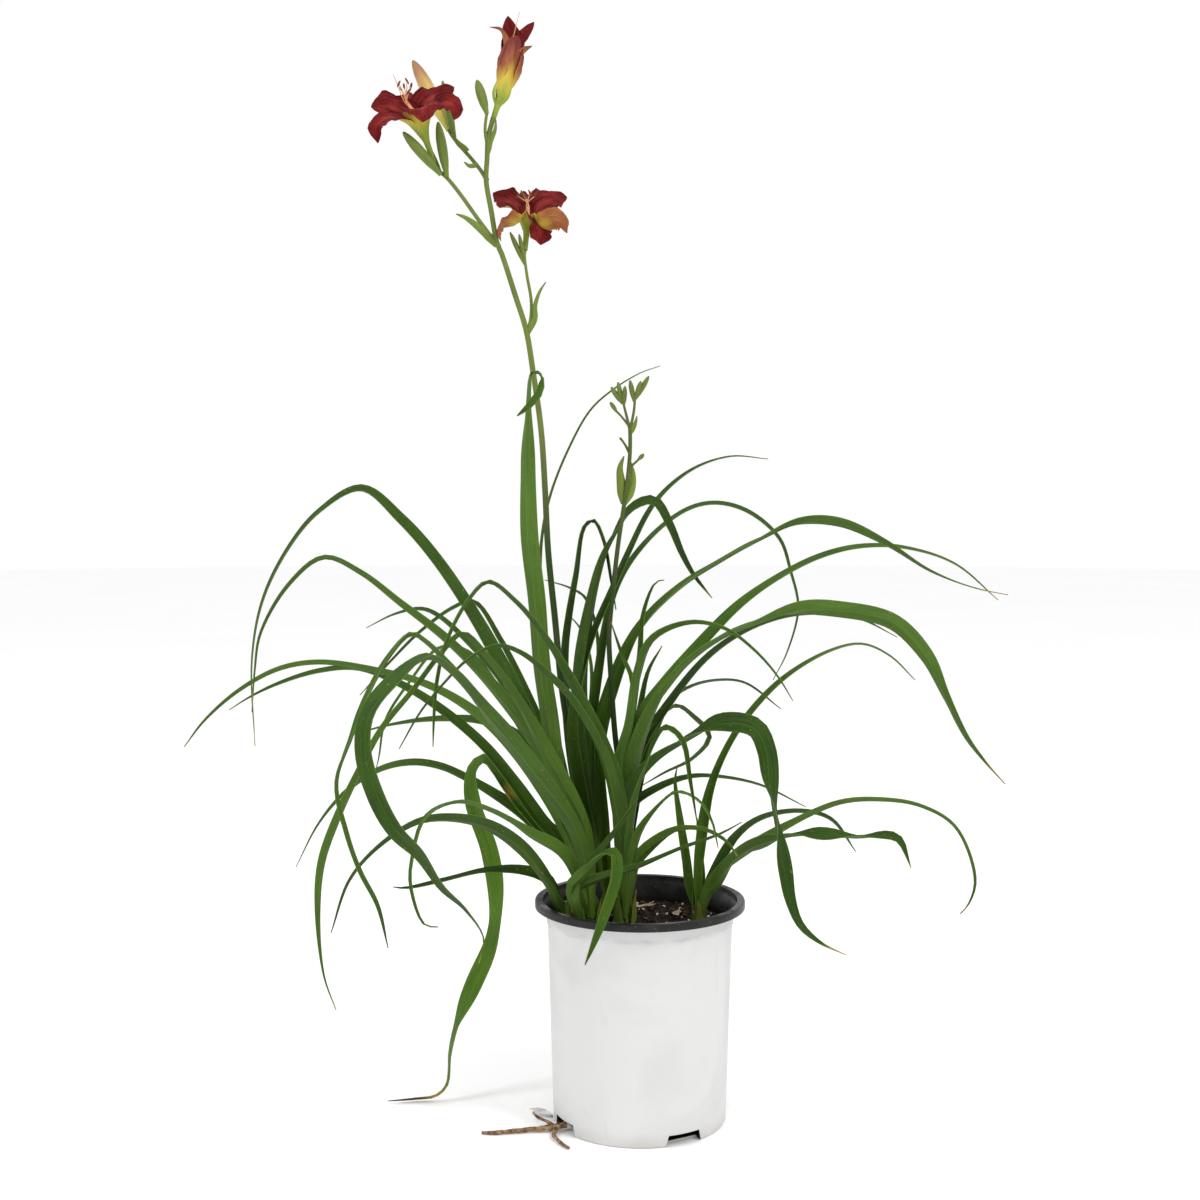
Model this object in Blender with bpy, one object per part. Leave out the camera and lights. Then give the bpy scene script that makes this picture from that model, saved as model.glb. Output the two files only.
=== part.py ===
"""A daylily in bloom, standing in its white nursery pot.

Metres, +Z up, the underside of the pot on z = 0 and its axis on the Z axis.
The plant is drawn from one side: every leaf and stem has a route on a squared
sketch, seen from an eye in front of the pot, and lies in its own upright plane
through the foot that it grows from, so that the leaves arch out all round.
"""

import math
import random

import bmesh
import bpy
from mathutils import Matrix, Vector

MM = 0.001

# The pot, a trade no. 1 nursery pot of thin blow-moulded plastic.
POT_HEIGHT = 176.0 * MM
RIM_RADIUS = 82.8 * MM
WALL_TOP_RADIUS = 73.2 * MM
FLARE_RADIUS = 75.6 * MM
OPENING_RADIUS = 76.6 * MM
BASE_RADIUS = 68.3 * MM
WALL = 1.6 * MM
FLOOR = 2.2 * MM
LIP_HEIGHT = 5.6 * MM
POT_SIDES = 36
SOIL_SIDES = 18
NOTCH_COUNT = 4
NOTCH_WIDTH = 33.0 * MM
NOTCH_HEIGHT = 9.0 * MM
NOTCH_INWARD = 8.0 * MM
NOTCH_OUTWARD = 6.0 * MM
NOTCH_BEVEL = 3.0 * MM
NOTCH_BELOW = 3.0 * MM
NOTCH_TURN = math.radians(-61.0)

# The soil and what stands in it.
SOIL_LEVEL = 157.0 * MM
SOIL_RELIEF = 2.2 * MM
GAP = 0.4 * MM
FOOT_DEPTH = 16.0 * MM
FOOT_RISE = 21.0 * MM
STEM_RISE = 6.0 * MM
LEAF_START = 7.0 * MM

# The sketch: squares of this side, laid square to the line of sight.
SQUARE = 7.8 * MM
EYE = Vector((-31.5 * MM, -1305.0 * MM, 503.0 * MM))
LOOK_DOWN = math.radians(4.0)
SKETCH_REACH = 1308.0 * MM
SIGHT_ACROSS = -4.0
SIGHT_UP = 51.6

# The leaves.
BLADE = 0.75 * MM
CARD_PITCH = 2.4 * MM
KEEL = 0.24
KEELED_WIDTH = 9.5
TIP_HALF = 0.5 * MM
CUTTER_REACH = 12.0 * MM
LEAF_SPAN = 215.0 * MM
LEAF_BEND = math.radians(33.0)
LEAF_TWIST = 80.0
FLAT_SHARE = 0.42
STEM_SPAN = 80.0 * MM
STEM_BEND = math.radians(18.0)
SEAT_RUN = 5.0 * MM

RIGHT = Vector((1.0, 0.0, 0.0))
AHEAD = Vector((0.0, math.cos(LOOK_DOWN), -math.sin(LOOK_DOWN)))
ABOVE = Vector((0.0, math.sin(LOOK_DOWN), math.cos(LOOK_DOWN)))
UP = Vector((0.0, 0.0, 1.0))

# Each foot: place of its middle on the soil, half width and half depth.
FEET = {
    "fan_left": (-38.0, 2.0, 9.0, 18.0),
    "fan_centre": (-24.0, 46.0, 7.5, 11.0),
    "fan_right": (-12.0, 0.0, 8.5, 20.0),
    "offset_left": (-58.5, -15.0, 4.5, 5.5),
    "offset_right": (47.0, -6.0, 5.5, 9.0),
    "shoot_front": (-46.0, -40.0, 4.0, 6.0),
    "scape_tall": (-46.0, 42.0, 3.5, 3.5),
    "scape_young": (-11.0, 32.0, 3.5, 3.5),
}

# Leaves: foot, heading in plan (0 right, 90 away, 180 left, -90 towards the
# eye), full width in mm, face angles from foot to tip (0 and 180 lie flat to the
# eye, 90 is edge-on, above 90 shows the upper side) and the sketch route.
LEAVES = (
    ("fan_left", 162, 13.5, (160, 150, 130, 104, 100),
     ((-6.0, 28.0), (-9.0, 34.6), (-12.3, 41.9), (-15.8, 48.6), (-20.4, 55.6), (-24.0, 59.7),
      (-27.8, 62.7), (-32.0, 60.5), (-35.0, 57.0), (-37.7, 51.6), (-38.8, 45.6), (-38.5, 37.0))),
    ("fan_left", 190, 14.0, (20, 35, 55, 78, 74),
     ((-6.2, 28.0), (-9.5, 35.9), (-14.5, 42.6), (-19.3, 47.5), (-24.0, 51.2), (-28.0, 54.3),
      (-31.6, 55.8), (-35.0, 53.2), (-37.9, 48.3), (-38.5, 44.6), (-38.8, 40.4))),
    ("fan_left", 184, 13.0, (25, 45, 60, 66, 60),
     ((-7.0, 27.5), (-10.0, 33.1), (-14.0, 38.1), (-18.0, 41.3), (-22.0, 43.3), (-26.0, 44.4),
      (-32.0, 45.3), (-36.0, 44.7), (-40.0, 42.6), (-43.5, 39.6), (-45.6, 36.9))),
    ("fan_left", 176, 12.5, (150, 140, 125, 118, 115),
     ((-7.0, 27.0), (-9.5, 29.1), (-12.5, 33.1), (-15.5, 36.8), (-19.0, 39.9), (-23.0, 42.6),
      (-28.0, 44.7), (-32.0, 44.5), (-36.0, 43.3), (-39.0, 41.9), (-41.1, 40.6))),
    ("fan_left", 147, 11.0, (165, 150, 125, 115),
     ((-6.0, 28.6), (-8.5, 33.6), (-11.5, 37.4), (-15.0, 39.3), (-20.0, 39.7), (-25.0, 39.1),
      (-28.8, 38.1))),
    ("fan_left", 217, 12.0, (15, 30, 60, 80, 105, 60, 40),
     ((-6.5, 28.0), (-10.0, 34.0), (-14.5, 39.1), (-18.0, 43.8), (-21.5, 47.5), (-22.9, 48.2),
      (-25.2, 45.8), (-27.8, 40.8), (-28.8, 38.0), (-30.3, 33.5), (-29.3, 28.4), (-28.0, 24.6),
      (-26.2, 21.0), (-25.2, 16.8))),
    ("fan_left", 232, 15.0, (12, 25, 50, 70, 130, 150, 120, 100),
     ((-6.0, 27.6), (-10.5, 34.4), (-15.5, 40.6), (-19.0, 44.6), (-21.2, 45.9), (-24.5, 43.6),
      (-27.2, 40.1), (-27.6, 36.6), (-26.4, 32.1), (-24.5, 28.6), (-22.0, 26.1), (-19.8, 22.9),
      (-17.3, 20.5), (-15.6, 17.6), (-16.1, 15.3))),
    ("fan_left", 152, 8.0, (165, 150, 115, 125),
     ((-5.6, 29.0), (-8.0, 34.6), (-11.0, 41.6), (-14.0, 47.6), (-16.6, 51.4), (-18.5, 50.9),
      (-22.0, 48.4), (-25.0, 45.4), (-28.0, 42.1))),
    ("fan_left", 137, 9.0, (168, 150, 120, 120),
     ((-5.4, 29.0), (-8.0, 33.1), (-11.0, 38.6), (-14.0, 43.6), (-17.0, 47.1), (-20.0, 49.9),
      (-21.8, 50.7), (-24.5, 50.2), (-27.4, 48.8))),
    ("fan_left", 207, 13.0, (15, 35, 65, 84, 60, 50, 70),
     ((-5.4, 28.4), (-9.5, 36.6), (-12.0, 41.1), (-15.0, 45.4), (-17.8, 48.2), (-19.6, 46.6),
      (-22.8, 42.4), (-25.8, 38.6), (-28.2, 34.1), (-30.2, 29.9), (-31.8, 25.4), (-32.2, 20.6),
      (-31.6, 14.1), (-30.4, 10.6))),
    ("fan_left", 157, 12.0, (155, 140, 122, 112, 108),
     ((-6.6, 27.0), (-10.0, 28.8), (-12.0, 30.4), (-14.2, 31.9), (-17.3, 33.7), (-20.0, 34.9),
      (-22.8, 35.3), (-26.0, 34.6), (-29.5, 32.3), (-32.2, 29.1), (-34.4, 24.9))),
    ("fan_left", 226, 11.0, (18, 40, 80, 110, 120),
     ((-7.4, 26.0), (-11.0, 28.3), (-15.0, 30.6), (-18.5, 31.4), (-21.5, 29.8), (-22.8, 25.4),
      (-22.9, 23.1), (-21.6, 19.2), (-20.2, 18.9))),
    ("fan_left", 170, 15.0, (165, 150, 120, 100, 150, 165, 130, 165, 100, 84, 72),
     ((-7.0, 26.6), (-10.0, 29.1), (-13.5, 33.1), (-14.5, 34.4), (-15.6, 35.6), (-16.6, 34.6),
      (-16.6, 31.4), (-15.0, 26.6), (-14.3, 21.6), (-14.7, 17.6), (-16.6, 13.2), (-18.2, 9.3),
      (-19.0, 6.1), (-19.3, 3.1, 27.0), (-20.4, 2.0, 27.0), (-22.4, 1.7, 28.0),
      (-25.2, 1.5, 24.0))),
    ("fan_left", 142, 9.0, (160, 140, 110, 120),
     ((-5.8, 28.6), (-9.0, 34.0), (-13.0, 40.6), (-17.0, 46.2), (-20.0, 46.8), (-23.0, 43.4),
      (-25.5, 39.4), (-26.1, 35.9), (-26.5, 34.3))),
    ("fan_left", 196, 15.0, (10, 18, 20, 22, 25, 30, 45, 85, 150),
     ((-5.5, 27.6), (-7.7, 30.6), (-8.4, 33.6), (-9.1, 39.6), (-9.9, 45.1), (-10.4, 51.6),
      (-11.1, 57.6), (-11.3, 64.6), (-11.2, 71.6), (-10.8, 74.3, -24.0), (-9.9, 74.1, -30.0),
      (-9.9, 72.6, -34.0), (-10.9, 71.2, -35.0), (-12.3, 70.0, -35.0))),
    ("fan_centre", 152, 11.0, (150, 140, 130, 115, 140),
     ((-5.2, 28.6), (-6.6, 34.6), (-7.5, 41.6), (-7.6, 46.6), (-7.2, 50.1), (-6.5, 54.1),
      (-5.6, 59.0), (-4.6, 59.6), (-3.6, 57.6), (-2.8, 53.1), (-2.4, 50.6))),
    ("fan_centre", 16, 15.0, (12, 25, 40, 60, 130, 140),
     ((-4.4, 28.6), (-5.2, 34.6), (-5.9, 42.6), (-5.5, 47.6), (-3.7, 55.6), (-2.3, 58.6),
      (-0.6, 60.9), (1.4, 61.5), (3.0, 59.0), (4.1, 56.4), (5.3, 54.2), (7.2, 51.8))),
    ("fan_centre", 30, 11.0, (150, 140, 125, 110, 110),
     ((-5.0, 29.0), (-6.4, 36.0), (-6.6, 40.0), (-5.0, 47.1), (-2.5, 53.1), (-1.2, 56.1),
      (1.5, 61.3), (5.0, 64.5), (9.0, 65.95), (12.8, 65.7))),
    ("fan_centre", 40, 9.5, (155, 140, 120, 110, 125, 115),
     ((-4.6, 29.0), (-4.9, 37.6), (-4.2, 43.6), (-2.4, 52.6), (0.5, 57.2), (4.5, 60.5),
      (7.6, 61.25), (11.0, 60.3), (14.0, 57.6), (15.0, 54.6), (15.8, 50.8), (14.7, 46.4),
      (13.3, 43.6))),
    ("fan_centre", 150, 7.0, (150, 130, 110, 100),
     ((-6.4, 30.0), (-8.8, 40.0), (-10.0, 50.0), (-9.9, 57.6), (-9.0, 62.1), (-7.0, 67.1),
      (-5.0, 70.6), (-2.8, 72.6), (0.0, 74.3), (2.0, 75.0))),
    ("fan_centre", 130, 6.0, (150, 120, 120),
     ((-5.0, 30.0), (-4.6, 40.0), (-4.3, 48.0), (-5.4, 51.7), (-7.0, 52.8), (-9.5, 53.6))),
    ("fan_centre", 112, 6.0, (150, 130, 120),
     ((-5.4, 30.0), (-5.2, 38.0), (-4.9, 45.0), (-5.8, 48.4), (-7.2, 50.2))),
    ("fan_right", 208, 13.0, (15, 30, 50, 80, 76, 70),
     ((-1.6, 27.6), (-2.0, 31.6), (-4.0, 37.6), (-6.5, 42.6), (-9.9, 48.4), (-12.5, 51.5),
      (-15.2, 53.4), (-17.2, 51.5), (-19.3, 47.4), (-20.3, 43.2), (-20.6, 39.6), (-20.7, 36.9))),
    ("fan_right", 217, 11.0, (15, 35, 65, 76, 64),
     ((-2.0, 28.6), (-3.5, 35.6), (-6.5, 41.1), (-9.2, 44.1), (-12.0, 46.3), (-14.3, 47.0),
      (-17.0, 45.8), (-20.0, 42.8), (-22.0, 40.3), (-24.1, 36.7))),
    ("fan_centre", 10, 14.5, (165, 155, 135, 116, 92, 40, 70, 100),
     ((-3.6, 28.6), (-4.2, 36.6), (-2.7, 42.8), (0.0, 48.8), (4.0, 52.9), (8.0, 55.5),
      (12.0, 57.7), (16.0, 59.4), (20.0, 59.3), (24.5, 57.3), (29.0, 54.5), (33.5, 52.8),
      (36.8, 52.1))),
    ("fan_right", 25, 13.5, (165, 150, 130, 112, 108, 115),
     ((-2.0, 28.6), (-1.4, 34.0), (0.3, 39.9), (2.7, 43.3), (6.5, 47.6), (10.0, 51.1),
      (14.0, 53.9), (18.0, 55.9), (22.0, 56.9), (26.5, 56.8), (31.5, 55.2), (35.8, 51.6))),
    ("fan_right", -8, 14.5, (15, 30, 55, 74, 88, 30, 12, 60, 75),
     ((-1.6, 27.6), (-0.6, 35.6), (1.5, 41.1), (4.5, 45.1), (8.0, 47.8), (12.0, 49.5),
      (16.0, 50.7), (20.0, 50.6), (25.3, 49.4), (28.6, 46.1), (30.5, 42.1), (32.6, 37.9),
      (34.5, 35.4), (36.5, 33.2))),
    ("fan_right", 34, 10.0, (160, 145, 125, 112, 110),
     ((-1.6, 30.0), (0.0, 36.6), (3.0, 41.3), (6.5, 45.6), (10.0, 48.2), (14.0, 49.8),
      (18.0, 50.25), (22.0, 49.7), (25.7, 47.9))),
    ("fan_right", -31, 12.0, (15, 30, 55, 72, 70),
     ((-2.0, 28.6), (-1.9, 35.6), (-1.0, 39.1), (-0.2, 44.1), (1.2, 47.6), (5.0, 49.3),
      (8.5, 48.7), (11.5, 46.5), (13.8, 43.9), (15.3, 41.5))),
    ("fan_right", 58, 9.0, (165, 150, 140),
     ((-1.0, 29.6), (-0.6, 36.0), (0.1, 41.1), (0.8, 44.4), (2.2, 47.0))),
    ("fan_right", 48, 8.0, (165, 155, 140),
     ((-1.4, 30.0), (-1.0, 38.0), (0.0, 46.0), (0.3, 50.1), (1.5, 53.3), (2.4, 53.6))),
    ("fan_right", 45, 8.0, (155, 130, 112, 115),
     ((-0.8, 29.0), (0.6, 35.6), (3.2, 41.6), (5.0, 42.9), (7.5, 43.55), (10.5, 43.3),
      (14.1, 40.7))),
    ("fan_right", 40, 10.0, (155, 130, 100, 60, 50),
     ((-1.5, 28.6), (-0.5, 34.6), (1.0, 38.6), (3.5, 41.0), (5.2, 40.0), (6.9, 37.9),
      (5.2, 35.8), (2.5, 34.4), (0.3, 33.1))),
    ("fan_right", -24, 16.0, (15, 35, 60, 76, 95, 170, 165, 92, 150, 130, 100),
     ((-1.5, 28.6), (-0.8, 32.6), (1.5, 35.6), (4.8, 37.8), (8.0, 39.3), (11.5, 38.8),
      (12.6, 36.6), (13.0, 33.6), (13.6, 29.6), (14.5, 24.6), (15.0, 21.6), (16.0, 19.1),
      (18.0, 17.3), (20.6, 16.1))),
    ("fan_right", -50, 8.5, (20, 60, 130, 140),
     ((-0.9, 29.0), (0.4, 34.6), (2.4, 38.8), (4.2, 37.6), (5.0, 33.6), (5.7, 29.4))),
    ("fan_right", -44, 9.0, (15, 45, 100, 120),
     ((-0.4, 27.6), (1.0, 30.0), (3.6, 32.4), (6.0, 31.4), (7.2, 29.4), (7.8, 26.8))),
    ("fan_right", -38, 11.5, (15, 30, 62, 60),
     ((-0.6, 25.4), (0.0, 26.0), (1.0, 27.0), (3.5, 28.6), (6.5, 28.6), (8.7, 27.4),
      (9.7, 26.0))),
    ("fan_right", 20, 9.0, (160, 130, 112, 110),
     ((-1.2, 29.0), (-0.8, 31.0), (2.0, 32.9), (5.0, 33.9), (8.0, 33.9), (12.0, 33.1),
      (16.6, 30.9))),
    ("fan_right", 140, 8.0, (160, 150, 140),
     ((-1.8, 30.0), (-1.0, 38.0), (-0.8, 43.6), (-1.8, 46.1), (-2.9, 49.4))),
    ("offset_left", 193, 12.0, (20, 40, 60, 66, 70),
     ((-9.4, 23.8), (-12.0, 26.9), (-15.0, 28.9), (-18.5, 29.7), (-22.0, 29.4), (-26.0, 27.0),
      (-29.0, 23.6), (-30.9, 18.3))),
    ("offset_left", 178, 10.0, (165, 140, 110, 125),
     ((-9.3, 23.7), (-11.5, 24.5), (-15.5, 24.5), (-19.5, 23.6), (-23.5, 22.8), (-24.7, 22.9))),
    ("offset_left", 215, 8.0, (10, 20, 30),
     ((-8.6, 22.0), (-9.1, 23.2), (-9.8, 24.4))),
    ("offset_right", 14, 10.5, (150, 120, 108, 112),
     ((5.8, 23.6), (6.1, 27.1), (7.1, 32.6), (8.7, 36.6), (11.0, 40.2), (14.5, 43.8),
      (19.0, 46.5), (22.2, 47.2), (25.0, 46.0), (27.5, 43.6))),
    ("offset_right", -10, 10.0, (30, 60, 76, 66, 60),
     ((6.6, 22.6), (8.0, 24.6), (11.0, 26.8), (15.0, 29.1), (20.0, 31.3), (24.0, 31.6),
      (28.0, 31.0), (31.5, 28.9), (33.5, 23.6), (32.8, 21.1), (32.0, 20.2))),
    ("offset_right", -25, 12.0, (30, 50, 80, 30, 88, 150, 95, 140, 110),
     ((6.8, 22.4), (7.5, 23.1), (9.0, 25.4), (10.5, 26.6), (14.5, 28.0), (17.5, 28.2),
      (21.5, 27.9), (25.7, 27.8), (26.8, 25.6), (27.1, 24.8))),
    ("offset_right", 38, 9.5, (150, 130, 112, 120),
     ((6.9, 23.4), (7.5, 24.6), (9.5, 27.8), (12.0, 29.7), (16.0, 30.45), (19.2, 29.6),
      (21.6, 26.4))),
    ("offset_right", 150, 8.0, (150, 150, 140),
     ((5.0, 22.6), (4.6, 25.6), (3.9, 30.1), (3.5, 33.6), (3.7, 34.8))),
    ("offset_right", 60, 7.0, (150, 140, 140),
     ((6.2, 23.6), (6.1, 25.6), (5.9, 27.6), (5.7, 29.8))),
    ("shoot_front", -80, 10.0, (20, 40, 80, 150, 160, 140),
     ((-6.9, 22.8, -42.0), (-6.0, 23.9, -50.0), (-5.0, 25.0, -62.0), (-3.6, 26.3, -78.0),
      (-2.5, 26.2, -90.0), (-2.4, 24.1, -95.0), (-3.4, 20.6, -97.0), (-4.5, 17.6, -97.0),
      (-5.5, 15.1, -95.0))),
    ("shoot_front", -20, 8.5, (30, 40, 50),
     ((-6.3, 22.6), (-5.0, 25.1), (-3.5, 27.1), (-2.0, 29.1), (-0.3, 31.6))),
    ("shoot_front", -4, 8.5, (25, 50, 70, 70),
     ((-6.6, 22.4), (-4.4, 23.7), (-2.0, 24.4), (0.0, 25.0), (4.0, 26.7), (8.0, 28.2), (10.2, 29.4))),
    ("shoot_front", 240, 8.0, (20, 30, 40),
     ((-6.5, 21.8), (-6.3, 22.8), (-6.1, 23.9))),
)

# How late a leaf narrows towards its tip: of most leaves, and of some by foot and heading.
TAPER = 3.2
TAPERS = {
    ("fan_left", 196): 14.0, ("fan_left", 170): 7.0, ("fan_right", -8): 5.5, ("fan_right", -24): 5.5,
    ("fan_left", 232): 5.0, ("fan_left", 217): 4.2, ("fan_right", 208): 4.2,
    ("fan_centre", 16): 4.5, ("offset_right", -25): 7.0, ("shoot_front", -80): 5.0,
}

# Flower stems and their side twigs: radius at the foot and at the end in mm,
# depth behind the pot's axis in mm at the foot and the end, sketch route, and
# the bloom or bud that the end bears.
TALL_STEM = (3.0, 1.9, 43.0, 44.0,
             ((-5.0, 25.6), (-6.5, 34.6), (-7.8, 42.6), (-8.5, 49.6), (-9.2, 56.6), (-9.5, 62.6),
              (-9.9, 68.6), (-10.7, 74.4), (-11.4, 78.6), (-12.5, 82.1), (-13.8, 86.1),
              (-14.3, 87.3), (-14.9, 90.6), (-15.4, 93.6), (-15.3, 95.6), (-15.2, 97.8)), "bloom_top")
TALL_TWIGS = (
    (1.7, 1.5, 43.5, 42.5, ((-14.1, 86.9), (-16.0, 89.4), (-18.0, 92.2), (-19.3, 93.8)),
     "bloom_left"),
    (1.6, 1.4, 44.0, 64.0, ((-15.3, 93.6), (-16.1, 94.8), (-17.0, 95.9), (-17.8, 96.8)), "bud_large"),
    (1.4, 1.1, 43.5, 48.0, ((-11.3, 78.0), (-10.9, 80.0), (-10.9, 81.7), (-11.3, 84.0)), "bloom_low"),
    (1.3, 1.1, 44.0, 40.5, ((-15.25, 96.9), (-15.5, 98.6), (-15.3, 100.5)), None),
)
# Bracts: width in mm, depth in mm at foot and tip, sketch route.
TALL_BRACTS = (
    (7.0, 43.8, 36.0, ((-14.3, 87.0), (-15.5, 88.3), (-17.4, 89.8), (-18.4, 90.2))),
    (5.0, 44.0, 40.0, ((-15.3, 96.0), (-15.0, 97.4), (-14.5, 98.6), (-14.4, 99.6))),
    (4.5, 43.8, 38.0, ((-11.2, 78.2), (-10.5, 79.8), (-10.5, 81.0), (-10.0, 82.5), (-9.4, 83.4))),
    (5.0, 57.0, 60.0, ((-17.2, 96.5), (-18.1, 97.2), (-18.9, 98.2))),
    (4.0, 50.0, 46.0, ((-16.2, 95.2), (-17.0, 95.0), (-17.6, 95.4))),
)
# Green buds: thickness in mm, depth in mm at foot and tip, foot and tip on the sketch.
TALL_BUDS = (
    (8.4, 39.5, 29.0, (-19.9, 94.1), (-23.7, 98.4)),
    (8.0, 41.0, 38.0, (-19.3, 93.9), (-20.2, 99.4)),
    (3.6, 44.0, 52.0, (-19.8, 94.1), (-21.1, 96.9)),
    (7.8, 40.5, 39.0, (-15.3, 100.2), (-16.3, 103.6)),
    (4.2, 49.0, 47.0, (-11.4, 84.9), (-13.0, 88.4)),
    (3.6, 49.2, 44.5, (-11.45, 85.2), (-12.1, 88.2)),
    (6.4, 69.5, 73.0, (-18.5, 97.8), (-19.75, 103.5)),
)
LARGE_BUD = (12.0, 75.0, 86.0, (-19.1, 98.6), (-22.7, 105.5))

YOUNG_STEM = (2.8, 1.5, 30.0, 20.0,
              ((-1.6, 25.6), (-1.8, 30.6), (-2.0, 34.1), (-2.5, 38.1), (-2.9, 43.6), (-3.1, 48.1),
               (-2.7, 52.6), (-2.2, 57.1), (-1.6, 61.1), (-1.2, 64.1), (-1.0, 66.6), (-1.0, 69.1)), None)
YOUNG_TWIGS = (
    (1.2, 0.9, 20.0, 21.0, ((-1.0, 68.6), (-1.5, 70.6), (-1.8, 71.8)), None),
    (1.2, 0.9, 20.0, 17.0, ((-1.0, 68.6), (-0.6, 70.6), (-0.5, 72.2)), None),
    (1.0, 0.8, 22.5, 20.0, ((-1.1, 64.8), (-0.4, 65.4), (0.0, 65.8)), None),
    (1.0, 0.8, 22.0, 25.0, ((-1.1, 66.4), (-1.6, 67.3), (-2.0, 67.8)), None),
    (0.9, 0.8, 20.0, 24.0, ((-1.1, 69.0), (-1.9, 70.0), (-2.5, 70.6)), None),
)
YOUNG_BRACTS = (
    (8.5, 23.5, 19.0, ((-1.6, 61.2), (-1.9, 63.4), (-2.0, 64.8), (-1.6, 66.0))),
    (7.0, 23.8, 28.0, ((-1.6, 61.2), (-0.9, 62.6), (-0.7, 64.0), (-1.0, 65.6))),
    (4.0, 20.2, 15.0, ((-1.0, 68.2), (-0.5, 69.2), (-0.3, 70.0))),
)
YOUNG_BUDS = (
    (4.2, 20.8, 22.5, (-1.75, 71.2), (-2.9, 72.9)),
    (4.0, 20.9, 20.0, (-1.8, 71.4), (-2.2, 73.4)),
    (4.0, 20.6, 18.0, (-1.6, 71.0), (-1.5, 73.0)),
    (4.2, 17.5, 16.5, (-0.6, 71.4), (-1.0, 73.6)),
    (4.0, 17.2, 14.0, (-0.5, 71.6), (0.1, 73.5)),
    (4.2, 17.4, 17.0, (-0.5, 71.6), (0.9, 74.0)),
    (3.4, 23.5, 25.0, (-2.3, 70.4), (-3.0, 71.4)),
    (3.4, 20.5, 19.5, (-0.2, 65.6), (0.4, 66.2)),
)

# Blooms: foot and throat on the sketch with their depth in mm, how far the edges
# wave in mm, how far they close round the stamens, and the petals and sepals of each: kind, full width in mm, turn
# about the midline in degrees at the middle and the tip, and the route.
BLOOMS = {
    "bloom_left": ((-20.6, 95.4, 42.0), (-22.1, 99.5, 36.0), 2.4, 0.1, (
        ("petal", 27.0, -35.0, -50.0, ((-23.7, 100.4, 38.0), (-25.2, 101.0, 38.0), (-26.9, 100.9, 35.0))),
        ("petal", 27.0, 30.0, 40.0, ((-21.4, 101.3, 46.0), (-20.0, 102.1, 52.0), (-18.6, 102.9, 54.0))),
        ("petal", 28.0, 0.0, 0.0, ((-22.0, 100.5, 24.0), (-21.8, 100.8, 13.0), (-21.7, 99.4, 5.0))),
        ("sepal", 15.0, -40.0, -60.0,
         ((-23.7, 99.5, 27.0), (-25.1, 99.9, 21.0), (-26.4, 99.0, 18.0), (-26.2, 97.3, 19.0))),
        ("sepal", 19.0, 35.0, 45.0,
         ((-20.8, 100.5, 28.0), (-19.5, 101.3, 21.0), (-18.4, 100.7, 17.0), (-18.6, 99.6, 17.0))),
        ("sepal", 13.0, 0.0, 0.0, ((-22.8, 101.0, 50.0), (-23.0, 101.8, 58.0), (-23.3, 102.4, 68.0))),
    )),
    "bloom_low": ((-11.5, 86.6, 50.0), (-11.2, 89.9, 62.0), 2.4, 0.1, (
        ("petal", 26.0, -50.0, -60.0, ((-12.3, 90.9, 74.0), (-13.6, 91.8, 84.0), (-14.7, 92.3, 88.0))),
        ("petal", 26.0, 50.0, 60.0, ((-10.1, 91.0, 76.0), (-8.6, 91.7, 86.0), (-7.3, 91.9, 91.0))),
        ("petal", 24.0, 0.0, 0.0, ((-10.6, 89.6, 53.0), (-10.0, 88.6, 49.0), (-9.9, 87.1, 50.0))),
        ("sepal", 13.0, 0.0, 0.0, ((-11.4, 90.9, 78.0), (-11.6, 91.7, 90.0), (-11.6, 92.5, 99.0))),
        ("sepal", 19.0, -35.0, -60.0,
         ((-10.0, 89.1, 51.0), (-8.8, 89.6, 43.0), (-7.8, 89.4, 38.0), (-7.3, 88.3, 38.0))),
        ("sepal", 17.0, 40.0, 70.0,
         ((-12.3, 89.3, 48.0), (-13.3, 89.5, 40.0), (-14.1, 88.7, 34.5), (-13.9, 87.5, 34.5))),
    )),
    "bloom_top": ((-14.65, 99.8, 44.5), (-13.8, 102.4, 44.0), 0.9, 0.5, (
        ("petal", 19.0, 0.0, 0.0, ((-13.5, 104.1, 49.0), (-13.0, 107.0, 51.0), (-13.2, 110.0, 50.0))),
        ("petal", 19.0, 0.0, 0.0, ((-12.6, 104.3, 48.0), (-11.9, 107.2, 49.0), (-10.6, 109.4, 48.0))),
        ("petal", 20.0, 0.0, 0.0, ((-13.1, 104.5, 38.0), (-12.6, 107.0, 36.0), (-12.2, 108.0, 33.0))),
        ("sepal", 11.0, 0.0, 0.0,
         ((-13.95, 104.2, 42.0), (-13.55, 106.6, 41.0), (-13.9, 108.5, 40.0), (-15.0, 108.9, 39.0))),
        ("sepal", 13.0, 0.0, 0.0, ((-12.65, 104.2, 42.0), (-11.5, 106.6, 41.0), (-10.8, 107.0, 39.0))),
        ("sepal", 13.0, 0.0, 0.0, ((-13.2, 104.2, 50.5), (-12.2, 107.0, 53.0), (-11.6, 108.4, 56.0))),
    )),
}
TUBE_END = 0.72
TUBE_RADIUS = 2.1 * MM
TUBE_FLARE = 1.6
TEPAL_ROOT = 0.45
TEPAL_PART = 0.86
TEPAL_INSET = 1.4 * MM
THROAT_RADIUS = 6.6 * MM
TEPAL_THICKNESS = 1.0 * MM
TEPAL_ROWS = (0.0, 0.2, 0.4, 0.6, 0.8, 1.0)
# Share of the length where a petal or sepal is widest, and its width at the root.
FULLNESS = {"petal": (0.62, 0.16), "sepal": (0.56, 0.26)}

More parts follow.
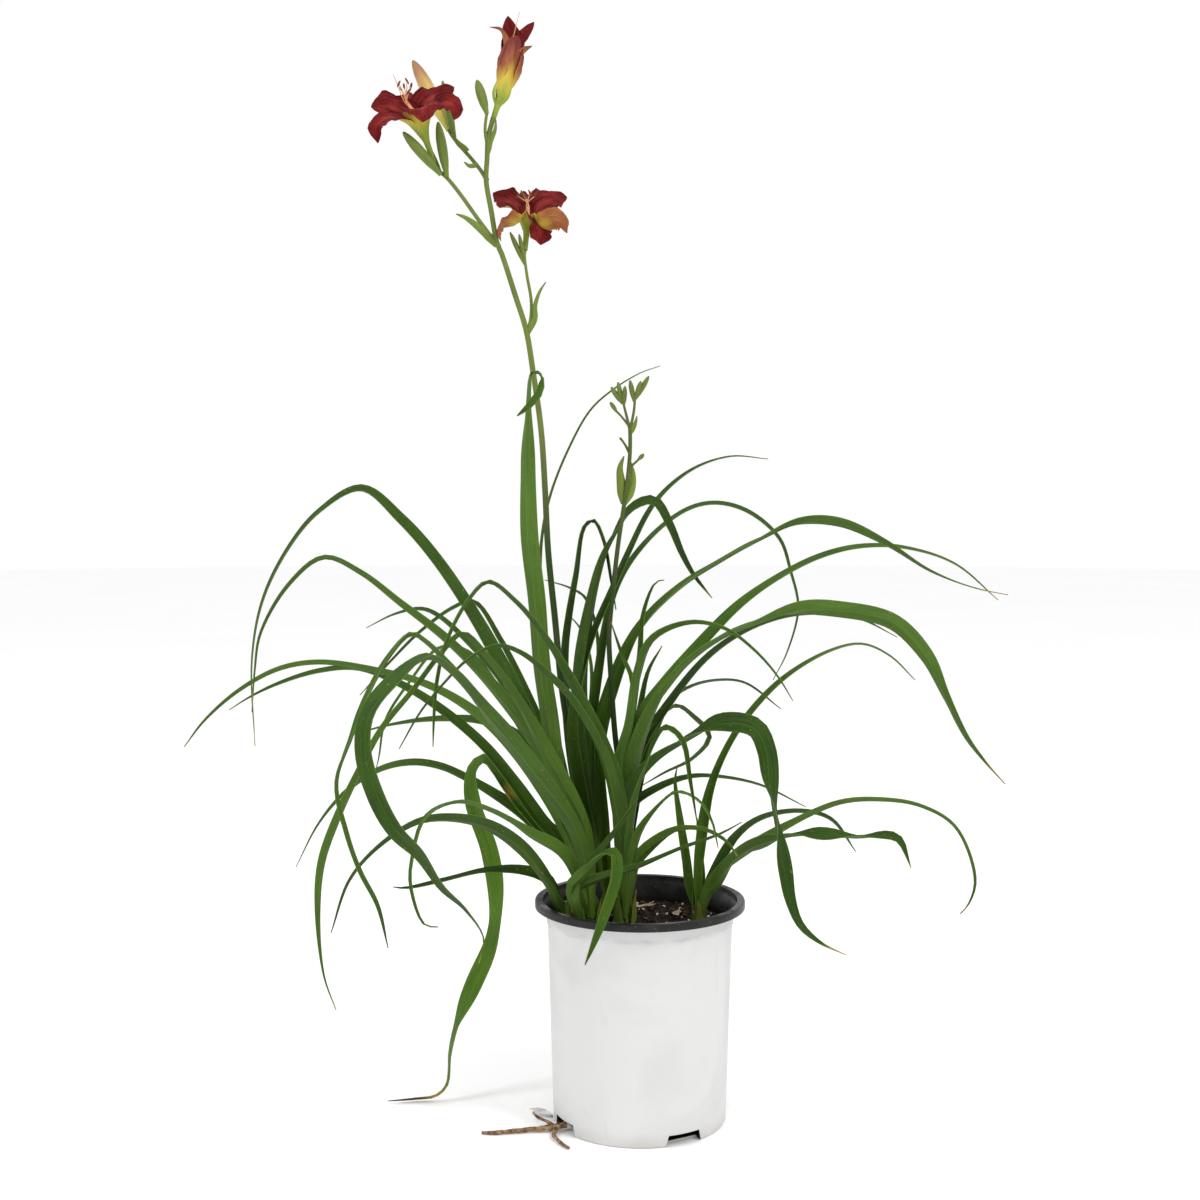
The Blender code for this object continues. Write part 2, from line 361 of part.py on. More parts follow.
# Stamens: where they leave the throat and where they part, on the sketch with
# their depth in mm, the tips of the six filaments, and the tip of the style.
STAMENS = {
    "bloom_left": ((-22.2, 99.9, 36.0), (-23.3, 101.2, 36.0),
                   ((-24.1, 103.2, 31.0), (-23.6, 103.0, 38.0), (-23.3, 103.5, 41.0), (-22.9, 103.0, 36.0),
                    (-23.1, 102.5, 30.0), (-23.9, 102.7, 44.0)), (-24.7, 104.2, 35.0)),
    "bloom_low": ((-11.2, 90.1, 63.0), (-11.25, 91.2, 65.0),
                  ((-12.2, 92.0, 66.0), (-11.8, 92.3, 64.0), (-11.0, 92.3, 66.0), (-10.5, 92.0, 64.0),
                   (-11.2, 91.8, 70.0), (-11.5, 92.0, 60.0)), (-10.8, 92.5, 70.0)),
    "bloom_top": ((-13.75, 102.7, 44.0), (-13.2, 105.0, 44.0),
                  ((-13.0, 107.6, 44.0), (-12.7, 107.9, 46.0), (-12.3, 107.7, 43.0), (-12.5, 107.3, 41.5),
                   (-12.9, 107.2, 47.0), (-12.2, 107.4, 45.5)), (-12.05, 110.4, 45.0)),
}
FILAMENT_RADIUS = 0.55 * MM
ANTHER_RADIUS = 1.1 * MM
ANTHER_REACH = 2.6 * MM
BUNDLE_RADII = [1.2 * MM, 1.4 * MM, 1.3 * MM]

# Roots out of the drain notch at the left front: radii in mm and route in mm.
ROOTS = (
    (2.4, 1.2, ((-57.8, -32.0, 4.6), (-64.0, -34.2, 4.4), (-74.0, -35.0, 3.2),
                (-86.0, -36.5, 2.6), (-99.0, -38.0, 2.2), (-111.0, -40.5, 1.9), (-123.0, -40.0, 1.6))),
    (2.0, 1.1, ((-62.0, -33.0, 4.6), (-66.0, -40.0, 3.8), (-66.5, -50.0, 2.8), (-62.0, -60.0, 2.2),
                (-55.0, -70.0, 1.6))),
    (1.5, 0.9, ((-66.0, -34.0, 4.4), (-73.0, -31.0, 7.0), (-80.0, -28.0, 9.5), (-84.0, -27.0, 13.0))),
)

COLOURS = {
    "pot": (0.86, 0.87, 0.88), "soil": (0.035, 0.024, 0.018), "leaf": (0.055, 0.16, 0.03),
    "stem": (0.13, 0.26, 0.05), "bloom": (0.20, 0.012, 0.022), "stamen": (0.78, 0.32, 0.13),
    "bud": (0.62, 0.45, 0.10), "root": (0.28, 0.17, 0.09),
}


def sight_line(across, up):
    """The way from the eye through a point of the sketch."""
    return (AHEAD * SKETCH_REACH + RIGHT * (across - SIGHT_ACROSS) * SQUARE
            + ABOVE * (up - SIGHT_UP) * SQUARE)


def in_plane(across, up, foot, heading):
    """The point that the sketch shows, in the upright plane through a foot."""
    normal = Vector((-math.sin(heading), math.cos(heading), 0.0))
    line = sight_line(across, up)
    return EYE + line * ((foot - EYE).dot(normal) / line.dot(normal))


def at_depth(across, up, away):
    """The point that the sketch shows, at a depth behind the pot's axis."""
    line = sight_line(across, up)
    return EYE + line * ((away - EYE.y) / line.y)


def smooth_route(points, per_span=10):
    """A centripetal Catmull-Rom curve through points, as a dense list."""
    ends = [points[0] * 2.0 - points[1]] + list(points) + [points[-1] * 2.0 - points[-2]]
    route = []
    for p0, p1, p2, p3 in zip(ends, ends[1:], ends[2:], ends[3:]):
        t1 = math.sqrt((p1 - p0).length)
        t2 = t1 + math.sqrt((p2 - p1).length)
        t3 = t2 + math.sqrt((p3 - p2).length)
        for step in range(per_span):
            t = t1 + (t2 - t1) * step / per_span
            a1 = p0 * ((t1 - t) / t1) + p1 * (t / t1)
            a2 = p1 * ((t2 - t) / (t2 - t1)) + p2 * ((t - t1) / (t2 - t1))
            a3 = p2 * ((t3 - t) / (t3 - t2)) + p3 * ((t - t2) / (t3 - t2))
            b1 = a1 * ((t2 - t) / t2) + a2 * (t / t2)
            b2 = a2 * ((t3 - t) / (t3 - t1)) + a3 * ((t - t1) / (t3 - t1))
            route.append(b1 * ((t2 - t) / (t2 - t1)) + b2 * ((t - t1) / (t2 - t1)))
    return route + [points[-1].copy()]


def shares_along(route):
    """The share of the whole length at each point of a route."""
    lengths = [0.0]
    for a, b in zip(route, route[1:]):
        lengths.append(lengths[-1] + (b - a).length)
    return [length / lengths[-1] for length in lengths], lengths[-1]


def between(values, share):
    """A value among evenly spread stations, eased from one to the next."""
    place = min(max(share, 0.0), 1.0) * (len(values) - 1)
    index = min(int(place), len(values) - 2)
    ease = place - index
    ease = ease * ease * (3.0 - 2.0 * ease)
    return values[index] + (values[index + 1] - values[index]) * ease


def pick(route, shares, share):
    """Point and direction of a route at a share of its length."""
    index = 0
    while index < len(route) - 2 and shares[index + 1] < share:
        index += 1
    span = max(shares[index + 1] - shares[index], 1e-9)
    point = route[index].lerp(route[index + 1], min(max((share - shares[index]) / span, 0.0), 1.0))
    low = max(index - 1, 0)
    high = min(index + 2, len(route) - 1)
    return point, (route[high] - route[low]).normalized()


def even_stations(route, shares, length, turns, reach, bend):
    """Shares of length spaced closer where the route bends or twists."""
    weights = [0.0]
    for i in range(1, len(route)):
        weight = (shares[i] - shares[i - 1]) * length / reach
        if i < len(route) - 1:
            weight += (route[i + 1] - route[i]).angle(route[i] - route[i - 1], 0.0) / bend
        weight += abs(between(turns, shares[i]) - between(turns, shares[i - 1])) / LEAF_TWIST
        weights.append(weights[-1] + weight)
    count = max(3, math.ceil(weights[-1]))
    stations = []
    for k in range(count + 1):
        goal = weights[-1] * k / count
        i = 1
        while i < len(weights) - 1 and weights[i] < goal:
            i += 1
        span = max(weights[i] - weights[i - 1], 1e-9)
        ease = (goal - weights[i - 1]) / span
        stations.append(shares[i - 1] + (shares[i] - shares[i - 1]) * ease)
    return stations


def blade_half(share, width, late):
    """Half the width of a leaf: clasping foot, long even run, taper."""
    foot = 0.42 + 0.58 * min(share / 0.25, 1.0)
    taper = max(1.0 - share ** late, 0.0) ** 0.8
    return max(0.5 * width * foot * taper, TIP_HALF)


def add_blade(mesh, stations, keeled=True):
    """A thin keeled blade from stations of point, side, inner, half, keel."""
    rings = []
    for point, side, inner, half, keel, thick in stations:
        spots = ((-half, keel), (0.0, -keel), (half, keel)) if keeled else ((-half, 0.0), (half, 0.0))
        faces = []
        for lift in (0.5 * thick, -0.5 * thick):
            faces.append([mesh.verts.new(point + side * w + inner * (n + lift)) for w, n in spots])
        rings.append(faces)
    for (top, low), (top_next, low_next) in zip(rings, rings[1:]):
        for left in range(len(top) - 1):
            edge, rib = (left, left + 1) if left == 0 else (left + 1, left)
            for face, ahead in ((top, top_next), (low, low_next)):
                mesh.faces.new((face[edge], face[rib], ahead[rib]))
                mesh.faces.new((face[edge], ahead[rib], ahead[edge]))
        for edge in (0, -1):
            mesh.faces.new((top[edge], top_next[edge], low_next[edge], low[edge]))
    for top, low in (rings[0], rings[-1]):
        for left in range(len(top) - 1):
            mesh.faces.new((top[left], top[left + 1], low[left + 1], low[left]))


def new_object(name, mesh, colour):
    """An object of its own from a bmesh, with its own finish."""
    bmesh.ops.recalc_face_normals(mesh, faces=mesh.faces)
    data = bpy.data.meshes.new(name)
    mesh.to_mesh(data)
    mesh.free()
    piece = bpy.data.objects.new(name, data)
    bpy.context.scene.collection.objects.link(piece)
    material = bpy.data.materials.new(name)
    material.use_nodes = True
    shader = material.node_tree.nodes["Principled BSDF"]
    shader.inputs["Base Color"].default_value = (*COLOURS[colour], 1.0)
    shader.inputs["Roughness"].default_value = 0.9 if colour == "soil" else 0.5
    data.materials.append(material)
    return piece


def split_faces(mesh):
    """Split all faces into triangles, so that no two faces share a diagonal."""
    for quads, others in (("BEAUTY", "BEAUTY"), ("SHORT_EDGE", "EAR_CLIP"), ("FIXED", "BEAUTY"),
                          ("ALTERNATE", "EAR_CLIP"), ("LONG_EDGE", "BEAUTY")):
        trial = mesh.copy()
        bmesh.ops.triangulate(trial, faces=trial.faces, quad_method=quads, ngon_method=others)
        shared = [edge for edge in trial.edges if len(edge.link_faces) != 2]
        if not shared:
            return trial
        pairs = [{vertex.index for vertex in edge.verts} for edge in shared]
        trial.free()
    centred = [face for face in mesh.faces
               if any(pair <= {vertex.index for vertex in face.verts} for pair in pairs)]
    bmesh.ops.poke(mesh, faces=centred)
    bmesh.ops.triangulate(mesh, faces=mesh.faces)
    return mesh


def drop_pockets(mesh):
    """Keep the main body: fill sealed pockets between leaves, drop loose scraps."""
    bodies = []
    left = set(mesh.faces)
    while left:
        body = {left.pop()}
        edge_front = list(body)
        while edge_front:
            face = edge_front.pop()
            for edge in face.edges:
                for other in edge.link_faces:
                    if other in left:
                        left.remove(other)
                        body.add(other)
                        edge_front.append(other)
        bodies.append(body)
    bodies.sort(key=len)
    for body in bodies[:-1]:
        bmesh.ops.delete(mesh, geom=list(body), context="FACES")


def join_by_boolean(piece, parts, operation="UNION", solver="MANIFOLD"):
    """Apply one Boolean of a whole collection to a piece and drop the parts."""
    tools = bpy.data.collections.new(piece.name + "_parts")
    bpy.context.scene.collection.children.link(tools)
    for part in parts:
        bpy.context.scene.collection.objects.unlink(part)
        tools.objects.link(part)
    boolean = piece.modifiers.new("join", "BOOLEAN")
    boolean.operation = operation
    boolean.operand_type = "COLLECTION"
    boolean.collection = tools
    boolean.solver = solver
    graph = bpy.context.evaluated_depsgraph_get()
    result = bpy.data.meshes.new_from_object(piece.evaluated_get(graph))
    piece.modifiers.remove(boolean)
    piece.data = result
    for part in parts:
        bpy.data.objects.remove(part)
    bpy.data.collections.remove(tools)
    joined = bmesh.new()
    joined.from_mesh(result)
    tidy = split_faces(joined)
    drop_pockets(tidy)
    tidy.to_mesh(result)
    tidy.free()
    return piece


def stump(name, colour, low, high, grow=0.0, sides=10, dome=True):
    """The oval foot of a fan or stem; grown a little, it is its hole's cutter."""
    x, y, half_x, half_y = (value * MM for value in FEET[name])
    mesh = bmesh.new()
    levels = [(low, 1.0), (high, 1.0)]
    if dome:
        levels = [(low, 0.86), (low + 3.0 * MM, 1.0), (SOIL_LEVEL + 4.0 * MM, 1.0),
                  (high - 3.0 * MM, 0.82), (high, 0.5)]
    rings = []
    for z, share in levels:
        ring = []
        for k in range(sides):
            turn = 2.0 * math.pi * (k + 0.5) / sides
            ring.append(mesh.verts.new((x + (half_x * share + grow) * math.cos(turn),
                                        y + (half_y * share + grow) * math.sin(turn), z)))
        rings.append(ring)
    for a, b in zip(rings, rings[1:]):
        for k in range(sides):
            mesh.faces.new((a[k], a[(k + 1) % sides], b[(k + 1) % sides], b[k]))
    mesh.faces.new(list(reversed(rings[0])))
    mesh.faces.new(rings[-1])
    return new_object(name, mesh, colour)


def leaf_stations(fan, heading, width, turns, sketch, card):
    """The sections of one leaf, from inside its fan's foot out to its tip."""
    x, y, half_x, half_y = (value * MM for value in FEET[fan])
    foot = Vector((x, y + card, SOIL_LEVEL + LEAF_START))
    angle = math.radians(heading)
    points = [foot]
    for across, up, *away in sketch:
        points.append(at_depth(across, up, away[0] * MM) if away else in_plane(across, up, foot, angle))
    route = smooth_route(points)
    shares, length = shares_along(route)
    leftward = math.cos(angle) < 0.0
    stations = []
    for share in even_stations(route, shares, length, turns, LEAF_SPAN, LEAF_BEND):
        point, along = pick(route, shares, share)
        sight = (point - EYE).normalized()
        flat = along.cross(sight).normalized()
        if not leftward:
            flat = -flat
        deep = (sight - along * sight.dot(along)).normalized()
        flat_face = 0.0 if turns[0] < 90.0 else 180.0
        settle = min(share / FLAT_SHARE, 1.0)
        settle = settle * settle * (3.0 - 2.0 * settle)
        face = math.radians(flat_face + (between(turns, share) - flat_face) * settle)
        side = flat * math.cos(face) + deep * math.sin(face)
        inner = side.cross(along) if leftward else along.cross(side)
        half = blade_half(share, width * MM, TAPERS.get((fan, heading), TAPER))
        stations.append((point, side, inner, half, half * KEEL * min(share / 0.3, 1.0), BLADE))
    return stations


def make_fan(name):
    """A fan of leaves, stacked like cards in its foot and fused into it."""
    leaves = [leaf for leaf in LEAVES if leaf[0] == name]
    leaves.sort(key=lambda leaf: math.sin(math.radians(leaf[1])))
    core = stump(name, "leaf", SOIL_LEVEL - FOOT_DEPTH, SOIL_LEVEL + FOOT_RISE)
    blades = []
    for rank, (fan, heading, width, turns, sketch) in enumerate(leaves):
        card = (rank - 0.5 * (len(leaves) - 1)) * CARD_PITCH
        card = max(min(card, (FEET[name][3] - 2.0) * MM), -(FEET[name][3] - 2.0) * MM)
        mesh = bmesh.new()
        add_blade(mesh, leaf_stations(fan, heading, width, turns, sketch, card), width >= KEELED_WIDTH)
        blades.append(new_object(name + "_leaf", mesh, "leaf"))
    return join_by_boolean(core, blades)


def add_tube(mesh, route, radii, sides=6, wobble=0.0, draw=None):
    """A round stem along a route, with filled ends."""
    reference = UP if abs((route[1] - route[0]).normalized().z) < 0.9 else RIGHT
    rings = []
    for i, point in enumerate(route):
        along = (route[min(i + 1, len(route) - 1)] - route[max(i - 1, 0)]).normalized()
        side = (reference - along * reference.dot(along)).normalized()
        reference = side
        other = along.cross(side)
        radius = radii[i] * (1.0 + (draw.uniform(-wobble, wobble) if draw else 0.0))
        rings.append([mesh.verts.new(point + side * radius * math.cos(2.0 * math.pi * k / sides)
                                     + other * radius * math.sin(2.0 * math.pi * k / sides))
                      for k in range(sides)])
    for a, b in zip(rings, rings[1:]):
        for k in range(sides):
            mesh.faces.new((a[k], a[(k + 1) % sides], b[(k + 1) % sides], b[k]))
    mesh.faces.new(list(reversed(rings[0])))
    mesh.faces.new(rings[-1])


def seat_of(name):
    """Foot and direction of a bloom or the large bud, where its stem bears it."""
    if name in BLOOMS:
        return bloom_frame(name)[:2]
    near, far, low, high = LARGE_BUD[1:]
    foot = at_depth(*low, near * MM)
    return foot, (at_depth(*high, far * MM) - foot).normalized()


def stem_object(name, points, radius_foot, radius_end, bears, sides=5, colour="stem"):
    """A tapering stem through points, up to just under what it bears at its end."""
    if bears:
        foot, axis = seat_of(bears)
        points = points + [foot - axis * SEAT_RUN]
    route = smooth_route(points, 6)
    shares, length = shares_along(route)
    stops = even_stations(route, shares, length, (0.0, 0.0), STEM_SPAN, STEM_BEND)
    centres = [pick(route, shares, share)[0] for share in stops]
    radii = [(radius_foot + (radius_end - radius_foot) * share) * MM for share in stops]
    if bears:
        centres.append(foot - axis * GAP)
        radii.append(radius_end * MM)
    mesh = bmesh.new()
    add_tube(mesh, centres, radii, sides)
    return new_object(name, mesh, colour)


def sketch_points(sketch, near, far):
    """Sketch points with a depth that runs evenly from near to far, in mm."""
    last = len(sketch) - 1
    return [at_depth(across, up, (near + (far - near) * i / last) * MM)
            for i, (across, up) in enumerate(sketch)]


def bud_object(name, thickness, foot, tip, colour="stem", sides=5):
    """A closed bud: a slim spindle, fullest above its middle."""
    outline = ((0.0, 0.42), (0.3, 0.88), (0.64, 0.98), (0.88, 0.66), (1.0, 0.22))
    centres = [foot.lerp(tip, share) for share, full in outline]
    radii = [0.5 * thickness * MM * full for share, full in outline]
    mesh = bmesh.new()
    add_tube(mesh, centres, radii, sides)
    return new_object(name, mesh, colour)


def bract_object(name, width, points):
    """A small pointed scale leaf on a stem."""
    route = smooth_route(points, 6)
    shares, length = shares_along(route)
    mesh = bmesh.new()
    stations = []
    for share in even_stations(route, shares, length, (0.0, 0.0), 24.0 * MM, math.radians(38.0)):
        point, along = pick(route, shares, share)
        sight = (point - EYE).normalized()
        side = along.cross(sight).normalized()
        half = max(0.5 * width * MM * max(1.0 - share ** 1.6, 0.0) ** 0.7 * min(0.55 + share * 2.0, 1.0), TIP_HALF)
        stations.append((point, side, side.cross(along), half, half * 0.3, BLADE))
    add_blade(mesh, stations)
    return new_object(name, mesh, "stem")


def make_scape(name, stem, twigs, bracts, buds):
    """A flower stem with its twigs, bracts and green buds, all one growth."""
    radius_foot, radius_end, near, far, sketch, bears = stem
    x, y = FEET[name][0] * MM, FEET[name][1] * MM
    foot = [Vector((x, y, SOIL_LEVEL - FOOT_DEPTH)), Vector((x, y, SOIL_LEVEL + STEM_RISE))]
    main = stem_object(name, foot + sketch_points(sketch, near, far), radius_foot, radius_end, bears, 6)
    parts = []
    for foot_radius, end_radius, near, far, sketch, bears in twigs:
        parts.append(stem_object(name + "_twig", sketch_points(sketch, near, far),
                                 foot_radius, end_radius, bears))
    for width, near, far, sketch in bracts:
        parts.append(bract_object(name + "_bract", width, sketch_points(sketch, near, far)))
    for thickness, near, far, low, high in buds:
        parts.append(bud_object(name + "_bud", thickness, at_depth(*low, near * MM),
                                at_depth(*high, far * MM)))
    return join_by_boolean(main, parts)


def bloom_frame(name):
    """Foot, axis and tube length of a bloom, from its sketch."""
    low, high = BLOOMS[name][:2]
    foot = at_depth(low[0], low[1], low[2] * MM)
    run = at_depth(high[0], high[1], high[2] * MM) - foot
    return foot, run.normalized(), run.length


def ease(value):
    """An eased share from 0 to 1."""
    value = min(max(value, 0.0), 1.0)
    return value * value * (3.0 - 2.0 * value)


def along_stops(stops, share):
    """A value on a line through stops of share and value."""
    for (low, first), (high, second) in zip(stops, stops[1:]):
        if share <= high:
            return first + (second - first) * (share - low) / (high - low)
    return stops[-1][1]


def tepal_half(kind, width, share):
    """Half the width of a petal or sepal: slim root, full middle, rounded tip."""
    widest, root = FULLNESS[kind]
    if share < widest:
        full = root + (1.0 - root) * ease(share / widest)
    else:
        full = max(1.0 - ((share - widest) / (1.0 - widest)) ** 2.2, 0.0) ** 0.8
    return max(0.5 * width * MM * full, 0.5 * MM)


def tepal_object(name, row, wave, hug, number):
    """One petal or sepal from inside the tube to its tip."""
    kind, width, turn_middle, turn_tip, sketch = row
    foot, axis, tube = bloom_frame(name)
    points = [at_depth(across, up, away * MM) for across, up, away in sketch]
    offset = points[0] - foot
    out = (offset - axis * offset.dot(axis)).normalized()
    points = [foot + axis * tube * TEPAL_ROOT + out * TEPAL_INSET,
              foot + axis * tube * TEPAL_PART + out * THROAT_RADIUS] + points
    route = smooth_route(points)
    shares = shares_along(route)[0]
    ring = axis.cross(out)
    mesh = bmesh.new()
    rings = []
    for share in TEPAL_ROWS:
        point, along = pick(route, shares, share)
        side = (ring - along * ring.dot(along)).normalized()
        inner = along.cross(side)
        turn = math.radians(along_stops(((0.0, 0.0), (0.2, 0.0), (0.6, turn_middle), (1.0, turn_tip)), share))
        side, inner = (side * math.cos(turn) + inner * math.sin(turn),
                       inner * math.cos(turn) - side * math.sin(turn))
        half = tepal_half(kind, width, share)
        full = half / (0.5 * width * MM)
        cup = along_stops(((0.0, 0.9), (0.35, 0.34 + hug), (0.7, hug), (1.0, 0.2)), share) * half
        edges = []
        for reach in (-1.0, 0.0, 1.0):
            phase = number * 1.9 + (1.3 if reach > 0.0 else 0.0)
            ruffle = wave * MM * full * ease((share - 0.3) * 2.5) * abs(reach)
            ruffle *= math.sin(share * (17.0 if kind == "petal" else 9.0) + phase)
            centre = point + side * half * reach + inner * (cup * abs(reach) + ruffle)
            edges.append([mesh.verts.new(centre + inner * lift * TEPAL_THICKNESS) for lift in (0.5, -0.5)])
        rings.append(edges)
    for low, high in zip(rings, rings[1:]):
        for left in (0, 1):
            edge, rib = (0, 1) if left == 0 else (2, 1)
            for face in (0, 1):
                mesh.faces.new((low[edge][face], low[rib][face], high[rib][face]))
                mesh.faces.new((low[edge][face], high[rib][face], high[edge][face]))
        for edge in (0, 2):
            mesh.faces.new((low[edge][0], high[edge][0], high[edge][1], low[edge][1]))
    for edges in (rings[0], rings[-1]):
        for left in (0, 1):
            mesh.faces.new((edges[left][0], edges[left + 1][0], edges[left + 1][1], edges[left][1]))
    return new_object(name + "_tepal", mesh, "bloom")


def make_bloom(name):
    """Three broad petals and three narrow sepals on one tube."""
    foot, axis, tube = bloom_frame(name)
    wave, hug, rows = BLOOMS[name][2:]
    mesh = bmesh.new()
    add_tube(mesh, [foot, foot + axis * tube * TUBE_END * 0.5, foot + axis * tube * TUBE_END],
             [TUBE_RADIUS, TUBE_RADIUS * 1.08, TUBE_RADIUS * TUBE_FLARE], 8)
    core = new_object(name, mesh, "bloom")
    parts = [tepal_object(name, row, wave, hug, number) for number, row in enumerate(rows)]
    return join_by_boolean(core, parts)


def make_stamens(name, bloom):
    """Six filaments with their anthers and the longer style, on one thin column."""
    foot, axis, tube = bloom_frame(bloom)
    throat, middle, tips, style = STAMENS[bloom]
    start = foot + axis * (tube * TUBE_END + GAP)
    throat = at_depth(throat[0], throat[1], throat[2] * MM)
    middle = at_depth(middle[0], middle[1], middle[2] * MM)
    mesh = bmesh.new()
    add_tube(mesh, [start, start.lerp(throat, 0.6), throat], BUNDLE_RADII, 6)
    core = new_object(name, mesh, "stamen")
    parts = []
    for number, spot in enumerate(tips + (style,)):
        tip = at_depth(spot[0], spot[1], spot[2] * MM)
        points = [throat.lerp(start, 0.2), middle.lerp(tip, 0.12), middle.lerp(tip, 0.6), tip]
        filament = bmesh.new()
        add_tube(filament, smooth_route(points, 1), [FILAMENT_RADIUS] * len(points), 3)
        parts.append(new_object(name + "_filament", filament, "stamen"))
        if number < len(tips):
            along = (points[-1] - points[-2]).normalized()
            lean = Vector((math.cos(number * 1.7), math.sin(number * 1.7), 0.9)).normalized()
            run = (lean + along * 0.5).normalized() * ANTHER_REACH
            anther = bmesh.new()
            add_tube(anther, [tip - run, tip + along * 0.1 * MM, tip + run],
                     [0.5 * MM, ANTHER_RADIUS, 0.5 * MM], 3)
            parts.append(new_object(name + "_anther", anther, "stamen"))
    return join_by_boolean(core, parts)


def turned(name, outline, sides, colour):
    """A closed body turned about the Z axis from an outline of radius, height."""
    mesh = bmesh.new()
    rings = []
    for radius, z in outline:
        if radius == 0.0:
            rings.append([mesh.verts.new((0.0, 0.0, z))])
            continue
        rings.append([mesh.verts.new((radius * math.cos(2.0 * math.pi * k / sides),
                                      radius * math.sin(2.0 * math.pi * k / sides), z))
                      for k in range(sides)])
    for a, b in zip(rings, rings[1:]):
        for k in range(sides):
            n = (k + 1) % sides
            if len(a) == 1:
                mesh.faces.new((a[0], b[n], b[k]))
            elif len(b) == 1:
                mesh.faces.new((a[k], a[n], b[0]))
            else:
                mesh.faces.new((a[k], a[n], b[n], b[k]))
    return new_object(name, mesh, colour)


def wall_radius(z):
    """Outer radius of the pot's tapering wall at a height."""
    return BASE_RADIUS + (WALL_TOP_RADIUS - BASE_RADIUS) * z / (POT_HEIGHT - LIP_HEIGHT)


def make_pot():
    """The pot: floor, tapering wall with a shoulder ring and a flared top, and a rolled rim."""
    lip = POT_HEIGHT - LIP_HEIGHT
    ring = lip - 12.0 * MM
    outline = [
        (0.0, 0.0), (BASE_RADIUS - 1.8 * MM, 0.0), (BASE_RADIUS, 1.8 * MM),
        (wall_radius(ring - 2.0 * MM), ring - 2.0 * MM), (wall_radius(ring) + 0.7 * MM, ring),
        (FLARE_RADIUS, lip + 0.2 * MM), (FLARE_RADIUS + 2.8 * MM, lip + 2.4 * MM),
        (RIM_RADIUS - 2.0 * MM, lip + 2.6 * MM), (RIM_RADIUS - 1.2 * MM, lip),
        (RIM_RADIUS, lip), (RIM_RADIUS, POT_HEIGHT - 1.4 * MM), (RIM_RADIUS - 1.4 * MM, POT_HEIGHT),
        (OPENING_RADIUS + 1.0 * MM, POT_HEIGHT), (OPENING_RADIUS, POT_HEIGHT - 1.0 * MM),
        (OPENING_RADIUS - 0.3 * MM, lip + 2.0 * MM), (FLARE_RADIUS - WALL, lip - 0.6 * MM),
        (wall_radius(ring) - WALL, ring),
        (BASE_RADIUS - WALL, FLOOR + 1.6 * MM), (BASE_RADIUS - WALL - 1.6 * MM, FLOOR), (0.0, FLOOR),
    ]
    pot = turned("pot", outline, POT_SIDES, "pot")
    cutters = []
    for k in range(NOTCH_COUNT):
        turn = NOTCH_TURN + 2.0 * math.pi * k / NOTCH_COUNT
        mesh = bmesh.new()
        bmesh.ops.create_cube(mesh, size=1.0)
        for vertex in mesh.verts:
            high = vertex.co.z > 0.0
            near = vertex.co.x < 0.0
            half = 0.5 * NOTCH_WIDTH - (NOTCH_BEVEL if high else 0.0)
            vertex.co = Vector((BASE_RADIUS - NOTCH_INWARD if near else BASE_RADIUS + NOTCH_OUTWARD,
                                math.copysign(half, vertex.co.y),
                                NOTCH_HEIGHT if high else -NOTCH_BELOW))
        bmesh.ops.rotate(mesh, verts=mesh.verts, cent=(0.0, 0.0, 0.0),
                         matrix=Matrix.Rotation(turn, 3, "Z"))
        cutters.append(new_object("pot_notch", mesh, "pot"))
    return join_by_boolean(pot, cutters, "DIFFERENCE")


def soil_height(x, y):
    """Height of the soil: a low mound under the fans, with crumbly relief."""
    ripple = math.sin(x * 190.0 + 1.0) * math.cos(y * 230.0) + 0.6 * math.sin(x * 410.0 - y * 330.0)
    mound = 2.5 * MM * math.exp(-((x + 20.0 * MM) ** 2 + y ** 2) / (45.0 * MM) ** 2)
    return SOIL_LEVEL + mound - 1.5 * MM + SOIL_RELIEF * 0.5 * ripple


def make_soil():
    """The root ball and soil: fills the pot, uneven on top, with stem holes."""
    low = FLOOR + GAP
    edge_low = BASE_RADIUS - WALL - 1.6 * MM - GAP * 0.7
    outline = [(0.0, low), (edge_low, low), (BASE_RADIUS - WALL - GAP, FLOOR + 1.8 * MM)]
    rings = (1.0, 0.78, 0.52, 0.26)
    top = SOIL_LEVEL - 2.0 * MM
    top_radius = wall_radius(top) - WALL - 2.2 * GAP
    outline += [(top_radius * share, top) for share in rings] + [(0.0, top)]
    soil = turned("soil", outline, SOIL_SIDES, "soil")
    for vertex in soil.data.vertices:
        if abs(vertex.co.z - top) < 0.1 * MM:
            vertex.co.z = soil_height(vertex.co.x, vertex.co.y)
    cutters = [stump(name, "soil", SOIL_LEVEL - FOOT_DEPTH - GAP, SOIL_LEVEL + CUTTER_REACH, GAP,
                     8 if name.startswith("scape") else 10, False)
               for name in FEET]
    for cutter in cutters:
        cutter.name = "soil_hole"
    return join_by_boolean(soil, cutters, "DIFFERENCE")


def make_roots():
    """Fleshy roots that have grown out of a drain notch and lie on the surface."""
    draw = random.Random(11)
    pieces = []
    for number, (radius_foot, radius_end, points) in enumerate(ROOTS):
        route = smooth_route([Vector(point) * MM for point in points], 2)
        radii = []
        for i in range(len(route)):
            share = i / (len(route) - 1)
            radii.append((radius_foot + (radius_end - radius_foot) * share) * MM)
        mesh = bmesh.new()
        add_tube(mesh, route, radii, 6, 0.16, draw)
        for vertex in mesh.verts:
            vertex.co.z = max(vertex.co.z, 0.3 * MM)
        pieces.append(new_object("roots" if number == 0 else "roots_branch", mesh, "root"))
    return join_by_boolean(pieces[0], pieces[1:])


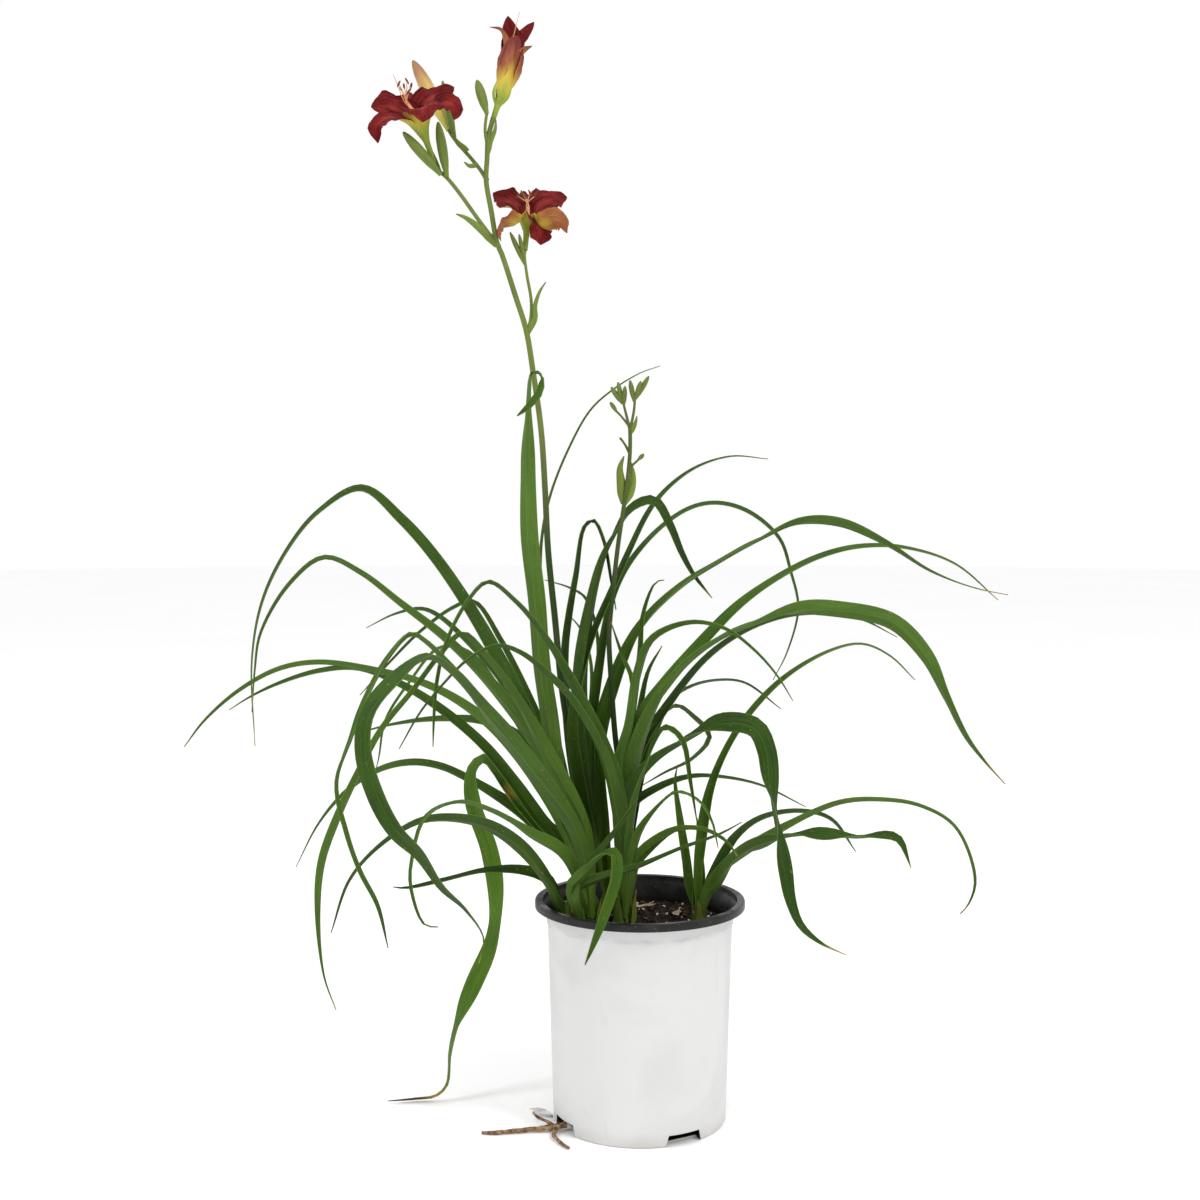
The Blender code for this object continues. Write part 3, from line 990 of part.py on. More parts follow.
def main():
    """Clear the scene and build every piece."""
    for old in list(bpy.data.objects):
        bpy.data.objects.remove(old)
    make_pot()
    make_soil()
    for name in FEET:
        if not name.startswith("scape"):
            make_fan(name)
    make_scape("scape_tall", TALL_STEM, TALL_TWIGS, TALL_BRACTS, TALL_BUDS)
    make_scape("scape_young", YOUNG_STEM, YOUNG_TWIGS, YOUNG_BRACTS, YOUNG_BUDS)
    for bloom in BLOOMS:
        make_bloom(bloom)
        make_stamens(bloom.replace("bloom", "stamens"), bloom)
    thickness, near, far, low, high = LARGE_BUD
    bud_object("bud_large", thickness, at_depth(*low, near * MM), at_depth(*high, far * MM), "bud", 8)
    make_roots()


main()
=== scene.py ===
"""Looks of a daylily in bloom in its nursery pot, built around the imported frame.

Every leaf, stem and petal follows the route that its solid follows in the
part's source: a line on a squared sketch, seen from an eye in front of the pot.
"""

import logging
import math
import random
from bisect import bisect_left
from collections.abc import Callable, Sequence
from dataclasses import dataclass
from enum import Enum

import bpy
import numpy as np
from mathutils import Matrix, Vector, noise


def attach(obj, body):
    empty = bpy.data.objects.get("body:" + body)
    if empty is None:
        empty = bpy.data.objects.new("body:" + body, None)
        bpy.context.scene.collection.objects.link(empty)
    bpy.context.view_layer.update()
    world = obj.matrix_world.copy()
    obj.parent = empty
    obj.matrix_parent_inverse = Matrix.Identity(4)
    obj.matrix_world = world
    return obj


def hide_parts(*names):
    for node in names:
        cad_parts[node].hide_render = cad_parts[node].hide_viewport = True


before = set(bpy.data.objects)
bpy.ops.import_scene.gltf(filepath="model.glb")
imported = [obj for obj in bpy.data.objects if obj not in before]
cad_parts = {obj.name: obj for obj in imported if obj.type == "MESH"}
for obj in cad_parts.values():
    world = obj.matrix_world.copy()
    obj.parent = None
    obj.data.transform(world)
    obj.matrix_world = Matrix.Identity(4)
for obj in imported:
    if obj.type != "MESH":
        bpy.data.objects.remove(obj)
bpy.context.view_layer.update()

LOG = logging.getLogger("daylily")
BODY = "root"
MM = 0.001
FULL_TURN = 2.0 * math.pi
SOIL_LEVEL = 157.0 * MM
RIGHT = Vector((1.0, 0.0, 0.0))
UP = Vector((0.0, 0.0, 1.0))
Colour = tuple[float, float, float]
Spot = tuple[float, ...]
Piece = bpy.types.Object
Finish = bpy.types.Material
Socket = bpy.types.NodeSocket
Place = Callable[[float, float], Vector]
Marks = Callable[[float, float], dict[str, float]]
Stops = tuple[tuple[float, Colour], ...]


class Crease(Enum):
    """Angles in degrees from which an edge of a piece stays sharp."""

    MOULDED = 32.0
    LEAF = 38.0
    SOIL = 40.0
    GROWN = 50.0
    PETAL = 55.0
    SOFT = 60.0


@dataclass(frozen=True)
class Sketch:
    """The squared sketch that the plant is drawn on, and the eye that sees it."""

    eye: Vector = Vector((-31.5 * MM, -1305.0 * MM, 503.0 * MM))
    look_down: float = math.radians(4.0)
    square: float = 7.8 * MM
    reach: float = 1308.0 * MM
    sight_across: float = -4.0
    sight_up: float = 51.6

    def line(self, across: float, up: float) -> Vector:
        """The way from the eye through a point of the sketch."""
        ahead = Vector((0.0, math.cos(self.look_down), -math.sin(self.look_down)))
        above = Vector((0.0, math.sin(self.look_down), math.cos(self.look_down)))
        return (ahead * self.reach + RIGHT * (across - self.sight_across) * self.square
                + above * (up - self.sight_up) * self.square)

    def in_plane(self, across: float, up: float, foot: Vector, heading: float) -> Vector:
        """The point shown by the sketch in the upright plane through a foot."""
        normal = Vector((-math.sin(heading), math.cos(heading), 0.0))
        line = self.line(across, up)
        return self.eye + line * ((foot - self.eye).dot(normal) / line.dot(normal))

    def at_depth(self, across: float, up: float, away: float) -> Vector:
        """The point shown by the sketch at a depth in mm behind the pot's axis."""
        line = self.line(across, up)
        return self.eye + line * ((away * MM - self.eye.y) / line.y)

    def run(self, spots: Sequence[Spot], near: float, far: float) -> list[Vector]:
        """Sketch points with a depth that runs evenly from near to far.

        Args:
            spots: points of the sketch, across and up.
            near: depth of the first point in mm.
            far: depth of the last point in mm.

        Returns:
            The points in the frame, in metres.
        """
        last = len(spots) - 1
        return [self.at_depth(across, up, near + (far - near) * i / last)
                for i, (across, up) in enumerate(spots)]


SKETCH = Sketch()


class Route:
    """A centripetal Catmull-Rom curve, read at shares of its length."""

    def __init__(self, points: Sequence[Vector], per_span: int = 16) -> None:
        """Lay the curve through points, with some steps in each span."""
        ends = [points[0] * 2.0 - points[1], *points, points[-1] * 2.0 - points[-2]]
        self.points: list[Vector] = []
        for p0, p1, p2, p3 in zip(ends, ends[1:], ends[2:], ends[3:]):
            t1 = math.sqrt((p1 - p0).length)
            t2 = t1 + math.sqrt((p2 - p1).length)
            t3 = t2 + math.sqrt((p3 - p2).length)
            for step in range(per_span):
                t = t1 + (t2 - t1) * step / per_span
                a1 = p0 * ((t1 - t) / t1) + p1 * (t / t1)
                a2 = p1 * ((t2 - t) / (t2 - t1)) + p2 * ((t - t1) / (t2 - t1))
                a3 = p2 * ((t3 - t) / (t3 - t2)) + p3 * ((t - t2) / (t3 - t2))
                b1 = a1 * ((t2 - t) / t2) + a2 * (t / t2)
                b2 = a2 * ((t3 - t) / (t3 - t1)) + a3 * ((t - t1) / (t3 - t1))
                self.points.append(b1 * ((t2 - t) / (t2 - t1)) + b2 * ((t - t1) / (t2 - t1)))
        self.points.append(points[-1].copy())
        lengths = [0.0]
        for a, b in zip(self.points, self.points[1:]):
            lengths.append(lengths[-1] + (b - a).length)
        self.length = lengths[-1]
        self.shares = [length / self.length for length in lengths]
        last = len(self.points) - 1
        self.tangents = [(self.points[min(i + 1, last)] - self.points[max(i - 1, 0)]).normalized()
                         for i in range(last + 1)]

    def at(self, share: float) -> tuple[Vector, Vector]:
        """Point and direction at a share of the length."""
        index = min(max(bisect_left(self.shares, share) - 1, 0), len(self.points) - 2)
        span = max(self.shares[index + 1] - self.shares[index], 1e-9)
        ease = min(max((share - self.shares[index]) / span, 0.0), 1.0)
        point = self.points[index].lerp(self.points[index + 1], ease)
        return point, self.tangents[index].lerp(self.tangents[index + 1], ease).normalized()


def smooth_step(value: float) -> float:
    """An eased share from 0 to 1."""
    value = min(max(value, 0.0), 1.0)
    return value * value * (3.0 - 2.0 * value)


def between(values: Sequence[float], share: float) -> float:
    """A value among evenly spread stations, eased from one to the next."""
    place = min(max(share, 0.0), 1.0) * (len(values) - 1)
    index = min(int(place), len(values) - 2)
    return values[index] + (values[index + 1] - values[index]) * smooth_step(place - index)


def profile(stops: Sequence[tuple[float, float]], share: float) -> float:
    """A value on a line through stops of share and value."""
    return float(np.interp(share, [stop[0] for stop in stops], [stop[1] for stop in stops]))


class Shade:
    """A material under way: adds nodes, links them and feeds the shader."""

    def __init__(self, name: str, **constants: float) -> None:
        """Start a material whose shader sockets get constant values."""
        self.material = bpy.data.materials.new(name)
        self.material.use_nodes = True
        self.nodes = self.material.node_tree.nodes
        self.shader = self.nodes["Principled BSDF"]
        for key, value in constants.items():
            self.shader.inputs[key.replace("_", " ").title().replace("Ior", "IOR")].default_value = value

    def add(self, kind: str, inputs: dict[str | int, object], **settings: object) -> bpy.types.Node:
        """A node with its settings, whose inputs are linked or set.

        Args:
            kind: the node's type without its ShaderNode prefix.
            inputs: a socket to link, or a value, for each input by name or place.
            settings: the node's own properties.

        Returns:
            The new node.
        """
        node = self.nodes.new("ShaderNode" + kind)
        for key, value in settings.items():
            setattr(node, key, value)
        for key, value in inputs.items():
            if isinstance(value, Socket):
                self.material.node_tree.links.new(value, node.inputs[key])
            else:
                node.inputs[key].default_value = value
        return node

    def object_space(self, scale: Spot = (1.0, 1.0, 1.0)) -> Socket:
        """Object coordinates in metres, scaled."""
        place = self.add("TexCoord", {}).outputs["Object"]
        return self.add("Mapping", {"Vector": place, "Scale": scale}).outputs[0]

    def surface_space(self, scale: Spot = (1.0, 1.0, 1.0)) -> Socket:
        """The piece's own UV coordinates, scaled."""
        place = self.add("UVMap", {}, uv_map="UVMap").outputs[0]
        return self.add("Mapping", {"Vector": place, "Scale": scale}).outputs[0]

    def given(self, name: str) -> Socket:
        """The value of one of the piece's own attributes."""
        return self.add("Attribute", {}, attribute_name=name).outputs["Fac"]

    def grain(self, place: Socket, scale: float, detail: float = 3.0, twist: float = 0.0) -> Socket:
        """Noise over a place."""
        inputs = {"Vector": place, "Scale": scale, "Detail": detail, "Distortion": twist}
        return self.add("TexNoise", inputs).outputs[0]

    def spread(self, value: Socket, low: float, high: float, new_low: float = 0.0,
               new_high: float = 1.0) -> Socket:
        """A value taken from one range to another and held inside it."""
        return self.add("MapRange", {0: value, 1: low, 2: high, 3: new_low, 4: new_high}).outputs[0]

    def fade(self, value: Socket, low: float, high: float, start: float = 1.0) -> Socket:
        """A share that falls to nothing while a value runs through a range."""
        return self.spread(value, low, high, start, 0.0)

    def sum(self, operation: str, first: object, second: object = 0.0) -> Socket:
        """One step of arithmetic."""
        return self.add("Math", {0: first, 1: second}, operation=operation).outputs[0]

    def weigh(self, *terms: tuple[Socket, float]) -> Socket:
        """The sum of values, each times its weight."""
        total = self.sum("MULTIPLY", *terms[0])
        for value, weight in terms[1:]:
            total = self.add("Math", {0: value, 1: weight, 2: total}, operation="MULTIPLY_ADD").outputs[0]
        return total

    def strayed(self, place: Socket, grain: Socket, amount: float) -> Socket:
        """A place that strays to both sides with a grain."""
        return self.sum("ADD", place, self.weigh((self.sum("SUBTRACT", grain, 0.5), amount)))

    def off_rib(self) -> Socket:
        """How far a place lies from the middle rib, as a share of the width."""
        across = self.add("SeparateXYZ", {0: self.surface_space()}).outputs[0]
        return self.sum("ABSOLUTE", self.sum("SUBTRACT", across, 0.5))

    def ramp(self, value: Socket, *stops: tuple[float, Colour]) -> Socket:
        """A colour read from stops of place and colour."""
        node = self.add("ValToRGB", {0: value})
        elements = node.color_ramp.elements
        while len(elements) < len(stops):
            elements.new(0.5)
        for element, (place, colour) in zip(elements, stops):
            element.position = place
            element.color = (*colour, 1.0)
        return node.outputs[0]

    def mix(self, share: object, first: object, second: object) -> Socket:
        """Two colours mixed by a share."""
        node = self.add("Mix", {0: share}, data_type="RGBA")
        for place, value in ((6, first), (7, second)):
            if isinstance(value, Socket):
                self.material.node_tree.links.new(value, node.inputs[place])
            else:
                node.inputs[place].default_value = (*value, 1.0)
        return node.outputs[2]

    def feed(self, key: str, value: Socket) -> None:
        """Link a value to one of the shader's sockets."""
        self.material.node_tree.links.new(value, self.shader.inputs[key])

    def relief(self, height: Socket, distance: float) -> None:
        """Give the surface a fine relief of a depth in metres."""
        self.feed("Normal", self.add("Bump", {"Height": height, "Distance": distance}).outputs[0])

    @staticmethod
    def mottled(name: str, scale: float, detail: float, depth: float, stops: Stops,
                **constants: float) -> Finish:
        """A finish whose colours and relief both follow one noise.

        Args:
            name: the material's name.
            scale: how fine the noise is.
            detail: how many finer noises lie over it.
            depth: depth of the relief in metres.
            stops: places and colours of the ramp.
            constants: constant values of the shader's sockets.

        Returns:
            The material.
        """
        shade = Shade(name, **constants)
        grain = shade.grain(shade.object_space(), scale, detail)
        shade.feed("Base Color", shade.ramp(grain, *stops))
        shade.relief(grain, depth)
        return shade.material


class Modeller:
    """The few ways in which every mesh here is made, with Blender's own tools."""

    @staticmethod
    def deselect() -> None:
        """Deselect everything, so that an operator acts on the new piece alone."""
        if bpy.context.object and bpy.context.object.mode != "OBJECT":
            bpy.ops.object.mode_set(mode="OBJECT")
        bpy.ops.object.select_all(action="DESELECT")

    @staticmethod
    def grid(name: str, columns: int, rows: int, place: Place,
             marks: Marks | None = None,
             stretch: float = 1.0, closed: bool = False) -> Piece:
        """A grid laid out by a formula of its two shares.

        Args:
            name: name of the piece.
            columns: faces across.
            rows: faces along.
            place: point for a share across and a share along.
            marks: attribute values for the same two shares.
            stretch: how long the UV map is for one width.
            closed: whether its two sides meet, as round a stem.

        Returns:
            The new piece.
        """
        Modeller.deselect()
        bpy.ops.mesh.primitive_grid_add(x_subdivisions=columns, y_subdivisions=rows, size=2.0)
        piece = bpy.context.object
        piece.name = name
        mesh = piece.data
        flat = np.empty(len(mesh.vertices) * 3)
        mesh.vertices.foreach_get("co", flat)
        shares = flat.reshape(-1, 3)[:, :2] * 0.5 + 0.5
        shares = [(float(across), float(along)) for across, along in shares]
        points = np.array([place(across, along) for across, along in shares])
        mesh.vertices.foreach_set("co", points.ravel())
        corners = np.empty(len(mesh.loops), dtype=int)
        mesh.loops.foreach_get("vertex_index", corners)
        spread = np.array(shares)[corners] * np.array((1.0, stretch))
        mesh.uv_layers[0].name = "UVMap"
        mesh.uv_layers[0].data.foreach_set("uv", spread.ravel())
        if marks:
            values = [marks(across, along) for across, along in shares]
            for key in values[0]:
                layer = mesh.attributes.new(key, "FLOAT", "POINT")
                layer.data.foreach_set("value", [value[key] for value in values])
        mesh.update()
        if closed:
            Modeller.weld(piece)
        return piece

    @staticmethod
    def weld(piece: Piece, distance: float = 1e-5) -> None:
        """Merge what lies together and turn the faces outwards."""
        bpy.context.view_layer.objects.active = piece
        piece.select_set(True)
        bpy.ops.object.mode_set(mode="EDIT")
        bpy.ops.mesh.select_all(action="SELECT")
        bpy.ops.mesh.remove_doubles(threshold=distance)
        bpy.ops.mesh.normals_make_consistent(inside=False)
        bpy.ops.object.mode_set(mode="OBJECT")

    @staticmethod
    def thicken(piece: Piece, thickness: float, second_finish: int = 0) -> None:
        """Turn a sheet into a closed blade with an even thickness."""
        modifier = piece.modifiers.new("thickness", "SOLIDIFY")
        modifier.thickness = thickness
        modifier.offset = 0.0
        modifier.material_offset = second_finish
        bpy.context.view_layer.objects.active = piece
        bpy.ops.object.modifier_apply(modifier=modifier.name)

    @staticmethod
    def join(name: str, parts: Sequence[Piece]) -> Piece:
        """Join pieces that grew as one, and name the result."""
        Modeller.deselect()
        for part in parts:
            part.select_set(True)
        bpy.context.view_layer.objects.active = parts[0]
        if len(parts) > 1:
            bpy.ops.object.join()
        joined = bpy.context.object
        joined.name = name
        joined.data.name = name
        return joined

    @staticmethod
    def paint(piece: Piece, *finishes: Finish) -> Piece:
        """Give a piece its finishes, in the order in which its faces count them."""
        for finish in finishes:
            piece.data.materials.append(finish)
        return piece

    @staticmethod
    def smooth(piece: Piece, degrees: float) -> None:
        """Shade smooth, except across edges sharper than an angle."""
        Modeller.deselect()
        piece.select_set(True)
        bpy.context.view_layer.objects.active = piece
        bpy.ops.object.shade_smooth_by_angle(angle=math.radians(degrees))

    @staticmethod
    def tube(name: str, route: Route, radius: Callable[[float, float], float], sides: int,
             step: float, marks: Marks | None = None,
             stretch: float = 8.0) -> Piece:
        """A closed round piece along a route, grown from a rolled grid.

        Args:
            name: name of the piece.
            route: its centreline.
            radius: radius in metres for a share round and a share along.
            sides: faces round.
            step: length of a face along, in metres.
            marks: attribute values for the same two shares.
            stretch: how long the UV map is for one turn round.

        Returns:
            The new piece, closed at both ends.
        """
        rows = max(4, math.ceil(route.length / step)) + 2
        rings = []
        reference = UP if abs(route.tangents[0].z) < 0.9 else RIGHT
        for row in range(rows + 1):
            share = min(max((row - 1) / (rows - 2), 0.0), 1.0)
            point, along = route.at(share)
            side = (reference - along * reference.dot(along)).normalized()
            reference = side
            rings.append((point, side, along.cross(side), share, 0.0 if row in (0, rows) else 1.0))

        def place(around: float, ahead: float) -> Vector:
            point, side, other, share, full = rings[round(ahead * rows)]
            turn = FULL_TURN * around
            return point + (side * math.cos(turn) + other * math.sin(turn)) * radius(around, share) * full

        return Modeller.grid(name, sides, rows, place, marks, stretch, closed=True)

    @staticmethod
    def lathe(name: str, outline: Sequence[tuple[float, float]], sides: int) -> Piece:
        """A turned body: an outline of radius and height spun round the Z axis."""
        Modeller.deselect()
        bpy.ops.mesh.primitive_plane_add(size=1.0)
        piece = bpy.context.object
        piece.name = name
        bpy.ops.object.mode_set(mode="EDIT")
        bpy.ops.mesh.select_all(action="SELECT")
        bpy.ops.mesh.merge(type="CENTER")
        first = Vector((outline[0][0], 0.0, outline[0][1]))
        bpy.ops.transform.translate(value=first)
        for (radius, height), (next_radius, next_height) in zip(outline, outline[1:]):
            move = (next_radius - radius, 0.0, next_height - height)
            bpy.ops.mesh.extrude_region_move(TRANSFORM_OT_translate={"value": move})
        bpy.ops.mesh.select_all(action="SELECT")
        bpy.ops.mesh.spin(steps=sides, angle=FULL_TURN, center=(0.0, 0.0, 0.0), axis=UP)
        bpy.ops.object.mode_set(mode="OBJECT")
        Modeller.weld(piece)
        return piece

    @staticmethod
    def heap(name: str, seed_mesh: Piece, grains: Sequence[Matrix],
             rough: float, draw: random.Random) -> Piece:
        """Many rough copies of one small form, as one piece.

        Args:
            name: name of the piece.
            seed_mesh: the form, which is used up.
            grains: the place, turn and size of each copy.
            rough: how far a corner strays, as a share of the form's size.
            draw: the seeded source of chance.

        Returns:
            The new piece.
        """
        corners = [vertex.co.copy() for vertex in seed_mesh.data.vertices]
        faces = [tuple(face.vertices) for face in seed_mesh.data.polygons]
        points = []
        sides = []
        for number, grain in enumerate(grains):
            start = number * len(corners)
            points += [grain @ (corner * (1.0 + draw.uniform(-rough, rough))) for corner in corners]
            sides += [tuple(start + corner for corner in face) for face in faces]
        bpy.data.objects.remove(seed_mesh)
        mesh = bpy.data.meshes.new(name)
        mesh.from_pydata(points, [], sides)
        piece = bpy.data.objects.new(name, mesh)
        bpy.context.scene.collection.objects.link(piece)
        return piece


def hand_over(piece: Piece, crease: Crease, slot: str, *nodes: str) -> Piece:
    """Smooth a finished piece and let it ride on the part, in place of its solids.

    Args:
        piece: the finished piece.
        crease: which of its edges stay sharp.
        slot: the part's slot that it belongs to; not used.
        nodes: the solids that it stands for.

    Returns:
        The piece.
    """
    Modeller.smooth(piece, crease.value)
    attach(piece, BODY)
    if nodes:
        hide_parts(*nodes)
    LOG.info("%s: %d faces", piece.name, len(piece.data.polygons))
    return piece


# Each foot: place of its middle on the soil, half width and half depth.
FEET: dict[str, Spot] = {
    "fan_left": (-38.0, 2.0, 9.0, 18.0),
    "fan_centre": (-24.0, 46.0, 7.5, 11.0),
    "fan_right": (-12.0, 0.0, 8.5, 20.0),
    "offset_left": (-58.5, -15.0, 4.5, 5.5),
    "offset_right": (47.0, -6.0, 5.5, 9.0),
    "shoot_front": (-46.0, -40.0, 4.0, 6.0),
    "scape_tall": (-46.0, 42.0, 3.5, 3.5),
    "scape_young": (-11.0, 32.0, 3.5, 3.5),
}

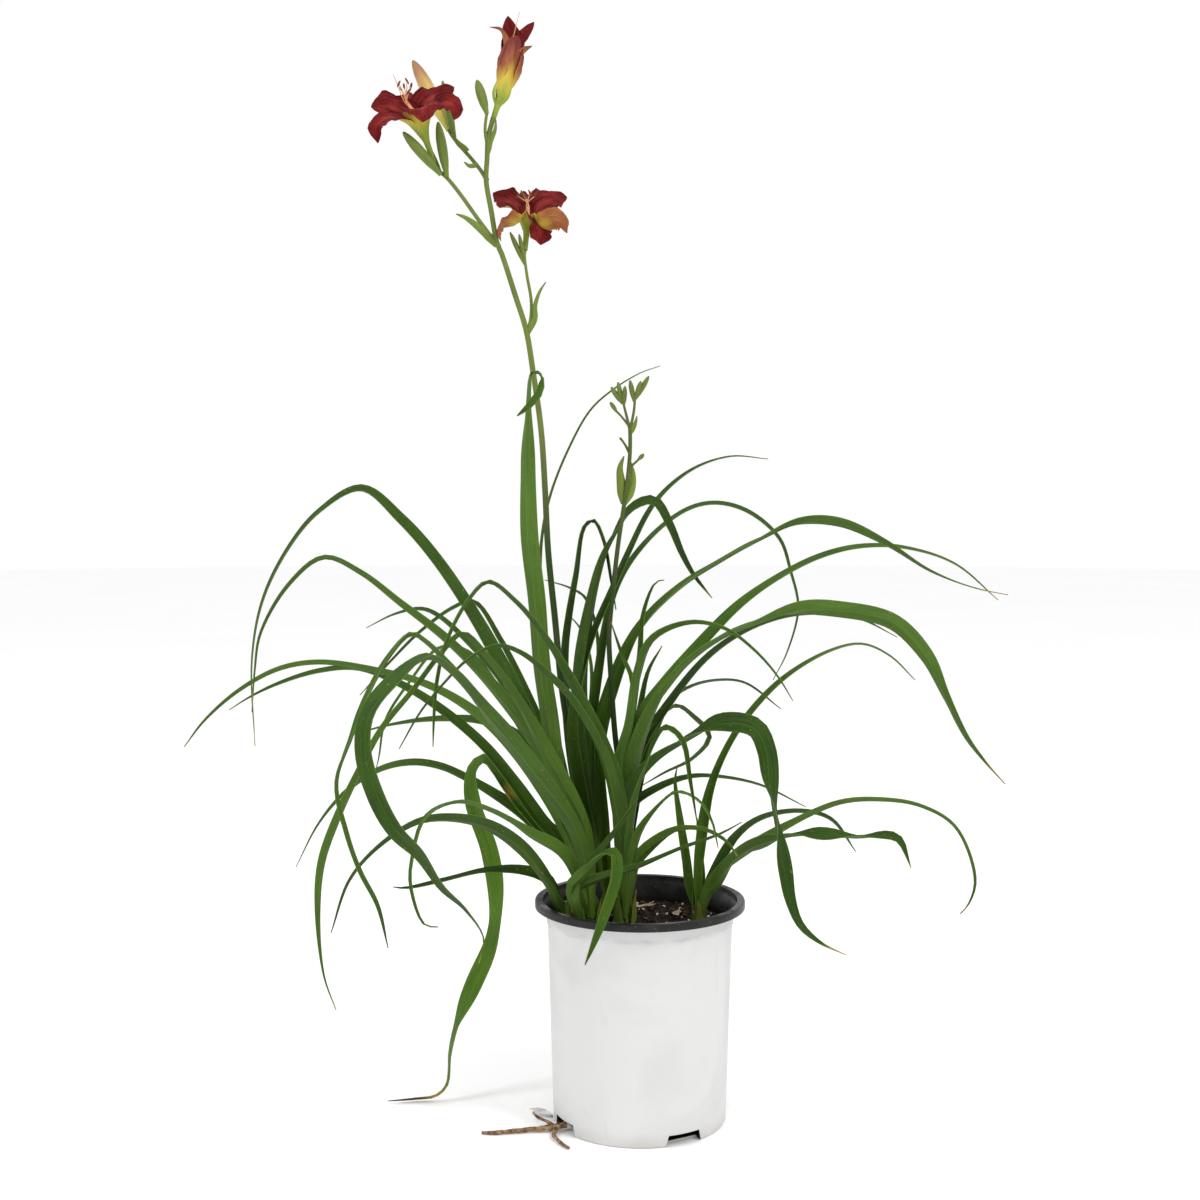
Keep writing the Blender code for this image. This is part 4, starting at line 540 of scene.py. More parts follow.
# Leaves: foot, heading in plan (0 right, 90 away, 180 left, -90 towards the
# eye), full width in mm, face angles from foot to tip (0 and 180 lie flat to the
# eye, 90 is edge-on, above 90 shows the upper side) and the sketch route.
LEAVES: tuple[tuple, ...] = (
    ("fan_left", 162, 13.5, (160, 150, 130, 104, 100),
     ((-6.0, 28.0), (-9.0, 34.6), (-12.3, 41.9), (-15.8, 48.6), (-20.4, 55.6), (-24.0, 59.7),
      (-27.8, 62.7), (-32.0, 60.5), (-35.0, 57.0), (-37.7, 51.6), (-38.8, 45.6), (-38.5, 37.0))),
    ("fan_left", 190, 14.0, (20, 35, 55, 78, 74),
     ((-6.2, 28.0), (-9.5, 35.9), (-14.5, 42.6), (-19.3, 47.5), (-24.0, 51.2), (-28.0, 54.3),
      (-31.6, 55.8), (-35.0, 53.2), (-37.9, 48.3), (-38.5, 44.6), (-38.8, 40.4))),
    ("fan_left", 184, 13.0, (25, 45, 60, 66, 60),
     ((-7.0, 27.5), (-10.0, 33.1), (-14.0, 38.1), (-18.0, 41.3), (-22.0, 43.3), (-26.0, 44.4),
      (-32.0, 45.3), (-36.0, 44.7), (-40.0, 42.6), (-43.5, 39.6), (-45.6, 36.9))),
    ("fan_left", 176, 12.5, (150, 140, 125, 118, 115),
     ((-7.0, 27.0), (-9.5, 29.1), (-12.5, 33.1), (-15.5, 36.8), (-19.0, 39.9), (-23.0, 42.6),
      (-28.0, 44.7), (-32.0, 44.5), (-36.0, 43.3), (-39.0, 41.9), (-41.1, 40.6))),
    ("fan_left", 147, 11.0, (165, 150, 125, 115),
     ((-6.0, 28.6), (-8.5, 33.6), (-11.5, 37.4), (-15.0, 39.3), (-20.0, 39.7), (-25.0, 39.1),
      (-28.8, 38.1))),
    ("fan_left", 217, 12.0, (15, 30, 60, 80, 105, 60, 40),
     ((-6.5, 28.0), (-10.0, 34.0), (-14.5, 39.1), (-18.0, 43.8), (-21.5, 47.5), (-22.9, 48.2),
      (-25.2, 45.8), (-27.8, 40.8), (-28.8, 38.0), (-30.3, 33.5), (-29.3, 28.4), (-28.0, 24.6),
      (-26.2, 21.0), (-25.2, 16.8))),
    ("fan_left", 232, 15.0, (12, 25, 50, 70, 130, 150, 120, 100),
     ((-6.0, 27.6), (-10.5, 34.4), (-15.5, 40.6), (-19.0, 44.6), (-21.2, 45.9), (-24.5, 43.6),
      (-27.2, 40.1), (-27.6, 36.6), (-26.4, 32.1), (-24.5, 28.6), (-22.0, 26.1), (-19.8, 22.9),
      (-17.3, 20.5), (-15.6, 17.6), (-16.1, 15.3))),
    ("fan_left", 152, 8.0, (165, 150, 115, 125),
     ((-5.6, 29.0), (-8.0, 34.6), (-11.0, 41.6), (-14.0, 47.6), (-16.6, 51.4), (-18.5, 50.9),
      (-22.0, 48.4), (-25.0, 45.4), (-28.0, 42.1))),
    ("fan_left", 137, 9.0, (168, 150, 120, 120),
     ((-5.4, 29.0), (-8.0, 33.1), (-11.0, 38.6), (-14.0, 43.6), (-17.0, 47.1), (-20.0, 49.9),
      (-21.8, 50.7), (-24.5, 50.2), (-27.4, 48.8))),
    ("fan_left", 207, 13.0, (15, 35, 65, 84, 60, 50, 70),
     ((-5.4, 28.4), (-9.5, 36.6), (-12.0, 41.1), (-15.0, 45.4), (-17.8, 48.2), (-19.6, 46.6),
      (-22.8, 42.4), (-25.8, 38.6), (-28.2, 34.1), (-30.2, 29.9), (-31.8, 25.4), (-32.2, 20.6),
      (-31.6, 14.1), (-30.4, 10.6))),
    ("fan_left", 157, 12.0, (155, 140, 122, 112, 108),
     ((-6.6, 27.0), (-10.0, 28.8), (-12.0, 30.4), (-14.2, 31.9), (-17.3, 33.7), (-20.0, 34.9),
      (-22.8, 35.3), (-26.0, 34.6), (-29.5, 32.3), (-32.2, 29.1), (-34.4, 24.9))),
    ("fan_left", 226, 11.0, (18, 40, 80, 110, 120),
     ((-7.4, 26.0), (-11.0, 28.3), (-15.0, 30.6), (-18.5, 31.4), (-21.5, 29.8), (-22.8, 25.4),
      (-22.9, 23.1), (-21.6, 19.2), (-20.2, 18.9))),
    ("fan_left", 170, 15.0, (165, 150, 120, 100, 150, 165, 130, 165, 100, 84, 72),
     ((-7.0, 26.6), (-10.0, 29.1), (-13.5, 33.1), (-14.5, 34.4), (-15.6, 35.6), (-16.6, 34.6),
      (-16.6, 31.4), (-15.0, 26.6), (-14.3, 21.6), (-14.7, 17.6), (-16.6, 13.2), (-18.2, 9.3),
      (-19.0, 6.1), (-19.3, 3.1, 27.0), (-20.4, 2.0, 27.0), (-22.4, 1.7, 28.0),
      (-25.2, 1.5, 24.0))),
    ("fan_left", 142, 9.0, (160, 140, 110, 120),
     ((-5.8, 28.6), (-9.0, 34.0), (-13.0, 40.6), (-17.0, 46.2), (-20.0, 46.8), (-23.0, 43.4),
      (-25.5, 39.4), (-26.1, 35.9), (-26.5, 34.3))),
    ("fan_left", 196, 15.0, (10, 18, 20, 22, 25, 30, 45, 85, 150),
     ((-5.5, 27.6), (-7.7, 30.6), (-8.4, 33.6), (-9.1, 39.6), (-9.9, 45.1), (-10.4, 51.6),
      (-11.1, 57.6), (-11.3, 64.6), (-11.2, 71.6), (-10.8, 74.3, -24.0), (-9.9, 74.1, -30.0),
      (-9.9, 72.6, -34.0), (-10.9, 71.2, -35.0), (-12.3, 70.0, -35.0))),
    ("fan_centre", 152, 11.0, (150, 140, 130, 115, 140),
     ((-5.2, 28.6), (-6.6, 34.6), (-7.5, 41.6), (-7.6, 46.6), (-7.2, 50.1), (-6.5, 54.1),
      (-5.6, 59.0), (-4.6, 59.6), (-3.6, 57.6), (-2.8, 53.1), (-2.4, 50.6))),
    ("fan_centre", 16, 15.0, (12, 25, 40, 60, 130, 140),
     ((-4.4, 28.6), (-5.2, 34.6), (-5.9, 42.6), (-5.5, 47.6), (-3.7, 55.6), (-2.3, 58.6),
      (-0.6, 60.9), (1.4, 61.5), (3.0, 59.0), (4.1, 56.4), (5.3, 54.2), (7.2, 51.8))),
    ("fan_centre", 30, 11.0, (150, 140, 125, 110, 110),
     ((-5.0, 29.0), (-6.4, 36.0), (-6.6, 40.0), (-5.0, 47.1), (-2.5, 53.1), (-1.2, 56.1),
      (1.5, 61.3), (5.0, 64.5), (9.0, 65.95), (12.8, 65.7))),
    ("fan_centre", 40, 9.5, (155, 140, 120, 110, 125, 115),
     ((-4.6, 29.0), (-4.9, 37.6), (-4.2, 43.6), (-2.4, 52.6), (0.5, 57.2), (4.5, 60.5),
      (7.6, 61.25), (11.0, 60.3), (14.0, 57.6), (15.0, 54.6), (15.8, 50.8), (14.7, 46.4),
      (13.3, 43.6))),
    ("fan_centre", 150, 7.0, (150, 130, 110, 100),
     ((-6.4, 30.0), (-8.8, 40.0), (-10.0, 50.0), (-9.9, 57.6), (-9.0, 62.1), (-7.0, 67.1),
      (-5.0, 70.6), (-2.8, 72.6), (0.0, 74.3), (2.0, 75.0))),
    ("fan_centre", 130, 6.0, (150, 120, 120),
     ((-5.0, 30.0), (-4.6, 40.0), (-4.3, 48.0), (-5.4, 51.7), (-7.0, 52.8), (-9.5, 53.6))),
    ("fan_centre", 112, 6.0, (150, 130, 120),
     ((-5.4, 30.0), (-5.2, 38.0), (-4.9, 45.0), (-5.8, 48.4), (-7.2, 50.2))),
    ("fan_right", 208, 13.0, (15, 30, 50, 80, 76, 70),
     ((-1.6, 27.6), (-2.0, 31.6), (-4.0, 37.6), (-6.5, 42.6), (-9.9, 48.4), (-12.5, 51.5),
      (-15.2, 53.4), (-17.2, 51.5), (-19.3, 47.4), (-20.3, 43.2), (-20.6, 39.6), (-20.7, 36.9))),
    ("fan_right", 217, 11.0, (15, 35, 65, 76, 64),
     ((-2.0, 28.6), (-3.5, 35.6), (-6.5, 41.1), (-9.2, 44.1), (-12.0, 46.3), (-14.3, 47.0),
      (-17.0, 45.8), (-20.0, 42.8), (-22.0, 40.3), (-24.1, 36.7))),
    ("fan_centre", 10, 14.5, (165, 155, 135, 116, 92, 40, 70, 100),
     ((-3.6, 28.6), (-4.2, 36.6), (-2.7, 42.8), (0.0, 48.8), (4.0, 52.9), (8.0, 55.5),
      (12.0, 57.7), (16.0, 59.4), (20.0, 59.3), (24.5, 57.3), (29.0, 54.5), (33.5, 52.8),
      (36.8, 52.1))),
    ("fan_right", 25, 13.5, (165, 150, 130, 112, 108, 115),
     ((-2.0, 28.6), (-1.4, 34.0), (0.3, 39.9), (2.7, 43.3), (6.5, 47.6), (10.0, 51.1),
      (14.0, 53.9), (18.0, 55.9), (22.0, 56.9), (26.5, 56.8), (31.5, 55.2), (35.8, 51.6))),
    ("fan_right", -8, 14.5, (15, 30, 55, 74, 88, 30, 12, 60, 75),
     ((-1.6, 27.6), (-0.6, 35.6), (1.5, 41.1), (4.5, 45.1), (8.0, 47.8), (12.0, 49.5),
      (16.0, 50.7), (20.0, 50.6), (25.3, 49.4), (28.6, 46.1), (30.5, 42.1), (32.6, 37.9),
      (34.5, 35.4), (36.5, 33.2))),
    ("fan_right", 34, 10.0, (160, 145, 125, 112, 110),
     ((-1.6, 30.0), (0.0, 36.6), (3.0, 41.3), (6.5, 45.6), (10.0, 48.2), (14.0, 49.8),
      (18.0, 50.25), (22.0, 49.7), (25.7, 47.9))),
    ("fan_right", -31, 12.0, (15, 30, 55, 72, 70),
     ((-2.0, 28.6), (-1.9, 35.6), (-1.0, 39.1), (-0.2, 44.1), (1.2, 47.6), (5.0, 49.3),
      (8.5, 48.7), (11.5, 46.5), (13.8, 43.9), (15.3, 41.5))),
    ("fan_right", 58, 9.0, (165, 150, 140),
     ((-1.0, 29.6), (-0.6, 36.0), (0.1, 41.1), (0.8, 44.4), (2.2, 47.0))),
    ("fan_right", 48, 8.0, (165, 155, 140),
     ((-1.4, 30.0), (-1.0, 38.0), (0.0, 46.0), (0.3, 50.1), (1.5, 53.3), (2.4, 53.6))),
    ("fan_right", 45, 8.0, (155, 130, 112, 115),
     ((-0.8, 29.0), (0.6, 35.6), (3.2, 41.6), (5.0, 42.9), (7.5, 43.55), (10.5, 43.3),
      (14.1, 40.7))),
    ("fan_right", 40, 10.0, (155, 130, 100, 60, 50),
     ((-1.5, 28.6), (-0.5, 34.6), (1.0, 38.6), (3.5, 41.0), (5.2, 40.0), (6.9, 37.9),
      (5.2, 35.8), (2.5, 34.4), (0.3, 33.1))),
    ("fan_right", -24, 16.0, (15, 35, 60, 76, 95, 170, 165, 92, 150, 130, 100),
     ((-1.5, 28.6), (-0.8, 32.6), (1.5, 35.6), (4.8, 37.8), (8.0, 39.3), (11.5, 38.8),
      (12.6, 36.6), (13.0, 33.6), (13.6, 29.6), (14.5, 24.6), (15.0, 21.6), (16.0, 19.1),
      (18.0, 17.3), (20.6, 16.1))),
    ("fan_right", -50, 8.5, (20, 60, 130, 140),
     ((-0.9, 29.0), (0.4, 34.6), (2.4, 38.8), (4.2, 37.6), (5.0, 33.6), (5.7, 29.4))),
    ("fan_right", -44, 9.0, (15, 45, 100, 120),
     ((-0.4, 27.6), (1.0, 30.0), (3.6, 32.4), (6.0, 31.4), (7.2, 29.4), (7.8, 26.8))),
    ("fan_right", -38, 11.5, (15, 30, 62, 60),
     ((-0.6, 25.4), (0.0, 26.0), (1.0, 27.0), (3.5, 28.6), (6.5, 28.6), (8.7, 27.4),
      (9.7, 26.0))),
    ("fan_right", 20, 9.0, (160, 130, 112, 110),
     ((-1.2, 29.0), (-0.8, 31.0), (2.0, 32.9), (5.0, 33.9), (8.0, 33.9), (12.0, 33.1),
      (16.6, 30.9))),
    ("fan_right", 140, 8.0, (160, 150, 140),
     ((-1.8, 30.0), (-1.0, 38.0), (-0.8, 43.6), (-1.8, 46.1), (-2.9, 49.4))),
    ("offset_left", 193, 12.0, (20, 40, 60, 66, 70),
     ((-9.4, 23.8), (-12.0, 26.9), (-15.0, 28.9), (-18.5, 29.7), (-22.0, 29.4), (-26.0, 27.0),
      (-29.0, 23.6), (-30.9, 18.3))),
    ("offset_left", 178, 10.0, (165, 140, 110, 125),
     ((-9.3, 23.7), (-11.5, 24.5), (-15.5, 24.5), (-19.5, 23.6), (-23.5, 22.8), (-24.7, 22.9))),
    ("offset_left", 215, 8.0, (10, 20, 30),
     ((-8.6, 22.0), (-9.1, 23.2), (-9.8, 24.4))),
    ("offset_right", 14, 10.5, (150, 120, 108, 112),
     ((5.8, 23.6), (6.1, 27.1), (7.1, 32.6), (8.7, 36.6), (11.0, 40.2), (14.5, 43.8),
      (19.0, 46.5), (22.2, 47.2), (25.0, 46.0), (27.5, 43.6))),
    ("offset_right", -10, 10.0, (30, 60, 76, 66, 60),
     ((6.6, 22.6), (8.0, 24.6), (11.0, 26.8), (15.0, 29.1), (20.0, 31.3), (24.0, 31.6),
      (28.0, 31.0), (31.5, 28.9), (33.5, 23.6), (32.8, 21.1), (32.0, 20.2))),
    ("offset_right", -25, 12.0, (30, 50, 80, 30, 88, 150, 95, 140, 110),
     ((6.8, 22.4), (7.5, 23.1), (9.0, 25.4), (10.5, 26.6), (14.5, 28.0), (17.5, 28.2),
      (21.5, 27.9), (25.7, 27.8), (26.8, 25.6), (27.1, 24.8))),
    ("offset_right", 38, 9.5, (150, 130, 112, 120),
     ((6.9, 23.4), (7.5, 24.6), (9.5, 27.8), (12.0, 29.7), (16.0, 30.45), (19.2, 29.6),
      (21.6, 26.4))),
    ("offset_right", 150, 8.0, (150, 150, 140),
     ((5.0, 22.6), (4.6, 25.6), (3.9, 30.1), (3.5, 33.6), (3.7, 34.8))),
    ("offset_right", 60, 7.0, (150, 140, 140),
     ((6.2, 23.6), (6.1, 25.6), (5.9, 27.6), (5.7, 29.8))),
    ("shoot_front", -80, 10.0, (20, 40, 80, 150, 160, 140),
     ((-6.9, 22.8, -42.0), (-6.0, 23.9, -50.0), (-5.0, 25.0, -62.0), (-3.6, 26.3, -78.0),
      (-2.5, 26.2, -90.0), (-2.4, 24.1, -95.0), (-3.4, 20.6, -97.0), (-4.5, 17.6, -97.0),
      (-5.5, 15.1, -95.0))),
    ("shoot_front", -20, 8.5, (30, 40, 50),
     ((-6.3, 22.6), (-5.0, 25.1), (-3.5, 27.1), (-2.0, 29.1), (-0.3, 31.6))),
    ("shoot_front", -4, 8.5, (25, 50, 70, 70),
     ((-6.6, 22.4), (-4.4, 23.7), (-2.0, 24.4), (0.0, 25.0), (4.0, 26.7), (8.0, 28.2), (10.2, 29.4))),
    ("shoot_front", 240, 8.0, (20, 30, 40),
     ((-6.5, 21.8), (-6.3, 22.8), (-6.1, 23.9))),
)

# Leaves that taper later than the rest: the power of the taper, by foot and heading.
TAPERS: dict[tuple[str, float], float] = {
    ("fan_left", 196): 14.0, ("fan_left", 170): 7.0, ("fan_right", -8): 5.5, ("fan_right", -24): 5.5,
    ("fan_left", 232): 5.0, ("fan_left", 217): 4.2, ("fan_right", 208): 4.2,
    ("fan_centre", 16): 4.5, ("offset_right", -25): 7.0, ("shoot_front", -80): 5.0,
}

# Flower stems and their side twigs: radius at the foot and at the end in mm,
# depth behind the pot's axis in mm at the foot and the end, sketch route, and
# the bloom or bud that the end bears.
TALL_STEM: tuple = (
    3.0, 1.9, 43.0, 44.0,
    ((-5.0, 25.6), (-6.5, 34.6), (-7.8, 42.6), (-8.5, 49.6), (-9.2, 56.6), (-9.5, 62.6),
     (-9.9, 68.6), (-10.7, 74.4), (-11.4, 78.6), (-12.5, 82.1), (-13.8, 86.1), (-14.3, 87.3),
     (-14.9, 90.6), (-15.4, 93.6), (-15.3, 95.6), (-15.2, 97.8)), "bloom_top")

TALL_TWIGS: tuple[tuple, ...] = (
    (1.7, 1.5, 43.5, 42.5, ((-14.1, 86.9), (-16.0, 89.4), (-18.0, 92.2), (-19.3, 93.8)),
     "bloom_left"),
    (1.6, 1.4, 44.0, 64.0, ((-15.3, 93.6), (-16.1, 94.8), (-17.0, 95.9), (-17.8, 96.8)), "bud_large"),
    (1.4, 1.1, 43.5, 48.0, ((-11.3, 78.0), (-10.9, 80.0), (-10.9, 81.7), (-11.3, 84.0)), "bloom_low"),
    (1.3, 1.1, 44.0, 40.5, ((-15.25, 96.9), (-15.5, 98.6), (-15.3, 100.5)), None),
)

# Bracts: width in mm, depth in mm at foot and tip, sketch route.
TALL_BRACTS: tuple[tuple, ...] = (
    (7.0, 43.8, 36.0, ((-14.3, 87.0), (-15.5, 88.3), (-17.4, 89.8), (-18.4, 90.2))),
    (5.0, 44.0, 40.0, ((-15.3, 96.0), (-15.0, 97.4), (-14.5, 98.6), (-14.4, 99.6))),
    (4.5, 43.8, 38.0, ((-11.2, 78.2), (-10.5, 79.8), (-10.5, 81.0), (-10.0, 82.5), (-9.4, 83.4))),
    (5.0, 57.0, 60.0, ((-17.2, 96.5), (-18.1, 97.2), (-18.9, 98.2))),
    (4.0, 50.0, 46.0, ((-16.2, 95.2), (-17.0, 95.0), (-17.6, 95.4))),
)

# Green buds: thickness in mm, depth in mm at foot and tip, foot and tip on the sketch.
TALL_BUDS: tuple[tuple, ...] = (
    (8.4, 39.5, 29.0, (-19.9, 94.1), (-23.7, 98.4)),
    (8.0, 41.0, 38.0, (-19.3, 93.9), (-20.2, 99.4)),
    (3.6, 44.0, 52.0, (-19.8, 94.1), (-21.1, 96.9)),
    (7.8, 40.5, 39.0, (-15.3, 100.2), (-16.3, 103.6)),
    (4.2, 49.0, 47.0, (-11.4, 84.9), (-13.0, 88.4)),
    (3.6, 49.2, 44.5, (-11.45, 85.2), (-12.1, 88.2)),
    (6.4, 69.5, 73.0, (-18.5, 97.8), (-19.75, 103.5)),
)

# The large coloured bud, in the order of the green ones.
LARGE_BUD: tuple = (12.0, 75.0, 86.0, (-19.1, 98.6), (-22.7, 105.5))

YOUNG_STEM: tuple = (
    2.8, 1.5, 30.0, 20.0,
    ((-1.6, 25.6), (-1.8, 30.6), (-2.0, 34.1), (-2.5, 38.1), (-2.9, 43.6), (-3.1, 48.1),
     (-2.7, 52.6), (-2.2, 57.1), (-1.6, 61.1), (-1.2, 64.1), (-1.0, 66.6), (-1.0, 69.1)), None)

YOUNG_TWIGS: tuple[tuple, ...] = (
    (1.2, 0.9, 20.0, 21.0, ((-1.0, 68.6), (-1.5, 70.6), (-1.8, 71.8)), None),
    (1.2, 0.9, 20.0, 17.0, ((-1.0, 68.6), (-0.6, 70.6), (-0.5, 72.2)), None),
    (1.0, 0.8, 22.5, 20.0, ((-1.1, 64.8), (-0.4, 65.4), (0.0, 65.8)), None),
    (1.0, 0.8, 22.0, 25.0, ((-1.1, 66.4), (-1.6, 67.3), (-2.0, 67.8)), None),
    (0.9, 0.8, 20.0, 24.0, ((-1.1, 69.0), (-1.9, 70.0), (-2.5, 70.6)), None),
)

YOUNG_BRACTS: tuple[tuple, ...] = (
    (8.5, 23.5, 19.0, ((-1.6, 61.2), (-1.9, 63.4), (-2.0, 64.8), (-1.6, 66.0))),
    (7.0, 23.8, 28.0, ((-1.6, 61.2), (-0.9, 62.6), (-0.7, 64.0), (-1.0, 65.6))),
    (4.0, 20.2, 15.0, ((-1.0, 68.2), (-0.5, 69.2), (-0.3, 70.0))),
)

YOUNG_BUDS: tuple[tuple, ...] = (
    (4.2, 20.8, 22.5, (-1.75, 71.2), (-2.9, 72.9)),
    (4.0, 20.9, 20.0, (-1.8, 71.4), (-2.2, 73.4)),
    (4.0, 20.6, 18.0, (-1.6, 71.0), (-1.5, 73.0)),
    (4.2, 17.5, 16.5, (-0.6, 71.4), (-1.0, 73.6)),
    (4.0, 17.2, 14.0, (-0.5, 71.6), (0.1, 73.5)),
    (4.2, 17.4, 17.0, (-0.5, 71.6), (0.9, 74.0)),
    (3.4, 23.5, 25.0, (-2.3, 70.4), (-3.0, 71.4)),
    (3.4, 20.5, 19.5, (-0.2, 65.6), (0.4, 66.2)),
)

# Roots out of the drain notch at the left front: radius in mm at both ends, route in mm.
ROOTS: tuple[tuple, ...] = (
    (2.4, 1.2, ((-57.8, -32.0, 4.6), (-64.0, -34.2, 4.4), (-74.0, -35.0, 3.2),
                (-86.0, -36.5, 2.6), (-99.0, -38.0, 2.2), (-111.0, -40.5, 1.9), (-123.0, -40.0, 1.6))),
    (2.0, 1.1, ((-62.0, -33.0, 4.6), (-66.0, -40.0, 3.8), (-66.5, -50.0, 2.8), (-62.0, -60.0, 2.2),
                (-55.0, -70.0, 1.6))),
    (1.5, 0.9, ((-66.0, -34.0, 4.4), (-73.0, -31.0, 7.0), (-80.0, -28.0, 9.5), (-84.0, -27.0, 13.0))),
)

# Blooms: foot and throat on the sketch with their depth in mm, how far the edges
# wave in mm, how far they close round the stamens, and the petals and sepals of
# each: kind, full width in mm, turn about the midline in degrees at the middle
# and the tip, and the route.
BLOOMS: dict[str, tuple] = {
    "bloom_left": ((-20.6, 95.4, 42.0), (-22.1, 99.5, 36.0), 2.4, 0.1, (
        ("petal", 27.0, -35.0, -50.0, ((-23.7, 100.4, 38.0), (-25.2, 101.0, 38.0), (-26.9, 100.9, 35.0))),
        ("petal", 27.0, 30.0, 40.0, ((-21.4, 101.3, 46.0), (-20.0, 102.1, 52.0), (-18.6, 102.9, 54.0))),
        ("petal", 28.0, 0.0, 0.0, ((-22.0, 100.5, 24.0), (-21.8, 100.8, 13.0), (-21.7, 99.4, 5.0))),
        ("sepal", 15.0, -40.0, -60.0,
         ((-23.7, 99.5, 27.0), (-25.1, 99.9, 21.0), (-26.4, 99.0, 18.0), (-26.2, 97.3, 19.0))),
        ("sepal", 19.0, 35.0, 45.0,
         ((-20.8, 100.5, 28.0), (-19.5, 101.3, 21.0), (-18.4, 100.7, 17.0), (-18.6, 99.6, 17.0))),
        ("sepal", 13.0, 0.0, 0.0, ((-22.8, 101.0, 50.0), (-23.0, 101.8, 58.0), (-23.3, 102.4, 68.0))),
    )),
    "bloom_low": ((-11.5, 86.6, 50.0), (-11.2, 89.9, 62.0), 2.4, 0.1, (
        ("petal", 26.0, -50.0, -60.0, ((-12.3, 90.9, 74.0), (-13.6, 91.8, 84.0), (-14.7, 92.3, 88.0))),
        ("petal", 26.0, 50.0, 60.0, ((-10.1, 91.0, 76.0), (-8.6, 91.7, 86.0), (-7.3, 91.9, 91.0))),
        ("petal", 24.0, 0.0, 0.0, ((-10.6, 89.6, 53.0), (-10.0, 88.6, 49.0), (-9.9, 87.1, 50.0))),
        ("sepal", 13.0, 0.0, 0.0, ((-11.4, 90.9, 78.0), (-11.6, 91.7, 90.0), (-11.6, 92.5, 99.0))),
        ("sepal", 19.0, -35.0, -60.0,
         ((-10.0, 89.1, 51.0), (-8.8, 89.6, 43.0), (-7.8, 89.4, 38.0), (-7.3, 88.3, 38.0))),
        ("sepal", 17.0, 40.0, 70.0,
         ((-12.3, 89.3, 48.0), (-13.3, 89.5, 40.0), (-14.1, 88.7, 34.5), (-13.9, 87.5, 34.5))),
    )),
    "bloom_top": ((-14.65, 99.8, 44.5), (-13.8, 102.4, 44.0), 0.9, 0.5, (
        ("petal", 19.0, 0.0, 0.0, ((-13.5, 104.1, 49.0), (-13.0, 107.0, 51.0), (-13.2, 110.0, 50.0))),
        ("petal", 19.0, 0.0, 0.0, ((-12.6, 104.3, 48.0), (-11.9, 107.2, 49.0), (-10.6, 109.4, 48.0))),
        ("petal", 20.0, 0.0, 0.0, ((-13.1, 104.5, 38.0), (-12.6, 107.0, 36.0), (-12.2, 108.0, 33.0))),
        ("sepal", 11.0, 0.0, 0.0,
         ((-13.95, 104.2, 42.0), (-13.55, 106.6, 41.0), (-13.9, 108.5, 40.0), (-15.0, 108.9, 39.0))),
        ("sepal", 13.0, 0.0, 0.0, ((-12.65, 104.2, 42.0), (-11.5, 106.6, 41.0), (-10.8, 107.0, 39.0))),
        ("sepal", 13.0, 0.0, 0.0, ((-13.2, 104.2, 50.5), (-12.2, 107.0, 53.0), (-11.6, 108.4, 56.0))),
    )),
}

# Stamens: where they leave the throat, where they part, the tips of the six
# filaments and the tip of the style, all on the sketch with their depth in mm.
STAMENS: dict[str, tuple] = {
    "bloom_left": ((-22.2, 99.9, 36.0), (-23.3, 101.2, 36.0),
                   ((-24.1, 103.2, 31.0), (-23.6, 103.0, 38.0), (-23.3, 103.5, 41.0), (-22.9, 103.0, 36.0),
                    (-23.1, 102.5, 30.0), (-23.9, 102.7, 44.0)), (-24.7, 104.2, 35.0)),
    "bloom_low": ((-11.2, 90.1, 63.0), (-11.25, 91.2, 65.0),
                  ((-12.2, 92.0, 66.0), (-11.8, 92.3, 64.0), (-11.0, 92.3, 66.0), (-10.5, 92.0, 64.0),
                   (-11.2, 91.8, 70.0), (-11.5, 92.0, 60.0)), (-10.8, 92.5, 70.0)),
    "bloom_top": ((-13.75, 102.7, 44.0), (-13.2, 105.0, 44.0),
                  ((-13.0, 107.6, 44.0), (-12.7, 107.9, 46.0), (-12.3, 107.7, 43.0), (-12.5, 107.3, 41.5),
                   (-12.9, 107.2, 47.0), (-12.2, 107.4, 45.5)), (-12.05, 110.4, 45.0)),
}

# How deep a leaf folds along its middle rib, for its half width, from foot to tip.
LEAF_FOLD = ((0.0, 1.1), (0.12, 0.8), (0.34, 0.52), (0.7, 0.4), (1.0, 0.25))

# The leaf that is pinched and dry where it bends down, at which share, and how widely.
PINCHED_LEAF = ("fan_left", 170)
PINCH_SHARE = 0.245
PINCH_SPREAD = 0.02

# How full a bud is at shares of its length, and how finely it is modelled.
BUD_OUTLINE = ((0.0, 0.40), (0.1, 0.52), (0.3, 0.86), (0.5, 0.98), (0.68, 0.97), (0.84, 0.76),
               (0.94, 0.5), (1.0, 0.2))
BUD_SIDES = 24
BUD_ROWS = 26

# How many old sheaths clasp each fan's foot.
SHEATHS: dict[str, int] = {
    "fan_left": 4, "fan_centre": 2, "fan_right": 5, "offset_left": 2, "offset_right": 3,
    "shoot_front": 2,
}

# Lumps on the longest root: share of its length and radius in mm.
NODULES: tuple[tuple[float, float], ...] = ((0.3, 2.7), (0.22, 1.9), (0.52, 2.0), (0.63, 2.3), (0.86, 1.8))

